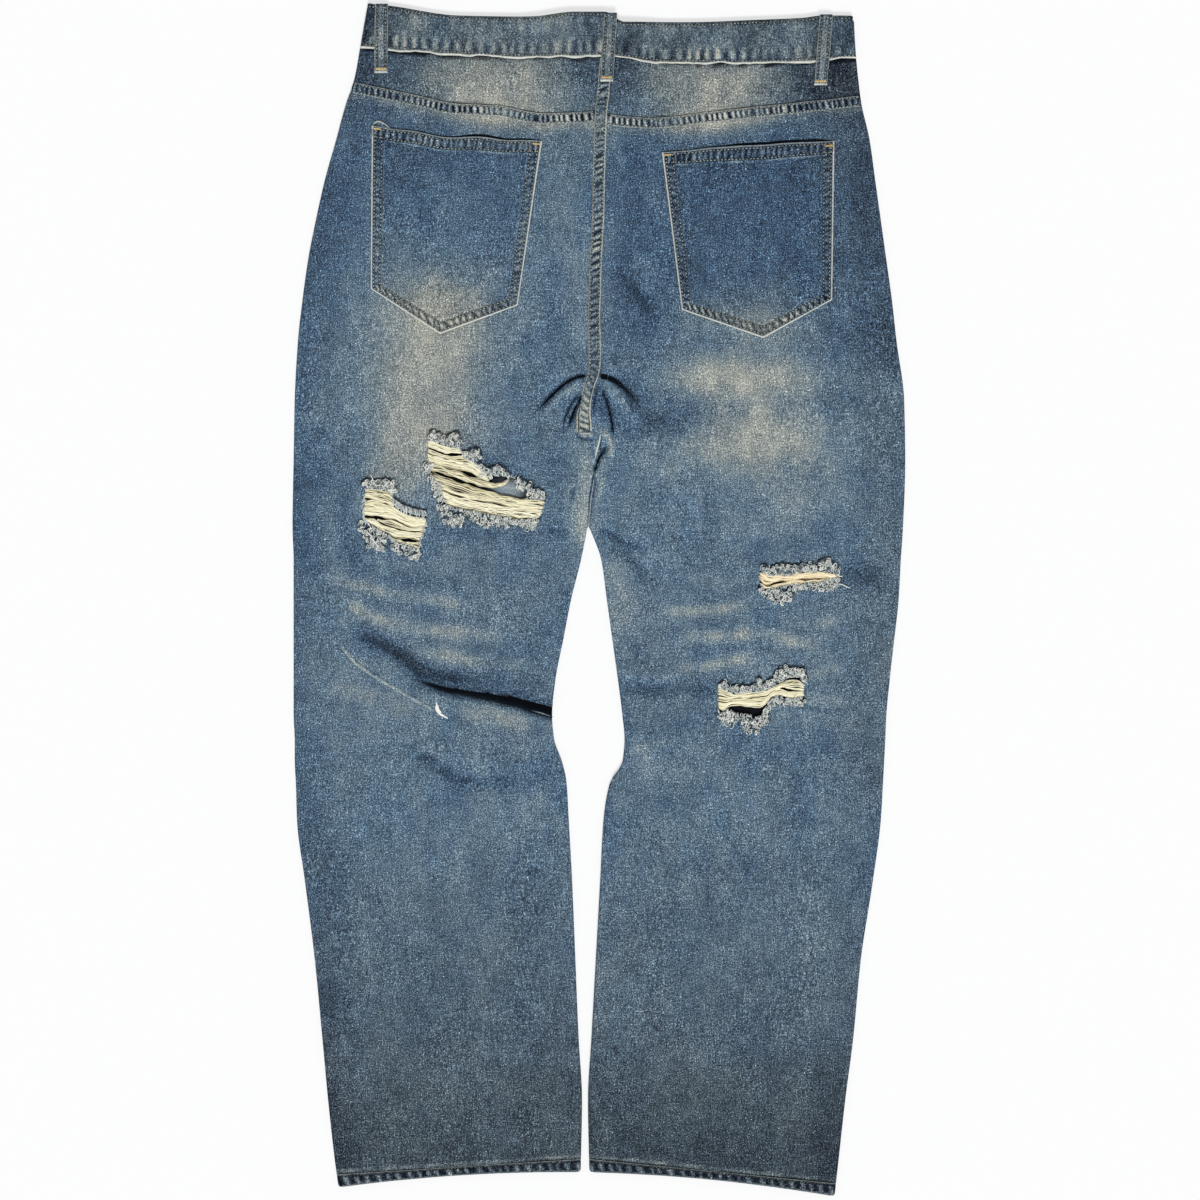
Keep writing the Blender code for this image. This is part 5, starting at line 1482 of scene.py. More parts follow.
# -------------------------------------------------------------- felled seams
def rope(s, offset, period, tilt, seed, sharp=1.0):
    """Roping: 0 in the dark gaps, 1 on the pale bars across a seam."""
    place = s + tilt * offset + 0.30 * period * noise(s, s * 0, period * 1.4, 1, seed)
    wave = (0.5 + 0.5 * np.cos(2 * math.pi * place / period)) ** sharp
    strength = 0.76 + 0.24 * noise(s, offset, period * 2.2, 30, seed + 1)
    return wave * strength


def seam_strip(name, line, half, rise, fade_base, seed, period=7.5, tilt=0.35,
               step=1.0, edge_left=0.7, edge_right=0.35, depth=0.30, wall=0.8,
               z_of=cloth_top, fade_of=None, swell=None, bars=0.9, gap=0.55,
               bar_of=None, curl_of=None):
    """A folded strip along a line; its left is the line's left. gap is how much painted shade lies in the gaps of the
    roping.
    """
    count = int(line.length / step) + 1
    s = np.linspace(0, line.length, count)
    across = np.array([-1, -0.985, -0.94, -0.86, -0.78, -0.69, -0.60, -0.48, -0.25, 0,
                       0.25, 0.48, 0.60, 0.69, 0.78, 0.86, 0.94, 0.985, 1.0])
    drop = np.array([1.0, 0.55, 0.18, 0, 0.08, 0.22, 0.08, 0, 0, 0, 0, 0, 0.08, 0.22,
                     0.08, 0, 0.18, 0.55, 1.0])
    S, A = np.meshgrid(s, across, indexing="ij")
    wide = half if swell is None else half * swell(S / line.length)
    centre_points = line.at(S)
    normal = line.normal(S)
    waver = 0.25 * noise(S, A * 0, 11, 1, seed + 5)
    xy = centre_points + normal * ((A * wide) + waver)[..., None]
    lean = tilt if bar_of is None else bar_of(S)
    ropes = rope(S, A * half * lean, period, 1.0, seed, 1.3)
    middle = smooth((0.66 - np.abs(A)) / 0.14)
    z = z_of(xy[..., 0], xy[..., 1]) + rise * (1 - drop[None])
    if curl_of is not None:
        z = z + curl_of(S, A)
    z = z + depth * middle * (ropes - 0.5) * 2 * (drop[None] < 0.5)
    base = fade_base if fade_of is None else fade_of(xy[..., 0], xy[..., 1])
    strong = 0.75 + 0.45 * noise(S, A * 0, 26, 1, seed + 9)
    fade = base + bars * middle * (ropes - 0.36) * strong + 0.05 * noise(S, A, 5, 0.6, seed + 6)
    fade = fade + 0.26 * np.exp(-(((np.abs(A) - 0.88) / 0.08) ** 2))
    edge = (edge_left * smooth((A - 0.80) / 0.08) + edge_right * smooth((-0.80 - A) / 0.08))
    edge = edge * (0.75 + 0.35 * noise(S, A, 6, 3, seed + 7))
    # painted shade in the gaps between the pale bars
    dark = gap * strong * middle * smooth((0.26 - ropes) / 0.26)
    # painted shade: the thread rows sit in grooves of their own, darkened
    dark = np.maximum(dark, 0.90 * np.exp(-(((np.abs(A) - 0.69) / 0.10) ** 2)))
    # painted shade along the strip's very edge
    dark = np.maximum(dark, 0.8 * (np.abs(A) > 0.99))
    # rows must run to the left of the columns for the face to look up
    P = np.concatenate([xy, z[..., None]], -1).transpose(1, 0, 2)
    pack = pack4(fade, np.clip(dark, 0, 1), np.clip(edge, 0, 1)).transpose(1, 0, 2)
    tone = pack4(np.clip(0.60 + 0.2 * (1 - middle), 0, 1)).transpose(1, 0, 2)
    return shell(name, P, wall, denim, pack, tone)


YOKE_SEAMS = {}
for side, ends in (("left", (-222.0, -6.0)), ("right", (8.5, 233.5))):
    xs = np.linspace(ends[0], ends[1], 40)
    xs = np.array([x for x in xs])
    line = Line(np.stack([xs, yoke_foot(xs) - SEAM_WIDTH / 2 + 0.2], 1))
    YOKE_SEAMS[side] = line

    def seam_fade(x, y, side=side):
        return 0.62 * wear_and_shade_at(x, y, side)[0] + 0.18

    ride(seam_strip("yoke_seam_" + side, line, SEAM_WIDTH / 2, 0.95, 0.36,
                    61 if side == "left" else 71, fade_of=seam_fade, period=5.3,
                    tilt=0.10, edge_left=0.40, edge_right=0.22, bars=1.55, gap=0.78),
         "denim")

# The seat seam, waistband to the point between the legs.
SEAT_POINTS = ((5.5, 487), (3.5, 462), (1.2, 440), (-0.6, 400), (-2.0, 340),
               (-4.4, 290), (-5.2, 250), (-4.9, 215), (-5.8, 204), (-8.4, 196.5),
               (-11.0, 187), (-13.4, 175.5), (-14.6, 164), (-14.2, 152.0))
SEAT = Line(SEAT_POINTS, step=2.0)


def seat_swell(t):
    return 1.0 - 0.12 * smooth((t - 0.80) / 0.06) + 0.38 * smooth((t - 0.90) / 0.09)


def seat_fade(x, y):
    return (0.43 + 0.16 * np.exp(-(((y - 425) / 22) ** 2)) + 0.32 * smooth((205 - y) / 34)
            + 0.05 * noise(x, y, 20, 30, 89))


def seat_bars(s):
    """The roping lies flatter high up and at a slant near the legs."""
    return 0.45 - 1.0 * smooth((s - 262) / 24)


def seat_curl(s, a):
    """The inner edge of the strip stands up a little near its lower end."""
    return 0.9 * smooth((s - 275) / 30) * smooth((a - 0.2) / 0.6) * (np.abs(a) < 0.98)


ride(seam_strip("seat_seam", SEAT, 5.6, 1.05, 0.44, 81, period=6.4,
                edge_left=0.75, edge_right=0.26, fade_of=seat_fade, depth=0.30,
                swell=seat_swell, bars=1.0, gap=0.66, bar_of=seat_bars,
                curl_of=seat_curl), "denim")

# Sharp press lines, where the cloth stands up in a fine pale ridge: points,
# half width, how high, how worn, how bare.
PRESS_LINES = {
    "press_line_knee": (((-234.5, -38.5), (-229.9, -45.4), (-220.2, -56.4), (-201, -70),
                         (-182, -81), (-162.7, -92), (-145, -101.5)), 1.6, 0.62, 0.75, 0.07),
    "press_line_crotch": (((0.9, 150.6), (-1.6, 140), (-4.8, 126)), 0.9, 0.7, 0.95, 1.0),
    "press_line_lap": (((-63, -99.2), (-54, -101.6), (-42.5, -105.0)), 0.6, 0.3, 0.64, 0.1),
    "press_line_seam_end": (((-22.5, 152.4), (-16, 150.2), (-9, 149.9), (-3.6, 151.4)),
                            1.5, 1.5, 0.72, 0.35),
    "leg_joint_upper": (((-12, 148.5), (-10.2, 142), (-7.0, 134), (-5.4, 124), (-5.2, 114)),
                        1.3, 0.1, 0.50, 0.0),
}
for name, (points, half, rise, worn, bare) in PRESS_LINES.items():
    line = Line(points, step=2.0)
    s = np.linspace(0, line.length, max(12, int(line.length / 1.2)))
    across = np.array([-1, -0.6, -0.2, 0.2, 0.6, 1.0])
    S, A = np.meshgrid(s, across, indexing="ij")
    ends = smooth(np.minimum(S, line.length - S) / min(7.0, line.length / 3))
    xy = line.at(S) + line.normal(S) * (A * half * (0.25 + 0.75 * ends)
                                        + 0.25 * noise(S, A * 0, 6, 1, 95))[..., None]
    z = on_back(xy) - 0.02 + rise * ends * np.cos(A * math.pi / 2) ** 0.8
    fade = worn + 0.10 * noise(S, A, 4, 1, 96) - 0.20 * (1 - ends)
    P = np.concatenate([xy, z[..., None]], -1).transpose(1, 0, 2)
    if normals_of(P)[2, 5, 2] < 0:
        P, fade, ends, A = P[::-1], fade[:, ::-1], ends[:, ::-1], A[:, ::-1]
    ride(shell(name, P, 0.5, denim,
               pack4(fade, 0.0, bare * ends * (np.abs(A) < 0.9)).transpose(1, 0, 2),
               pack4(np.full(fade.shape, 0.0)).transpose(1, 0, 2)), "denim")

# Creases pressed sharp, each drawn as a narrow strip of cloth painted dark as
# its shade: points, half width, how dark, and how much of its length it takes
# to open and to close.
CREASE_SHADOWS = {
    "gutter_left_arc": (((-60.5, 167.5), (-51.5, 175.8), (-41.7, 186), (-33.3, 193.4), (-24.9, 198.9),
                         (-17, 201.4), (-12.2, 202)), 1.75, 1.0, 0.46, 0.05),
    "gutter_right_arc": (((-0.8, 201.4), (6, 200.6), (13, 197.6), (20.6, 192), (27.4, 185), (33, 177.6),
                          (39.5, 168)), 2.9, 1.0, 0.05, 0.85),
    "gutter_left_outer": (((-33, 147), (-32.3, 159), (-29.1, 169.5), (-23.9, 179), (-17.5, 187)),
                          0.75, 0.9, 0.45, 0.20),
    "gutter_left_inner": (((-28.4, 155), (-26, 163), (-22.6, 171.5), (-19.6, 178)),
                          1.35, 1.0, 0.40, 0.20),
    "gutter_right_inner": (((0.2, 191.6), (4.4, 182.6), (8.0, 172), (10.6, 160), (12.2, 146)),
                           1.10, 1.0, 0.30, 0.30),
    "gutter_pinch": (((5.4, 136.5), (1.6, 131.6), (-2.0, 124.8), (-4.9, 116), (-5.4, 112.5)),
                     1.25, 1.0, 0.35, 0.12),
    "gutter_leg_joint": (((-5.2, 115.5), (-7.4, 104), (-9.4, 92), (-10.3, 78), (-10.9, 66.5)),
                         0.80, 0.42, 0.10, 0.60),
    "gutter_knee": (((-181, -55.5), (-171, -60.5), (-160, -67.2), (-150, -71.6), (-140, -74.6)),
                    0.75, 0.62, 0.35, 0.20),
}
for name, (points, half, deep, open0, open1) in CREASE_SHADOWS.items():
    line = Line(points, step=1.5)
    s = np.linspace(0, line.length, max(14, int(line.length / 0.9)))
    across = np.array([-1, -0.78, -0.5, -0.2, 0.2, 0.5, 0.78, 1.0])
    S, A = np.meshgrid(s, across, indexing="ij")
    t = S / line.length
    wide = half * (0.22 + 0.78 * smooth(t / open0) * smooth((1 - t) / open1))
    wide = wide * (1 + 0.16 * noise(S, A * 0, 5, 1, 97))
    xy = line.at(S) + line.normal(S) * (A * wide + 0.16 * noise(S, A * 0, 7, 1, 98))[..., None]
    z = on_back(xy) + 0.14 + 0.10 * np.abs(A) ** 2 - 0.3 * (np.abs(A) > 0.9)
    dark = deep * smooth((1.02 - np.abs(A)) / 0.42) * (0.35 + 0.65 * smooth(t / (open0 * 0.6))
                                                     * smooth((1 - t) / (open1 * 0.6)))
    fade = 0.34 + 0.05 * noise(S, A, 4, 1, 99)
    P = np.concatenate([xy, z[..., None]], -1).transpose(1, 0, 2)
    if normals_of(P)[2, 5, 2] < 0:
        P, fade, dark = P[::-1], fade[:, ::-1], dark[:, ::-1]
    ride(shell(name, P, 0.4, denim,
               pack4(fade, np.clip(dark, 0, 1), 0.0).transpose(1, 0, 2),
               pack4(np.full(fade.shape, 0.1)).transpose(1, 0, 2)), "denim")

# --------------------------------------------------------------- waistband
BAND_LEVELS = np.array([0, 0.012, 0.035, 0.06, 0.09, 0.13, 0.18, 0.24, 0.31,
                        0.40, 0.50, 0.60, 0.70, 0.78, 0.85, 0.90, 0.935, 0.96,
                        0.98, 0.992, 1.0])
BAND_DROP = np.array([0.9, 0.35, 0.0, 0.10, 0.28, 0.12, 0, 0, 0, 0, 0, 0, 0,
                      0, 0.06, 0.16, 0.26, 0.12, 0.1, 0.45, 1.0])


def band_rows():
    """x, y, z and the outward direction of each place round the waist."""
    level = BAND_LEVELS[:, None]
    columns = []

    def back_y(x):
        return lerp(band_foot(x) + GAP / 2, band_head(x), level)

    def front_y(x):
        low = band_foot(x) + GAP / 2
        high = lerp(band_head(x), 526.0, smooth((150 - np.abs(x)) / 60))
        return lerp(low, high, level) - front_dip(x)

    def wide(x):
        return np.full((len(BAND_LEVELS), 1), 1.0) * x

    for x in np.linspace(3, -185, 64):
        columns.append((wide(x), front_y(x), wide(BAND_FLOOR), wide(0), wide(-1), x))
    for edge, way, degrees in ((out_l, -1, np.linspace(-90, 90, 11)),
                               (out_r, 1, np.linspace(90, -90, 11))):
        at = -214.0 if way < 0 else 229.0
        y = back_y(at)
        x_edge = edge(y)
        radius = (BAND_TOP_FACE - BAND_FLOOR) / 2
        for d in degrees:
            a = math.radians(d)
            columns.append((x_edge - way * radius * (1 - math.cos(a)), y,
                            wide(BAND_FLOOR + radius + radius * math.sin(a)),
                            wide(way * math.cos(a)), wide(math.sin(a)), at))
        if way < 0:
            for x in np.linspace(-203, 218, 220):
                columns.append((wide(x), back_y(x),
                                wide(BAND_TOP_FACE + band_lump(x)), wide(0), wide(1), x))
    for x in np.linspace(214, -LAP_LENGTH + 2, 86):
        step = smooth((20 - x) / 13)
        columns.append((wide(x), front_y(x),
                        wide(BAND_FLOOR + step * (BAND_WALL + GAP + 0.05)),
                        wide(0), wide(-1), x))
    x, y, z, nx, nz = (np.concatenate([c[k] for c in columns], 1) for k in range(5))
    ref = np.array([c[5] for c in columns])
    return x, y, z, nx, nz, ref


x, y, z, nx, nz, ref = band_rows()
outside = (nz > 0.6).astype(float)
run = np.cumsum(np.r_[0, np.hypot(np.diff(x[10]), np.diff(z[10]))])
S = np.broadcast_to(run, x.shape)
L = np.broadcast_to(BAND_LEVELS[:, None], x.shape)
ropes = rope(S, L * 40, 9.8, 0.02, 101, 1.2)
ropes_top = rope(S, L * 40, 12.5, 0.04, 111)
low_zone = smooth((L - 0.10) / 0.04) * smooth((0.42 - L) / 0.16)
top_zone = smooth((0.955 - L) / 0.03) * smooth((L - 0.50) / 0.32)
strong = 0.65 + 0.55 * noise(S, L * 0, 42, 1, 117)
out = (0.34 * low_zone * (ropes - 0.5) + 0.22 * top_zone * (ropes_top - 0.5)
       + 0.35 * noise(S, L, 38, 0.6, 103) * smooth(L / 0.2) * smooth((1 - L) / 0.2))
out = out - BAND_DROP[:, None]
# the foot's rolled edge wavers
foot_wave = 1.15 * noise(S, L * 0, 12, 1, 104) + 0.45 * noise(S, L * 0, 5, 1, 114)
P = np.stack([x + nx * out, y + foot_wave * smooth((0.10 - L) / 0.10), z + nz * out], -1)
# the two upper corners are rounded
for way, radius in ((-1, 4.5), (1, 6.0)):
    cx = (P[..., 0] * way).max() - radius
    cy = float(band_head(-214.0 if way < 0 else 229.0)) - radius
    dx, dy = P[..., 0] * way - cx, P[..., 1] - cy
    inner = (dx > 0) & (dy > 0)
    share = np.maximum(dx, dy) / np.maximum(np.hypot(dx, dy), 1e-6)
    P[..., 0] = np.where(inner, way * (cx + dx * share), P[..., 0])
    P[..., 1] = np.where(inner, cy + dy * share, P[..., 1])
left_half = smooth((8 - x) / 8)
fade = lerp(0.41, 0.43, left_half) * outside + 0.42 * (1 - outside)
fade = fade + 0.13 * noise(S, L, 17, 0.5, 105) + 0.10 * noise(S, L, 6, 0.33, 106)
fade = fade + 1.05 * low_zone * (ropes - 0.34) * strong
fade = fade + 0.22 * top_zone * (ropes_top - 0.46) + 0.10 * noise(S, L * 40, 19, 15, 119)
fade = fade + 0.16 * np.exp(-(((x + 45) / 34) ** 2)) * outside + 0.10 * np.exp(-(((x + 130) / 40) ** 2)) * outside
fade = fade + 0.12 * np.exp(-(((x - 90) / 44) ** 2)) * outside
fade = fade - 0.16 * smooth((np.abs(x - 6) - 170) / 30) * outside
fade = fade - 0.12 * np.exp(-(((x - 26) / 12) ** 2)) * outside
fade = fade - 0.10 * np.exp(-(((L - 0.52) / 0.14) ** 2)) * outside
edge = 1.15 * smooth((0.044 - L) / 0.012)
edge = edge * (0.92 + 0.2 * noise(S, L, 8, 1, 107))
# painted shade in the gaps of the roping and in the two stitch grooves, a painted shadow along the foot's rolled edge,
# and painted darker along the top edge where the band turns over
dark = 0.36 * low_zone * smooth((0.24 - ropes) / 0.24) + 0.85 * smooth((0.010 - L) / 0.006)
dark = dark + 0.95 * np.exp(-(((L - 0.075) / 0.020) ** 2)) + 0.90 * np.exp(-(((L - 0.935) / 0.026) ** 2))
dark = dark + 0.50 * smooth((L - 0.965) / 0.02)
beige = 0.80 + 0.25 * noise(S, L, 22, 0.7, 108)
beige = beige + 0.2 * smooth((L - 0.95) / 0.03)
obj = shell("waistband_cloth", P, BAND_WALL - 0.05, denim_band,
            pack4(fade, np.clip(dark, 0, 1), np.clip(edge, 0, 1)), pack4(np.clip(beige, 0, 1)))
ride(obj, "denim_waist", "waistband")


# -------------------------------------------------------------------- hems
def hem_piece(hem):
    side = hem.side
    levels = np.array([-0.10, -0.04, 0.0, 0.03, 0.08, 0.16, 0.26, 0.38, 0.50,
                       0.62, 0.72, 0.80, 0.87, 0.93, 0.975, 1.0, 1.0])
    inset = np.array([2.0, 0.8, 0.30, 0.05, 0, 0, 0, 0, 0, 0, 0.0, 0.12, 0.22,
                      0.05, 0.05, 0.4, 1.1])
    rise = np.array([0.5, 0.02, 0.0, 0.03, 0.08, 0.16, 0.26, 0.38, 0.50, 0.62,
                     0.72, 0.80, 0.87, 0.93, 0.975, 1.0, 1.0])
    count_top, count_turn = 96, 9
    lines = []
    for lv, cut_in, up in zip(levels, inset, rise):
        level = min(max(up, 0), 1)
        start = float(outer_edge(side, hem.y_out + HEM_DEPTH))
        end = float(inner_edge(side, hem.y_in + HEM_DEPTH))

        def height(x, level=level):
            t = (x - start) / (end - start)
            yy = lerp(hem.y_out, hem.y_in, t)
            yy = yy + hem.bow * 4 * t * (1 - t) * (1 - level)
            return yy + level * (HEM_DEPTH - GAP / 2)

        x_out = float(outer_edge(side, hem.y_out + level * HEM_DEPTH))
        x_in = float(inner_edge(side, hem.y_in + level * HEM_DEPTH))
        # the corners of the mouth are rounded off
        corner = 2.6 * (1 - math.sqrt(max(0.0, 1 - (1 - min(level / 0.22, 1.0)) ** 2)))
        low, high = min(x_out, x_in) + cut_in + corner, max(x_out, x_in) - cut_in - corner
        face = HEM_FACE - cut_in
        base = min(cut_in, 0.9)
        radius = (face - base) / 2
        mid = base + radius
        xs, zs, part = [], [], []
        for x in np.linspace(low + radius, high - radius, count_top):
            xs.append(x), zs.append(face), part.append(1)
        for d in np.linspace(90, -90, count_turn + 2)[1:-1]:
            a = math.radians(d)
            xs.append(high - radius + radius * math.cos(a))
            zs.append(mid + radius * math.sin(a)), part.append(0)
        for x in np.linspace(high - radius, low + radius, count_top):
            xs.append(x), zs.append(base), part.append(-1)
        for d in np.linspace(-90, 90, count_turn + 2)[1:-1]:
            a = math.radians(d)
            xs.append(low + radius - radius * math.cos(a))
            zs.append(mid + radius * math.sin(a)), part.append(0)
        xs.append(xs[0]), zs.append(zs[0]), part.append(part[0])
        xs, zs = np.array(xs), np.array(zs)
        lines.append((xs, height(xs), zs, np.array(part)))
    x, y, z, part = (np.stack([l[k] for l in lines]) for k in range(4))
    # a soft wave, as the leg's mouth doesn't lie quite flat
    wave = 0.5 * noise(x, y * 0, 34, 1, 131) * (part > 0)
    L = np.broadcast_to(rise[:, None], x.shape)
    S = np.broadcast_to(np.cumsum(np.r_[0, np.hypot(np.diff(x[6]), np.diff(z[6]))]), x.shape)
    ropes = rope(S, L * 12, 9.0, 0.26, 133 if side == "left" else 143, 2.3)
    zone = smooth((L - 0.02) / 0.10) * smooth((0.80 - L) / 0.08)
    z = z + wave + (0.34 * zone * (ropes - 0.5)) * (part > 0) * (rise[:, None] > 0.01)
    fade = (0.12 if side == "left" else 0.09) + 0.92 * zone * (ropes - 0.22)
    fade = fade + 0.22 * smooth((0.12 - L) / 0.10) + 0.34 * smooth((L - 0.92) / 0.04)
    fade = fade + 0.07 * noise(S, L, 7, 0.5, 135)
    edge = 0.40 * smooth((L - 0.94) / 0.04) + 0.14 * smooth((0.05 - L) / 0.04)
    # painted shade in the stitch groove and in the gaps of the roping, and on the rows turned under below the hem
    dark = 0.90 * np.exp(-(((L - 0.83) / 0.075) ** 2)) + 0.60 * zone * smooth((0.24 - ropes) / 0.22)
    dark = np.where((levels[:, None] < -0.02), 0.6, dark)
    P = np.stack([x, y + levels.clip(-1, 0)[:, None] * 0 , z], -1)
    P[0, :, 1] += 1.6
    beige = 0.66 + 0.55 * ropes * zone + 0.5 * smooth((L - 0.90) / 0.05) + 0.4 * smooth((0.12 - L) / 0.08)
    beige = np.clip(beige, 0, 1)
    obj = shell("hem_" + side + "_cloth", P, 0.9, denim,
                pack4(fade, np.clip(dark, 0, 1), edge), pack4(beige), closed=True)
    return obj, (x, y, z, rise)


HEM_GRIDS = {}
for hem in HEMS:
    obj, HEM_GRIDS[hem.side] = hem_piece(hem)
    ride(obj, "denim_trim", "hem_" + hem.side)

# ------------------------------------------------------------- back pockets
def border_steps(length, fine, coarse, margin):
    """Places from 0 to length, fine inside a margin at both ends. The argument fine is not used; the fine places near
    the ends are fixed.
    """
    head = [0, 0.35, 0.8, 1.6, 2.3, 3.0, 3.8, 5.0, 6.3, 7.6, 8.6, 9.4, 10.2, 11.6]
    middle = np.linspace(margin, length - margin, max(3, int((length - 2 * margin) / coarse)))
    return np.unique(np.concatenate([head, middle, length - np.array(head)]))


def pocket_place(p, u, v):
    left_x, left_y = lerp(p.tlx, p.blx, v), lerp(p.tly, p.bly, v)
    right_x, right_y = lerp(p.trx, p.brx, v), lerp(p.try_, p.bry, v)
    tip = (p.tipx - p.blx) / (p.brx - p.blx)
    bulge = np.where(u < tip, u / tip, (1 - u) / (1 - tip))
    drop = lerp(p.bly, p.bry, tip) - p.tipy
    x, y = lerp(left_x, right_x, u), lerp(left_y, right_y, u)
    # the mouth sags and wavers a little
    if p.side == "left":
        sag = (4.4 * np.exp(-(((u - 0.43) / 0.16) ** 2)) + 2.0 * np.exp(-(((u - 0.78) / 0.10) ** 2))
               + 1.2 * np.exp(-(((u - 0.14) / 0.09) ** 2)))
    else:
        sag = -1.7 * np.sin(np.pi * np.clip(u * 0.8, 0, 1)) + 0.5 * noise(u * 150, u * 0, 22, 1, 240)
    sag = sag * (1 - v) ** 7
    return x, y - v * bulge * drop - sag


POCKET_SIZE = {}
for p in POCKETS:
    W = math.hypot(p.trx - p.tlx, p.try_ - p.tly)
    H = math.hypot(p.blx - p.tlx, p.bly - p.tly)
    POCKET_SIZE[p.side] = (W, H)
    us = border_steps(W, 1, 1.9, 13.5) / W
    vs = border_steps(H, 1, 1.7, 13.5) / H
    V, U = np.meshgrid(vs[::-1], us, indexing="ij")
    x, y = pocket_place(p, U, V)
    dl, dr, dt, db = U * W, (1 - U) * W, V * H, (1 - V) * H
    db = db * 1.12
    seed = 201 if p.side == "left" else 221
    side_d = np.minimum(dl, dr)
    border = np.minimum(side_d, db)
    # along each edge the allowance is folded under, and roped by its stitches
    band = smooth((border - 2.6) / 0.8) * smooth((10.2 - border) / 1.0) * (dt > 11)
    top_band = smooth((dt - 2.2) / 0.8) * smooth((10.4 - dt) / 1.0)
    s_edge = np.where(side_d < db, y, x)
    ropes = rope(s_edge, border, 6.0, np.where(side_d < db, 0.20, 0.45), seed, 1.2)
    ropes_top = rope(x, dt, 5.6, 0.1, seed + 3, 1.1)
    grooves = (np.exp(-(((border - 3.1) / 0.95) ** 2)) + np.exp(-(((border - 9.4) / 0.95) ** 2))) * (dt > 1)
    groove_top = np.exp(-(((dt - 2.4) / 0.95) ** 2)) + np.exp(-(((dt - 9.8) / 0.95) ** 2))
    groove_top = groove_top * (side_d > 2.5)
    z = cloth_top(x, y) + GAP + POCKET_WALL
    gape = np.exp(-((dt / 7) ** 2)) * np.sin(np.pi * np.clip(U, 0, 1)) ** 0.8
    z = z + 1.1 * gape * (0.8 + 0.4 * noise(x, y * 0, 26, 1, seed + 9))
    z = z + 0.28 * (smooth((10.5 - border) / 2) + smooth((11.5 - dt) / 2))
    z = z + 0.26 * band * (ropes - 0.5) + 0.28 * top_band * (ropes_top - 0.5)
    z = z - 0.16 * np.clip(grooves + groove_top, 0, 1)
    if p.side == "left":
        # the upper outer corner stands away from the seat
        z = z + 1.2 * np.exp(-((dl / 9) ** 2 + (dt / 8) ** 2))
    z = z + 0.35 * noise(x, y, 30, 44, seed + 8)
    rim = np.minimum(border, dt)
    z = z - 0.7 * smooth((0.5 - rim) / 0.5)
    fade, dark, edge, beige = wear_and_shade_at(x, y, p.side)
    base_shift = -0.05 if p.side == "left" else -0.07
    fade = fade + base_shift
    fade = fade - 0.09 * np.exp(-(((border - 12.5) / 2.5) ** 2)) * (dt > 9)
    fade = fade - 0.08 * np.exp(-(((dt - 13) / 3) ** 2))
    tip_d = np.hypot((x - p.tipx) / 44, (y - p.tipy - 22) / 26)
    glow = np.exp(-tip_d ** 2)
    fade = fade + (0.06 if p.side == "left" else 0.07) * glow
    beige = np.clip(beige + 0.35 * glow, 0, 1)
    along_foot = (db < side_d) * 1.0
    strong = 0.75 + 0.5 * noise(x, y, 30, 30, seed + 17)
    fade = fade + 1.45 * band * (ropes - 0.36) * strong * lerp(0.50, 1.0, along_foot)
    fade = fade + 1.30 * top_band * (ropes_top - 0.38) * strong
    fade = fade + 0.12 * smooth((2.2 - dt) / 1.0) * (dt < 3)
    # worn ridges just inside the inner thread row
    fade = fade + 0.30 * np.exp(-(((dt - 11.7) / 0.9) ** 2)) * (side_d > 10) * (1 + noise(x, y, 12, 9, seed + 21))
    fade = fade + 0.14 * np.exp(-(((border - 11.4) / 1.3) ** 2)) * (dt > 12) * (1 + noise(x, y, 9, 9, seed + 19))
    edge = 1.15 * smooth((1.75 - border) / 0.5) + 0.50 * smooth((1.2 - dt) / 0.6)
    edge = np.clip(edge * (0.92 + 0.25 * noise(x, y, 6, 6, seed + 11)), 0, 1)
    # painted shade on the very rim, in the gaps of the roping and in the stitch grooves
    dark = 0.5 * smooth((0.2 - rim) / 0.2) + 0.40 * top_band * smooth((0.26 - ropes_top) / 0.26)
    dark = dark + 0.66 * band * smooth((0.26 - ropes) / 0.26) * lerp(0.40, 1.0, along_foot)
    dark = np.maximum(dark, 0.90 * np.clip(grooves * (border < dt + 8) + groove_top, 0, 1))
    beige = np.clip(beige + 0.25 * np.clip(band + top_band, 0, 1), 0, 1)
    P = np.stack([x, y, z], -1)
    obj = shell("pocket_" + p.side + "_cloth", P, POCKET_WALL, denim,
                pack4(fade, np.clip(dark, 0, 1), edge), pack4(beige))
    ride(obj, "denim_trim", "pocket_" + p.side)

    # a strip painted with shadow: the shaded inside of the mouth, seen above the pocket's edge
    count = 90
    u = np.linspace(0.03, 0.985, count)
    tx, ty = pocket_place(p, u, np.zeros(count))
    if p.side == "left":
        open_by = 0.6 + 1.9 * np.exp(-(((u - 0.66) / 0.18) ** 2)) + 0.8 * np.exp(-(((u - 0.90) / 0.07) ** 2))
    else:
        open_by = 0.7 + 2.0 * smooth((u - 0.26) / 0.25) * smooth((1.0 - u) / 0.12)
    open_by = open_by * smooth(np.minimum(u, 1 - u) / 0.05)
    rows = np.array([-5.0, -2.0, 0.0, 0.55, 0.9, 1.0])
    R, UU = np.meshgrid(rows, u, indexing="ij")
    gx = np.broadcast_to(tx, R.shape)
    gy = ty[None] + np.where(R < 0, R, R * open_by[None])
    gz = cloth_top(gx, gy) + 0.28 - 0.25 * (R > 0.95)
    ride(shell("mouth_" + p.side, np.stack([gx, gy, gz], -1), 0.25, denim,
               pack4(np.full(R.shape, 0.1), np.where(R > 0.95, 0.6, 0.93)), pack4(np.zeros(R.shape))),
         "denim_trim")

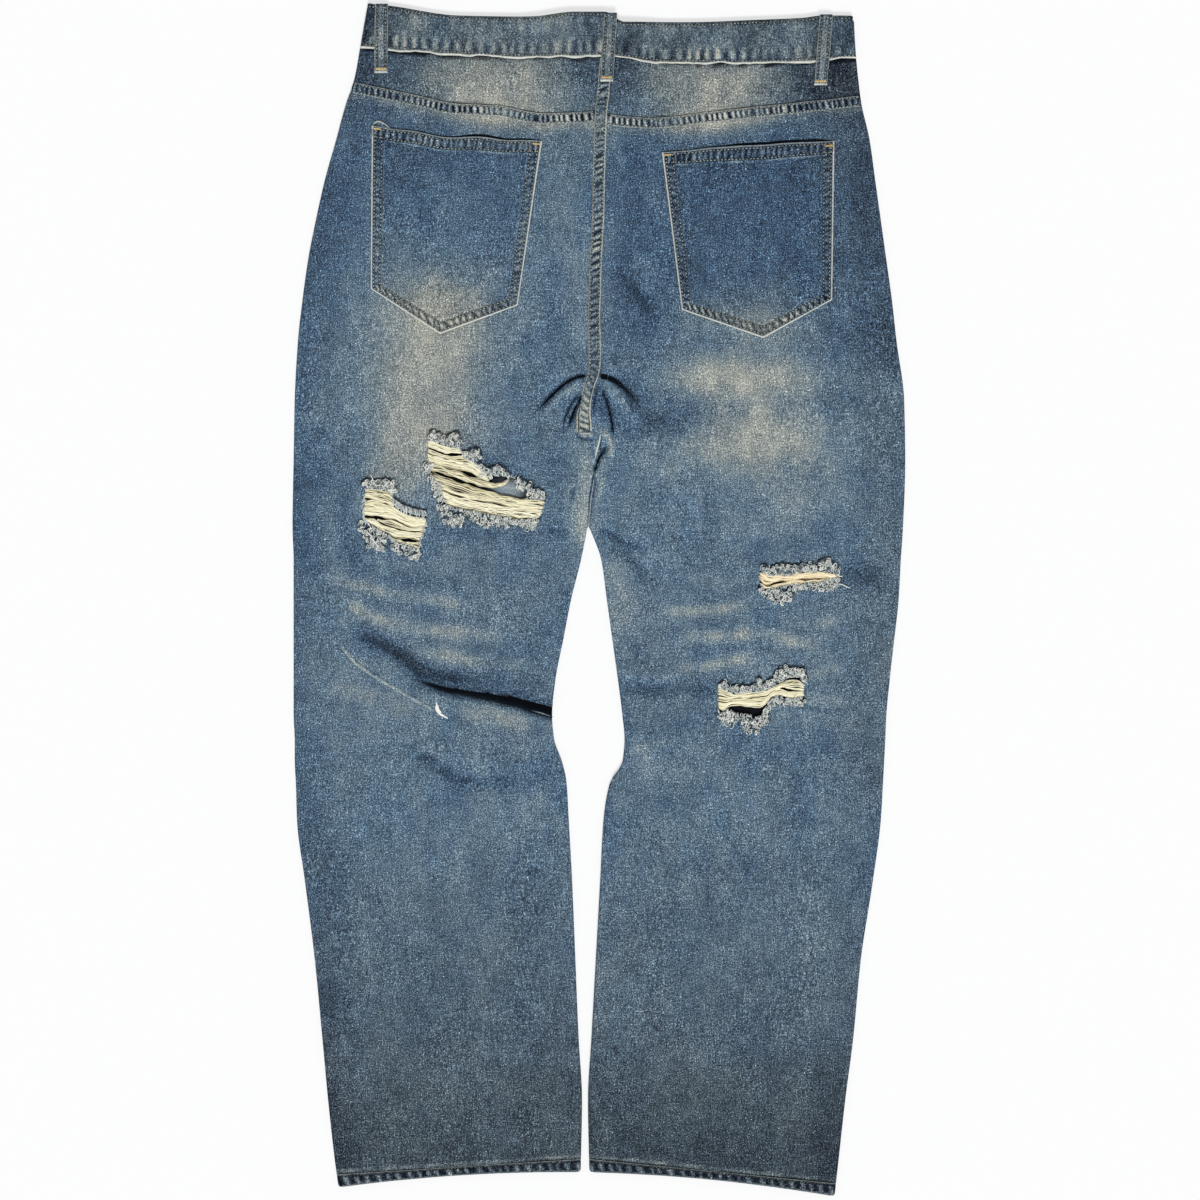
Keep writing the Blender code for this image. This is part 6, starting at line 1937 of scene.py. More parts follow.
# The left pocket's outer corner: the end of its turned mouth curls out.
V, U = np.meshgrid(np.array([0, 0.2, 0.4, 0.58, 0.72, 0.84, 0.92, 0.97, 1.0]),
                   np.linspace(0, 1, 26), indexing="ij")
rim = curve([0, 0.10, 0.36, 0.68, 1.0], [426.2, 429.8, 431.4, 429.2, 424.0])
x = -205.3 + 17.0 * U
y = lerp(422.6 - 1.4 * U, rim(U), V)
z = (cloth_top(x, y) + GAP + 0.9 + 1.5 * np.sin(np.pi * np.clip(U, 0.04, 0.96)) * V ** 1.5
     - 0.9 * smooth((V - 0.94) / 0.06))
fade = 0.46 + 0.10 * noise(x, y, 4, 4, 261)
ear_edge = 0.95 * smooth((V - 0.80) / 0.08) * (0.9 + 0.3 * noise(x, y, 5, 5, 262))
# painted shade across the curl and at its root
ear_dark = 0.55 * np.exp(-(((V - 0.66) / 0.10) ** 2)) + 0.35 * smooth((0.35 - V) / 0.3)
ride(shell("pocket_corner_left", np.stack([x, y, z], -1), 0.9, denim,
           pack4(fade, np.clip(ear_dark, 0, 1), np.clip(ear_edge, 0, 1)),
           pack4(np.full(x.shape, 0.3))), "denim_trim")

# ---------------------------------------------------------------- belt loops
LOOP_GRIDS = {}
for loop in LOOPS:
    if loop.face != "back":
        continue
    head = float(band_head(loop.x_head))
    foot = float(band_foot(loop.x_foot))
    stations = np.concatenate([
        [loop.y_foot, loop.y_foot + 0.35, loop.y_foot + 1.0],
        np.linspace(loop.y_foot + 2.2, head - 3.0, 44), [head - 1.6, head - 0.5, head + 0.5, head + 1.0]])
    across = np.array([-1, -0.96, -0.86, -0.72, -0.56, -0.3, 0, 0.3, 0.56, 0.72, 0.86, 0.96, 1])
    Yv, A = np.meshgrid(stations, across, indexing="ij")
    t = (head - Yv) / (head - loop.y_foot)
    half = LOOP_WIDTH / 2 * (1 + 0.03 * noise(Yv, A * 0, 14, 1, 301))
    X = lerp(loop.x_head, loop.x_foot, np.clip(t, 0, 1)) + A * half
    under = cloth_top(X, Yv)
    band_z = BAND_TOP_FACE + band_lump(X)
    on_band = smooth((Yv - (foot - 6)) / 7)
    z = lerp(under, band_z, on_band) + GAP + LOOP_WALL
    z = z + 0.9 * np.exp(-(((Yv - foot - 3) / 9) ** 2)) * (1 - 0.2 * A * A)
    z = z + 0.25 * (1 - A * A)
    z = z - 1.0 * smooth((np.abs(A) - 0.93) / 0.07) - 0.9 * smooth((loop.y_foot + 0.5 - Yv) / 0.5)
    z = z - 2.6 * smooth((Yv - head + 0.8) / 1.8)
    groove = np.exp(-(((np.abs(A) - 0.62) / 0.12) ** 2))
    z = z - 0.14 * groove
    fade = 0.42 + 0.16 * (np.abs(A) < 0.5) * (0.5 + 0.8 * noise(Yv, A, 5, 1.2, 303))
    fade = fade + 0.16 * np.exp(-(((Yv - (head + loop.y_foot) / 2) / 12) ** 2)) - 0.08 * (np.abs(A) > 0.5)
    edge = (0.78 - 0.34 * (A > 0)) * smooth((np.abs(A) - 0.84) / 0.08) + 1.0 * smooth((loop.y_foot + 1.8 - Yv) / 0.8)
    edge = np.clip(edge * (0.85 + 0.3 * noise(Yv, A, 7, 1.2, 304)), 0, 1)
    # painted shade in the stitch grooves and on the rim
    dark = 0.92 * groove * (Yv > loop.y_foot + 5) + 0.7 * (np.abs(A) > 0.99)
    P = np.stack([X, Yv, z], -1)
    obj = shell(loop.name + "_cloth", P, LOOP_WALL, denim,
                pack4(fade, np.clip(dark, 0, 1), edge), pack4(np.full(X.shape, 0.75)))
    ride(obj, "denim_trim", loop.name)
    LOOP_GRIDS[loop.name] = P

# ------------------------------------------------------------- front panels
def front_top(x):
    return band_foot(x) - front_dip(x) - GAP + 5.0


def front_foot(side, x):
    s = SECTIONS[-1]
    o, i = (s.l_out, s.l_in) if side == "left" else (s.r_out, s.r_in)
    x_out, x_in = float(outer_edge(side, o)), float(inner_edge(side, i))
    return lerp(o, i, (x - x_out) / (x_in - x_out)) + 0.5


def front_grid(side, rows, cols):
    way_out, way_in = (-1, 1) if side == "left" else (1, -1)
    t = np.linspace(0, 1, rows)[:, None]
    u = np.linspace(0, 1, cols)[None]
    t = t + 0 * u
    # finer rows about the fly, the loops and the scooped mouths
    t = np.where(t < 0.68, t / 0.68 * 0.842, 0.842 + (t - 0.68) / 0.32 * 0.158)
    y = lerp(-510.0, 475.0, t)
    for _ in range(6):
        x_a = outer_edge(side, y) - way_out * (BACK_TOP / 2 + WRAP + 0.3)
        turned = rolled(y)
        x_b = inner_edge(side, y) - way_in * (BACK_TOP / 2 + WRAP + 0.3) * turned
        x = lerp(x_a, x_b, u)
        y = lerp(front_foot(side, x), front_top(x), t)
    return x, y


UNDER_CREASES = [
    Crease(((-60, 190), (-90, 170), (-130, 160)), 1, 4, 4, 0.3, 0.4, 0.16),
    Crease(((-50, 215), (-90, 205), (-150, 200)), 1, 4, 4, 0.3, 0.4, 0.16),
    Crease(((-46, 240), (-90, 236), (-150, 240)), 1, 4, 4, 0.3, 0.4, 0.14),
    Crease(((46, 190), (80, 172), (124, 162)), 1, 4, 4, 0.3, 0.4, 0.16),
    Crease(((40, 216), (84, 206), (146, 202)), 1, 4, 4, 0.3, 0.4, 0.16),
    Crease(((38, 242), (84, 238), (140, 240)), 1, 4, 4, 0.3, 0.4, 0.14),
    Crease(((-240, -40), (-160, -52), (-70, -46)), 1, 5, 5, 0.3, 0.3, 0.12),
    Crease(((-236, -80), (-160, -92), (-74, -84)), 1, 5, 5, 0.3, 0.3, 0.10),
    Crease(((50, -44), (130, -54), (220, -42)), 1, 5, 5, 0.3, 0.3, 0.12),
    Crease(((54, -84), (130, -92), (214, -82)), 1, 5, 5, 0.3, 0.3, 0.10),
]
UNDER_LINES = [(c, Line(c.line)) for c in UNDER_CREASES]


def fly_line(extra):
    """The J of the fly: down beside the centre seam, then round to it."""
    y_head = float(band_foot(0)) - FRONT_DIP - GAP - 0.2
    y_foot = y_head - FLY_LENGTH
    turn = 34.0
    x_left = float(centre(y_foot)) - FLY_WIDTH
    points = [(x_left - extra, y_head + 8.0)]
    for k in range(13):
        a = math.radians(180 + 90 * k / 12)
        points.append((x_left + turn + (turn + extra) * math.cos(a),
                       y_foot + turn + (turn + extra) * math.sin(a)))
    for share in (0.0, 0.25, 0.5, 0.75, 1.0):
        yy = lerp(y_foot - extra, y_head + 8.0, share)
        points.append((float(centre(yy)) + 3.0, yy))
    return np.array(points)


def scoop_curve(side, extra, count=26):
    towards = 1 if side == "left" else -1
    x_ref = -219.0 if side == "left" else 232.0
    y_head = float(band_foot(x_ref)) - 0.65
    x_head = float(outer_edge(side, y_head)) + towards * 4.0
    a = np.linspace(0, math.pi / 2, count)
    x = x_head + towards * (SCOOP_WIDTH + extra) * np.cos(a)
    y = y_head - (SCOOP_DEPTH + extra) * np.sin(a)
    return x, y, x_head, y_head, towards


for side in ("left", "right"):
    x, y = front_grid(side, 146, 54)
    if side == "right":
        x, y = x[:, ::-1], y[:, ::-1]
    # seen from below the sheet's outer face is down, so rows run backwards
    fade = 0.42 + 0.10 * np.exp(-(((y - 120) / 110) ** 2)) - 0.16 * smooth((-330 - y) / 160)
    fade = fade + 0.16 * np.exp(-((((x - (-150 if side == "left" else 140)) / 55) ** 2) + ((y - 60) / 150) ** 2))
    fade = fade + 0.05 * noise(x, y, 30, 50, 401) + 0.03 * noise(x, y, 12, 20, 402)
    beige = np.full(x.shape, 0.2)
    for c, line in UNDER_LINES:
        near = line.near(x, y, 14)
        if near.any():
            d, s = line.measure(x[near], y[near])
            g = np.exp(-((d / c.left) ** 2)) * smooth(s / (0.3 * line.length)) * smooth((line.length - s) / (0.3 * line.length))
            fade[near] += c.shade * g
            beige[near] += 1.4 * c.shade * g
    sx, sy, x_head, y_head, towards = scoop_curve(side, 0.0)
    scoop = np.concatenate([
        np.stack([sx, sy], 1),
        [[x_head - towards * 30, y_head - SCOOP_DEPTH], [x_head - towards * 30, y_head + 30],
         [x_head + towards * SCOOP_WIDTH, y_head + 30]]])
    d, _, _ = nearest_on(scoop, x, y)
    edge = 0.5 * smooth((2.0 - d) / 1.4)
    z = np.zeros(x.shape)
    seam = np.minimum(np.abs(x - x[:, :1]), np.abs(x - x[:, -1:]))
    P = np.stack([x, y, z], -1)[::-1]
    keep = np.ones((P.shape[0] - 1, P.shape[1] - 1), bool)
    holes = [scoop]
    for loop in LOOPS:
        if loop.face == "front" and (loop.x_foot < 0) == (side == "left"):
            half = 6.0 + GAP
            holes.append(np.array([(loop.x_foot - half, loop.y_foot - GAP), (loop.x_foot + half, loop.y_foot - GAP),
                                   (loop.x_foot + half, 500.0), (loop.x_foot - half, 500.0)]))
    if side == "left":
        holes.append(fly_line(GAP))
    keep = cut_holes(P, keep, holes, 2.3)
    wear_and_shade = pack4(fade, 0.0, edge)[::-1]
    tone = pack4(np.clip(beige, 0, 1))[::-1]
    obj = shell("front_" + side + "_cloth", P, CLOTH, denim, wear_and_shade, tone, keep=keep)
    # painted shadow under the rips, on the inner layer only
    layer = obj.data.attributes["wear_and_shade"].data
    values = np.empty(len(layer) * 4, np.float32)
    layer.foreach_get("color", values)
    values = values.reshape(-1, 4)
    co = np.empty(len(layer) * 3, np.float32)
    obj.data.vertices.foreach_get("co", co)
    co = co.reshape(-1, 3) * 1000
    upper = co[:, 2] > 0.6
    under_rip_shade = np.zeros(len(co))
    for name, rip in RIPS.items():
        if rip.side == side:
            outline = hole_outline(name)
            cx, cy = co[:, 0].astype(float), co[:, 1].astype(float)
            lo, hi = outline.min(0) - 12, outline.max(0) + 12
            box = (cx > lo[0]) & (cx < hi[0]) & (cy > lo[1]) & (cy < hi[1])
            inside = inside_of(outline, cx[box], cy[box])
            dd, _, _ = nearest_on(outline, cx[box], cy[box])
            under_rip_shade[box] = np.maximum(under_rip_shade[box], np.where(inside | (dd < 9), 0.985, 0.0))
    if side == "left":
        # a patch of the inner face catches light behind the first rip
        px, py = (co[:, 0] + 82.5) / 15.0, (co[:, 1] - 99.5) / 8.6
        under_rip_shade *= 1 - 0.97 * np.exp(-((px * px + py * py) ** 2))
    values[:, 1] = np.where(upper, under_rip_shade, values[:, 1])
    layer.foreach_set("color", values.ravel())
    ride(obj, "denim", "front_" + side)

    # pocket facing behind the scooped mouth
    fx, fy, x_head, y_head, towards = scoop_curve(side, 13.0, 30)
    t = np.linspace(0, 1, 14)[:, None]
    bx = np.broadcast_to(x_head + towards * 12.0, fx.shape)
    gx = lerp(np.clip(x_head + towards * 9.0, -1e9, 1e9), fx[None], t)
    gy = lerp(y_head - 6.0, fy[None], t)
    limit = outer_edge(side, gy) + towards * 10.8
    gx = np.maximum(gx, limit) if towards > 0 else np.minimum(gx, limit)
    gy = np.minimum(gy, band_foot(gx) - front_dip(gx) - 1.5)
    G = np.stack([gx, gy, np.full(gx.shape, CLOTH + GAP)], -1)
    if side == "left":
        G = G[::-1]
    n = normals_of(G)[5, 15, 2]
    if n > 0:
        G = G[:, ::-1]
    fadeG = 0.30 + 0.04 * noise(G[..., 0], G[..., 1], 14, 20, 410)
    obj = shell("facing_" + side + "_cloth", G, INNER_WALL, denim, pack4(fadeG), pack4(np.full(fadeG.shape, 0.15)))
    ride(obj, "denim_trim", "facing_" + side)

# -------------------------------------------- what goes on the cloth: ground
ground = Ground()


def stitches(lines, seed, up=False, radius=0.46, pitch=STITCH, length=1.95,
             sides=4, lift=0.16, tint=0.55):
    """Short arched threads along lines on the cloth."""
    rng = np.random.default_rng(seed)
    paths = []
    for points in lines:
        line = points if isinstance(points, Line) else Line(points, step=2.0)
        n = max(1, int(line.length / pitch))
        for k in range(n):
            s = (k + 0.5) * line.length / n + rng.normal(0, 0.10)
            half = length / 2 * rng.uniform(0.9, 1.08)
            a, b = line.at(s - half), line.at(s + half)
            za, zb = ground.at(a[0], a[1], up), ground.at(b[0], b[1], up)
            if za is None or zb is None or abs(za - zb) > 1.6:
                continue
            way = -1 if up else 1
            path = []
            for t, h in ((0, -0.30), (0.28, 0.12), (0.72, 0.12), (1, -0.30)):
                x, y = lerp(a, b, t)
                path.append((x, y, lerp(za, zb, t) + way * (h * radius * 2 + lift)))
            paths.append(path)
    p, faces, strand = tubes(np.array(paths), radius, sides=sides, taper=0.5)
    tints = rng.normal(tint, 0.16, len(paths)).clip(0, 1)[strand]
    tone = pack4(tints, 0.0)
    return p, faces, tone


def shifted(line, offset, s0=0.0, s1=None, count=None):
    """A line beside another, to its left."""
    s1 = line.length if s1 is None else s1
    s = np.linspace(s0, s1, count or max(4, int((s1 - s0) / 4)))
    return line.at(s) + line.normal(s) * offset


back_lines = []
for side, line in YOKE_SEAMS.items():
    back_lines += [shifted(line, 3.45), shifted(line, -3.45)]
back_lines += [shifted(SEAT, 3.86, 22), shifted(SEAT, -3.86, 22)]
for p in POCKETS:
    W, H = POCKET_SIZE[p.side]

    def spot(du, dv, p=p, W=W, H=H):
        """A place that far in from the left/right and top/bottom edges."""
        u = du / W if du >= 0 else 1 + du / W
        v = dv / H if dv >= 0 else 1 + dv / H
        x, y = pocket_place(p, np.array(u), np.array(v))
        return float(x), float(y)

    tip = (p.tipx - p.blx) / (p.brx - p.blx) * W
    for inset, bottom in ((3.1, 2.75), (9.4, 8.4)):
        back_lines += [
            [spot(inset, 1.5), spot(inset, 60), spot(inset, -bottom)],
            [spot(-inset, 1.5), spot(-inset, 60), spot(-inset, -bottom)],
            [spot(inset, -bottom), spot((inset + tip) / 2, -bottom), spot(tip, -bottom)],
            [spot(tip, -bottom), spot((tip + W - inset) / 2, -bottom), spot(W - inset, -bottom)],
        ]
    for inset in (2.4, 9.8):
        back_lines.append([spot(3 + k * (W - 6) / 12, inset) for k in range(13)])
parts = [stitches(back_lines, 501, radius=0.46, pitch=3.2, length=1.75, tint=0.78)]
p, f, tone = join(parts)
ride(mesh_piece("stitches_back", p, f, stitch_mat, tone=tone), "denim_trim")

band_lines = []
xs = np.linspace(-212, 229, 120)
band_lines.append(np.stack([xs, band_foot(xs) + 3.1], 1))
band_lines.append(np.stack([xs, band_head(xs) - 2.7], 1))
for loop in LOOPS:
    if loop.face == "back":
        head = float(band_head(loop.x_head))
        for offset in (-3.7, 3.7):
            band_lines.append([(lerp(loop.x_head, loop.x_foot, t) + offset,
                                lerp(head - 1.5, loop.y_foot + 3.2, t)) for t in (0, 0.33, 0.66, 1)])
hem_lines = []
for hem in HEMS:
    x, y, z, rise = HEM_GRIDS[hem.side]
    row = 12
    hem_lines.append(np.stack([x[row, 1:95:6], y[row, 1:95:6]], 1))
p, f, tone = join([stitches(band_lines, 502, radius=0.46, pitch=3.2, length=1.75, tint=0.70),
                   stitches(hem_lines, 503, radius=0.55, tint=0.16)])
ride(mesh_piece("stitches_waist", p, f, stitch_mat, tone=tone), "denim_trim")


# The same threads on the underside, down on the front's outer face.
under_lines = []
j_line = fly_line(-4.5)[1:14]
under_lines += [j_line, fly_line(-10.5)[1:14]]
for side in ("left", "right"):
    for extra in (2.6, 9.0):
        sx, sy, x_head, y_head, towards = scoop_curve(side, extra, 14)
        under_lines.append(np.stack([sx, sy], 1))
for loop in LOOPS:
    if loop.face == "front":
        for offset in (-3.8, 3.8):
            under_lines.append([(loop.x_foot + offset, loop.y_foot + 2.5),
                                (loop.x_foot + offset, loop.y_foot + 24.0),
                                (loop.x_foot + offset, loop.y_foot + 46.0)])
for hem in HEMS:
    x, y, z, rise = HEM_GRIDS[hem.side]
    under_lines.append(np.stack([x[12, 108:198:6], y[12, 108:198:6]], 1))
xs = np.linspace(-205, 205, 90)
under_lines.append(np.stack([xs, band_foot(xs) - front_dip(xs) + 3.4], 1))
p, f, tone = stitches(under_lines, 504, up=True, radius=0.42, pitch=3.3, length=2.1, sides=3, tint=0.40)
ride(mesh_piece("stitches_front", p, f, stitch_mat, tone=tone), "denim_trim")


# Bar tacks: a close row of thread over the ends of loops and pocket corners.
def bar_tack(x, y, width, depth, seed, turn=0.0):
    rng = np.random.default_rng(seed)
    count = max(5, int(width / 0.62))
    paths = []
    c, s = math.cos(turn), math.sin(turn)
    for k in range(count):
        u = lerp(-width / 2, width / 2, (k + 0.5) / count)
        lean = 0.35 * (1 if k % 2 else -1)
        path = []
        for t, h in ((-1, -0.2), (-0.5, 0.35), (0, 0.45), (0.5, 0.35), (1, -0.2)):
            du, dv = u + lean * t, t * depth / 2 * rng.uniform(0.92, 1.05)
            px, py = x + du * c - dv * s, y + du * s + dv * c
            z = ground.at(px, py)
            path.append((px, py, (z if z is not None else 5.0) + h))
        paths.append(path)
    p, f, strand = tubes(np.array(paths), 0.36, sides=5, taper=0.6)
    tints = rng.normal(0.62, 0.16, count).clip(0, 1)[strand]
    return p, f, pack4(tints, 0.0)


tacks = []
for k, loop in enumerate(LOOPS):
    if loop.face == "back":
        tacks.append(bar_tack(loop.x_foot, loop.y_foot + 3.6, 9.5, 2.4, 520 + k))
for k, (x, y, turn) in enumerate(((-200.5, 423.8, -0.09), (-57.0, 410.2, -0.06),
                                  (60.5, 400.3, 0.06), (206.0, 408.6, 0.06))):
    tacks.append(bar_tack(x, y, 6.6, 1.8, 540 + k, turn))
p, f, tone = join(tacks)
ride(mesh_piece("bar_tacks", p, f, tack_mat, tone=tone), "denim_trim")


# --------------------------------------------------------- threads in the rips
def weft_threads(name):
    """The bared weft: bundles of yarns from side to side of the hole."""
    rip = RIPS[name]
    rng = np.random.default_rng(600 + ord(name))
    n = {"a": 42, "b": 30, "c": 30, "d": 32}[name]
    groups = []
    for b, (upper, lower, count, lift) in enumerate(rip.bundles):
        up, low = on_rip(rip, upper), on_rip(rip, lower)
        fu, fl = curve(up[:, 0], up[:, 1]), curve(low[:, 0], low[:, 1])
        count = int(count * 1.45)
        share = (np.arange(count) + 0.5) / count
        share = share + rng.normal(0, 0.25 / count, count)
        tight = 0.5 + 0.5 * np.cos(share * 2 * math.pi * max(1, count // 5))
        free = name == "a" and b == 2
        paths, radii, tints, thread_shades = [], [], [], []
        for k in range(count):
            x0 = max(up[0, 0], low[0, 0]) if free else lerp(low[0, 0], up[0, 0], share[k])
            x1 = lerp(low[-1, 0], up[-1, 0], share[k])
            if free:
                x1 = x1 - rng.uniform(0, 5.0)
                x0 = lerp(low[0, 0], up[0, 0], share[k])
            else:
                x0, x1 = x0 - 1.2, x1 + 1.2
            x = np.linspace(x0, x1, n)
            # neighbours wander together, so the slits between them stay thin
            t = share[k] + (1.3 / count) * noise(x, x * 0 + k * 0.30, 9, 1.0, 740 + ord(name) + b)
            # threads bunch together here and there
            y = lerp(fl(x), fu(x), np.clip(t, 0.0, 1.0))
            y = y + 0.68 * noise(x, x * 0 + k * 0.22, 6.0, 1.0, 750 + b)
            y = y + 0.55 * noise(x, x * 0 + k * 0.6, 4.2, 1.0, 760 + b)
            z = 3.55 + lift * (0.35 + 0.65 * math.sin(math.pi * min(max(share[k], 0), 1)))
            deep = rng.uniform(0, 1) < 0.31
            z = z + 0.46 * noise(x, x * 0 + k * 1.3, 5.5, 1.0, 770 + b) - 0.42 * deep
            if not free:
                z = z - 0.5 * smooth(1 - np.minimum(x - x0, x1 - x) / 3.0)
            else:
                z = z + 0.8 * smooth((x - (x1 - 18)) / 14)
            paths.append(np.stack([x, y, np.clip(z, 2.6, None)], 1))
            radii.append(rng.uniform(0.36, 0.47) * (0.85 if deep else 1.0))
            tints.append(0.10 if deep else rng.normal(0.76, 0.17))
            thread_shades.append(0.42 if deep else 0.0)
        p, f, strand = tubes(np.array(paths), np.array(radii), sides=5)
        tints = np.clip(tints, 0.10, 1.0)
        depth = np.array(thread_shades)[strand]
        across = share[strand]
        # painted shade: a deep thread is tinted dark and shaded, and shows for short runs only, then its neighbours
        # close over it; the threads at the bundle's lower edge get painted shade too
        runs = smooth(noise(p[:, 0], across * 40, 5.5, 1.0, 790 + b) * 2.2 + 0.35)
        rim = smooth((0.14 - across) / 0.12)
        groups.append((p, f, pack4(lerp(0.62, tints[strand], np.where(depth > 0, runs, 1.0)) - 0.34 * rim,
                                   np.clip(depth * runs + 0.30 * rim, 0, 1))))
    return groups


def ring_curls(rng, centre_xy, radius, count, cloth_z, loops=0.70):
    """A bunch of warp ends: open loops, hooks and a few nearly straight."""
    n = 9
    paths, tints = [], []
    for _ in range(count):
        a0 = rng.uniform(0, 2 * math.pi)
        off = radius * 0.66 * math.sqrt(rng.uniform(0, 1))
        angle = rng.uniform(0, 2 * math.pi)
        cx, cy = centre_xy[0] + off * math.cos(angle), centre_xy[1] + off * math.sin(angle)
        kind = rng.uniform(0, 1)
        turn = (rng.uniform(0.62, 1.12) if kind < loops else rng.uniform(0.18, 0.45)) * 2 * math.pi
        turn *= rng.choice([-1, 1])
        size = rng.uniform(0.85, 1.75) if kind < loops else rng.uniform(1.5, 2.9)
        t = np.linspace(0, 1, n)
        grow = 1 + rng.uniform(-0.35, 0.45) * t
        a = a0 + turn * t
        # loops are drawn out along the warp and lean over at a slant
        lean, spin = rng.uniform(0.0, 0.9), rng.uniform(0, 2 * math.pi)
        u = size * rng.uniform(0.55, 1.0) * grow * np.cos(a)
        v = size * rng.uniform(0.9, 1.3) * grow * np.sin(a)
        lift = (u * math.cos(spin) + v * math.sin(spin)) * math.sin(lean)
        z = cloth_z + 0.70 + rng.uniform(0, 1.2) + lift + 0.15 * t
        x = cx + u * (1 - 0.3 * lean * abs(math.cos(spin)))
        y = cy + v * (1 - 0.3 * lean * abs(math.sin(spin)))
        kink = rng.uniform(0.06, 0.22)
        x = x + kink * np.sin(t * 9 + a0) + rng.uniform(-0.7, 0.7) * t ** 3
        y = y + kink * np.cos(t * 8 + a0) + rng.uniform(-0.7, 0.7) * t ** 3
        paths.append(np.stack([x, y, np.maximum(z, cloth_z + 0.30)], 1))
        tints.append(np.clip(rng.normal(0.66, 0.28), 0, 1))
    return paths, tints


def frays(name):
    """The blue-white warp ends round the hole, curled back on the cloth."""
    rip = RIPS[name]
    rng = np.random.default_rng(800 + ord(name))
    paths, tints = [], []
    curls = np.array(rip.curls, float)
    centres = on_rip(rip, curls[:, :2])
    for (cx, cy), r in zip(centres, curls[:, 2] * rip.unit):
        cloth_z = float(cloth_top(cx, cy))
        new, tint = ring_curls(rng, (cx, cy), r + 0.4, max(3, int(2.0 * (r + 0.4))), cloth_z,
                               {"a": 0.74, "b": 0.66, "c": 0.42, "d": 0.58}[name])
        paths += new
        tints += tint
    n = paths[0].shape[0]
    # short straight ends fill in along the lips
    for lip, sign in ((rip.top, 1.0), (rip.foot, -1.0)):
        line = Line(on_rip(rip, lip), step=1.5)
        for _ in range(int(line.length / 0.85)):
            px, py = line.at(rng.uniform(0, line.length))
            t = np.linspace(0, 1, n)
            reach = rng.uniform(1.5, 3.6)
            lean = rng.normal(0, 0.5)
            x = px + lean * reach * t + 0.5 * np.sin(t * 5 + rng.uniform(0, 6))
            y = py - sign * 0.8 + sign * reach * t + 0.4 * np.cos(t * 5)
            z = cloth_top(px, py) + 0.2 + 0.9 * np.sin(math.pi * t)
            paths.append(np.stack([x, y, z], 1))
            tints.append(np.clip(rng.normal(0.42, 0.2), 0, 1))
    if rip.combs:
        line, count, length = Line(on_rip(rip, rip.combs[0]), step=1.0), rip.combs[1], rip.combs[2]
        for k in range(count):
            px, py = line.at((k + rng.uniform(0.2, 0.8)) * line.length / count)
            t = np.linspace(0, 1, n)
            reach = length * rng.uniform(0.6, 1.05)
            swing = rng.uniform(-0.4, 2.8)
            x = px - 0.6 + swing * np.sin(t * 2.0) - 0.5 * t + 0.35 * np.sin(t * 6 + k)
            y = py + 0.9 - reach * t
            z = cloth_top(px, py) + 0.3 + 1.3 * np.sin(math.pi * t) * rng.uniform(0.5, 1.0) - 0.6 * t
            paths.append(np.stack([x, y, z + 0 * t], 1))
            tints.append(np.clip(rng.normal(0.44, 0.30), 0, 1))
    paths = np.array(paths)
    radii = rng.uniform(0.29, 0.40, len(paths))
    p, f, strand = tubes(paths, radii, sides=4)
    return p, f, pack4(np.array(tints)[strand], 0.0)


for name in RIPS:
    p, f, tone = join(weft_threads(name))
    ride(mesh_piece("weft_" + name, p, f, weft_warm if name == "c" else weft_mat, tone=tone),
         "weft_thread", "threads_" + name)
    p, f, tone = frays(name)
    obj = mesh_piece("fringe_" + name, p, f, fringe_mat, tone=tone)
    ride(obj, "fringe", "fray_" + name + "_top", "fray_" + name + "_foot")
    print("rip", name, len(MADE["weft_" + name].data.polygons), len(obj.data.polygons))

# Loose ends: hairs beside the third rip, one yarn below the second, and the
# small white nick below the left knee. The free bundle in the first rip is
# made with its weft.
loose = []


def yarn(points, radius, tint, sides=6):
    run = np.r_[0, np.cumsum(np.linalg.norm(np.diff(np.array(points, float), axis=0), axis=1))]
    p = np.array(points, float)
    s = np.linspace(0, run[-1], max(8, int(run[-1] / 1.2)))
    path = np.stack([curve(run, p[:, k])(s) for k in range(3)], 1)
    pts, faces, strand = tubes(path[None], radius, sides=sides, taper=0.3)
    return pts, faces, pack4(np.full(len(pts), tint), 0.0)


for pts in ([(213, 23.7, 6.4), (215.7, 21.2, 6.8), (218.7, 21.7, 5.6)],
            [(214.2, 14.6, 6.2), (218.2, 13.8, 6.8), (221.1, 12.3, 6.0), (225.6, 10.6, 5.2)],
            [(-210.6, 61.8, 7.0), (-206.3, 58.4, 7.4), (-203.8, 54.1, 7.4), (-201.2, 49.9, 7.2),
             (-198.7, 47.3, 6.4)]):
    loose.append(yarn(pts, 0.38, 1.0))
p, f, tone = join(loose)
ride(mesh_piece("loose_yarn", p, f, fringe_mat, tone=tone), "weft_thread")
nick = [yarn([(-147.2, -91.6, 5.0), (-146.8, -96, 5.2), (-145.0, -100.5, 5.2), (-141.6, -103.6, 5.1), (-137.0, -106.6, 4.8)], 0.8, 0.95),
        yarn([(-148.0, -95.0, 5.0), (-147.0, -99.0, 5.6), (-144.0, -102.4, 5.4), (-141.0, -104.6, 5.0)], 0.95, 1.0),
        yarn([(-146.0, -94.4, 5.0), (-145.2, -98.4, 5.5), (-142.8, -101.6, 5.2)], 0.7, 0.9)]
p, f, tone = join(nick)
floor = cloth_top(p[:, 0], p[:, 1])
p[:, 2] = floor + (p[:, 2] - 5.0) * 0.6 + 0.25
ride(mesh_piece("knee_nick", p, f, fringe_mat, tone=tone), "fringe")

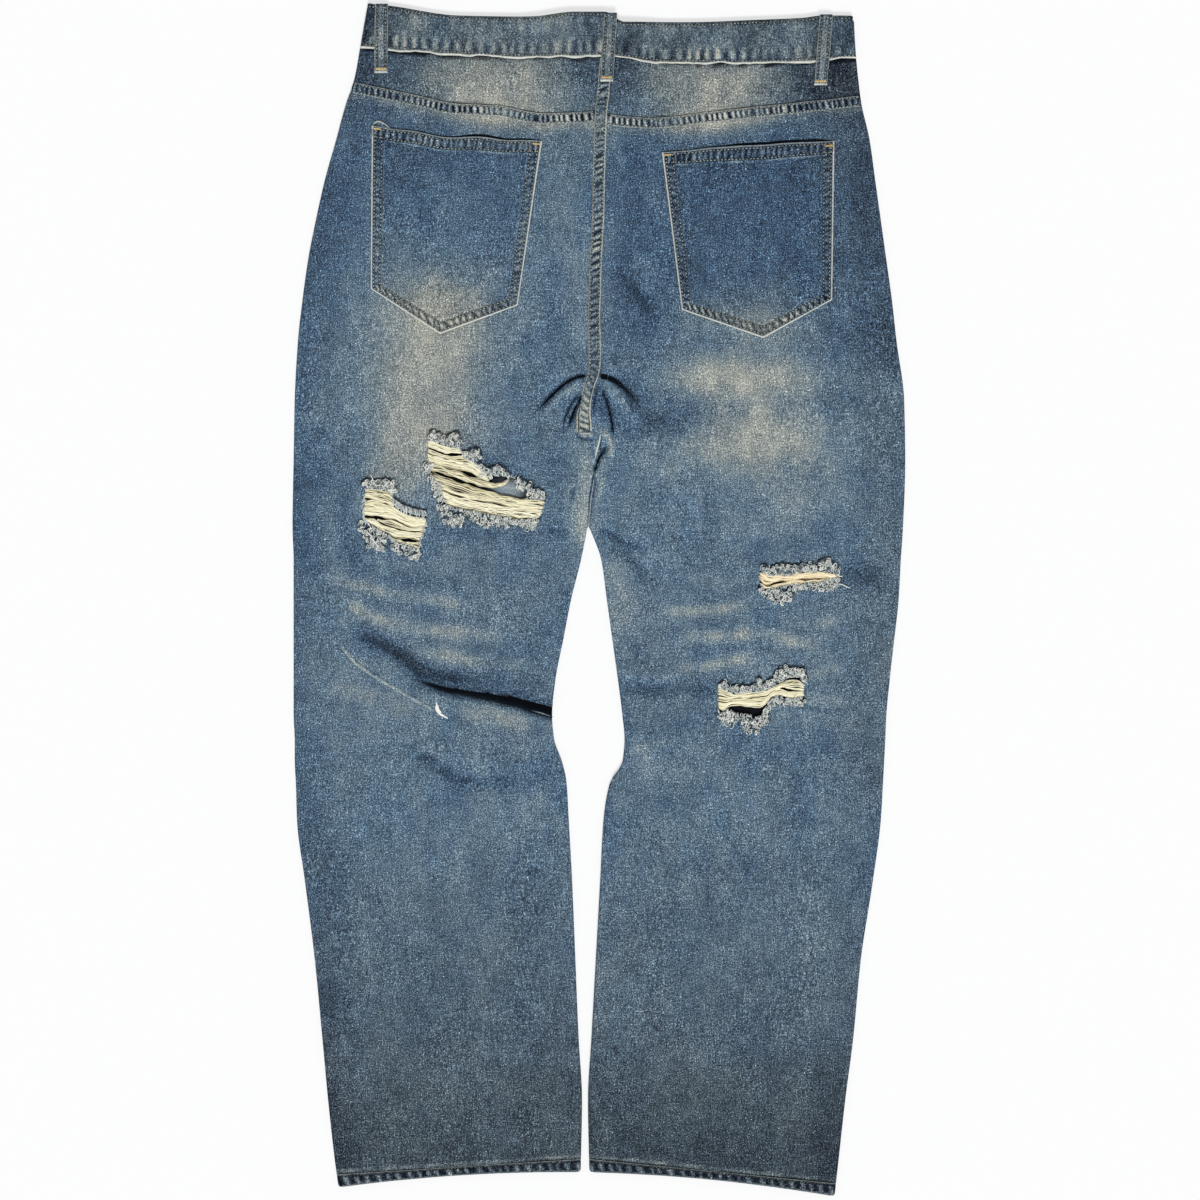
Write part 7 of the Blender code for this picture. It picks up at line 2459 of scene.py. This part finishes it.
# ------------------------------------------- underside: fly, loops, zip, button
for name in ("fly", "zip", "loop_front_left", "loop_front_right"):
    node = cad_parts[name]
    node.data.materials.clear()
    node.data.materials.append(denim_plain)
metal = Graph("aged_brass")
scuff = metal.noise((900, 900, 900), 3.0, 0.6)
patina = metal.noise((260, 260, 260), 2.0, 0.5)
metal.link(metal.ramp(patina, [(0.3, (96, 76, 48)), (0.6, (158, 128, 84)), (0.8, (190, 164, 118))]),
           metal.bsdf.inputs["Base Color"])
metal.link(metal.math("MULTIPLY_ADD", scuff, 0.35, 0.22), metal.bsdf.inputs["Roughness"])
metal.set(Metallic=1.0)
metal.bump(scuff, 0.00012, 0.5)
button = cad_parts["button"]
button.data.materials.clear()
button.data.materials.append(metal.mat)

# ------------------------------------------------------------ attach to the root, hide CAD parts
for obj, slot, nodes in PIECES:
    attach(obj, "root")
    if nodes:
        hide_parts(*nodes)


def area_of(obj):
    n = len(obj.data.polygons)
    a = np.empty(n)
    obj.data.polygons.foreach_get("area", a)
    return a.sum()


for p in POCKETS:
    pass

# ------------------------------------------------------ floor, light, camera
scene = bpy.context.scene
scene.view_settings.view_transform = "Standard"
scene.view_settings.look = "None"
bm = bmesh.new()
bmesh.ops.create_grid(bm, x_segments=4, y_segments=4, size=12.0)
mesh = bpy.data.meshes.new("floor")
bm.to_mesh(mesh)
bm.free()
floor_graph = Graph("pale_floor")
floor_graph.set(Base_Color=(0.34, 0.34, 0.34, 1), Roughness=0.95, Specular_IOR_Level=0.0,
                Emission_Color=(1, 1, 1, 1), Emission_Strength=0.63)
mesh.materials.append(floor_graph.mat)
floor_obj = bpy.data.objects.new("floor", mesh)
floor_obj.location.z = -0.0004
scene.collection.objects.link(floor_obj)

world = bpy.data.worlds.new("soft")
world.use_nodes = True
world.node_tree.nodes["Background"].inputs[0].default_value = (0.97, 0.985, 1.0, 1)
world.node_tree.nodes["Background"].inputs[1].default_value = 0.42
scene.world = world


def far_light(name, towards, wide, strength):
    """A wide soft light, far enough off to be even over the whole cloth."""
    data = bpy.data.lights.new(name, "SUN")
    data.angle = math.radians(wide)
    data.energy = strength
    obj = bpy.data.objects.new(name, data)
    obj.location = Vector(towards).normalized() * 3.0
    obj.rotation_mode = "QUATERNION"
    obj.rotation_quaternion = (-Vector(towards)).to_track_quat("-Z", "Y")
    scene.collection.objects.link(obj)


far_light("key", (0.12, -0.80, 1.0), 14, 2.55)

cam_data = bpy.data.cameras.new("camera")
cam_data.type = "PERSP"
cam_data.sensor_width = 36
cam_data.lens = 86.0
cam = bpy.data.objects.new("camera", cam_data)
cam.location = (0.0, 0.0, 1.08 * 86.0 / 36.0 + 0.005)
cam.rotation_euler = (0, 0, 0)
scene.collection.objects.link(cam)
scene.camera = cam

total = sum(sum(len(poly.vertices) - 2 for poly in o.data.polygons) for o in MADE.values())
for o in sorted(MADE.values(), key=lambda o: -len(o.data.polygons))[:8]:
    print(o.name, sum(len(poly.vertices) - 2 for poly in o.data.polygons))
print("triangles", total)
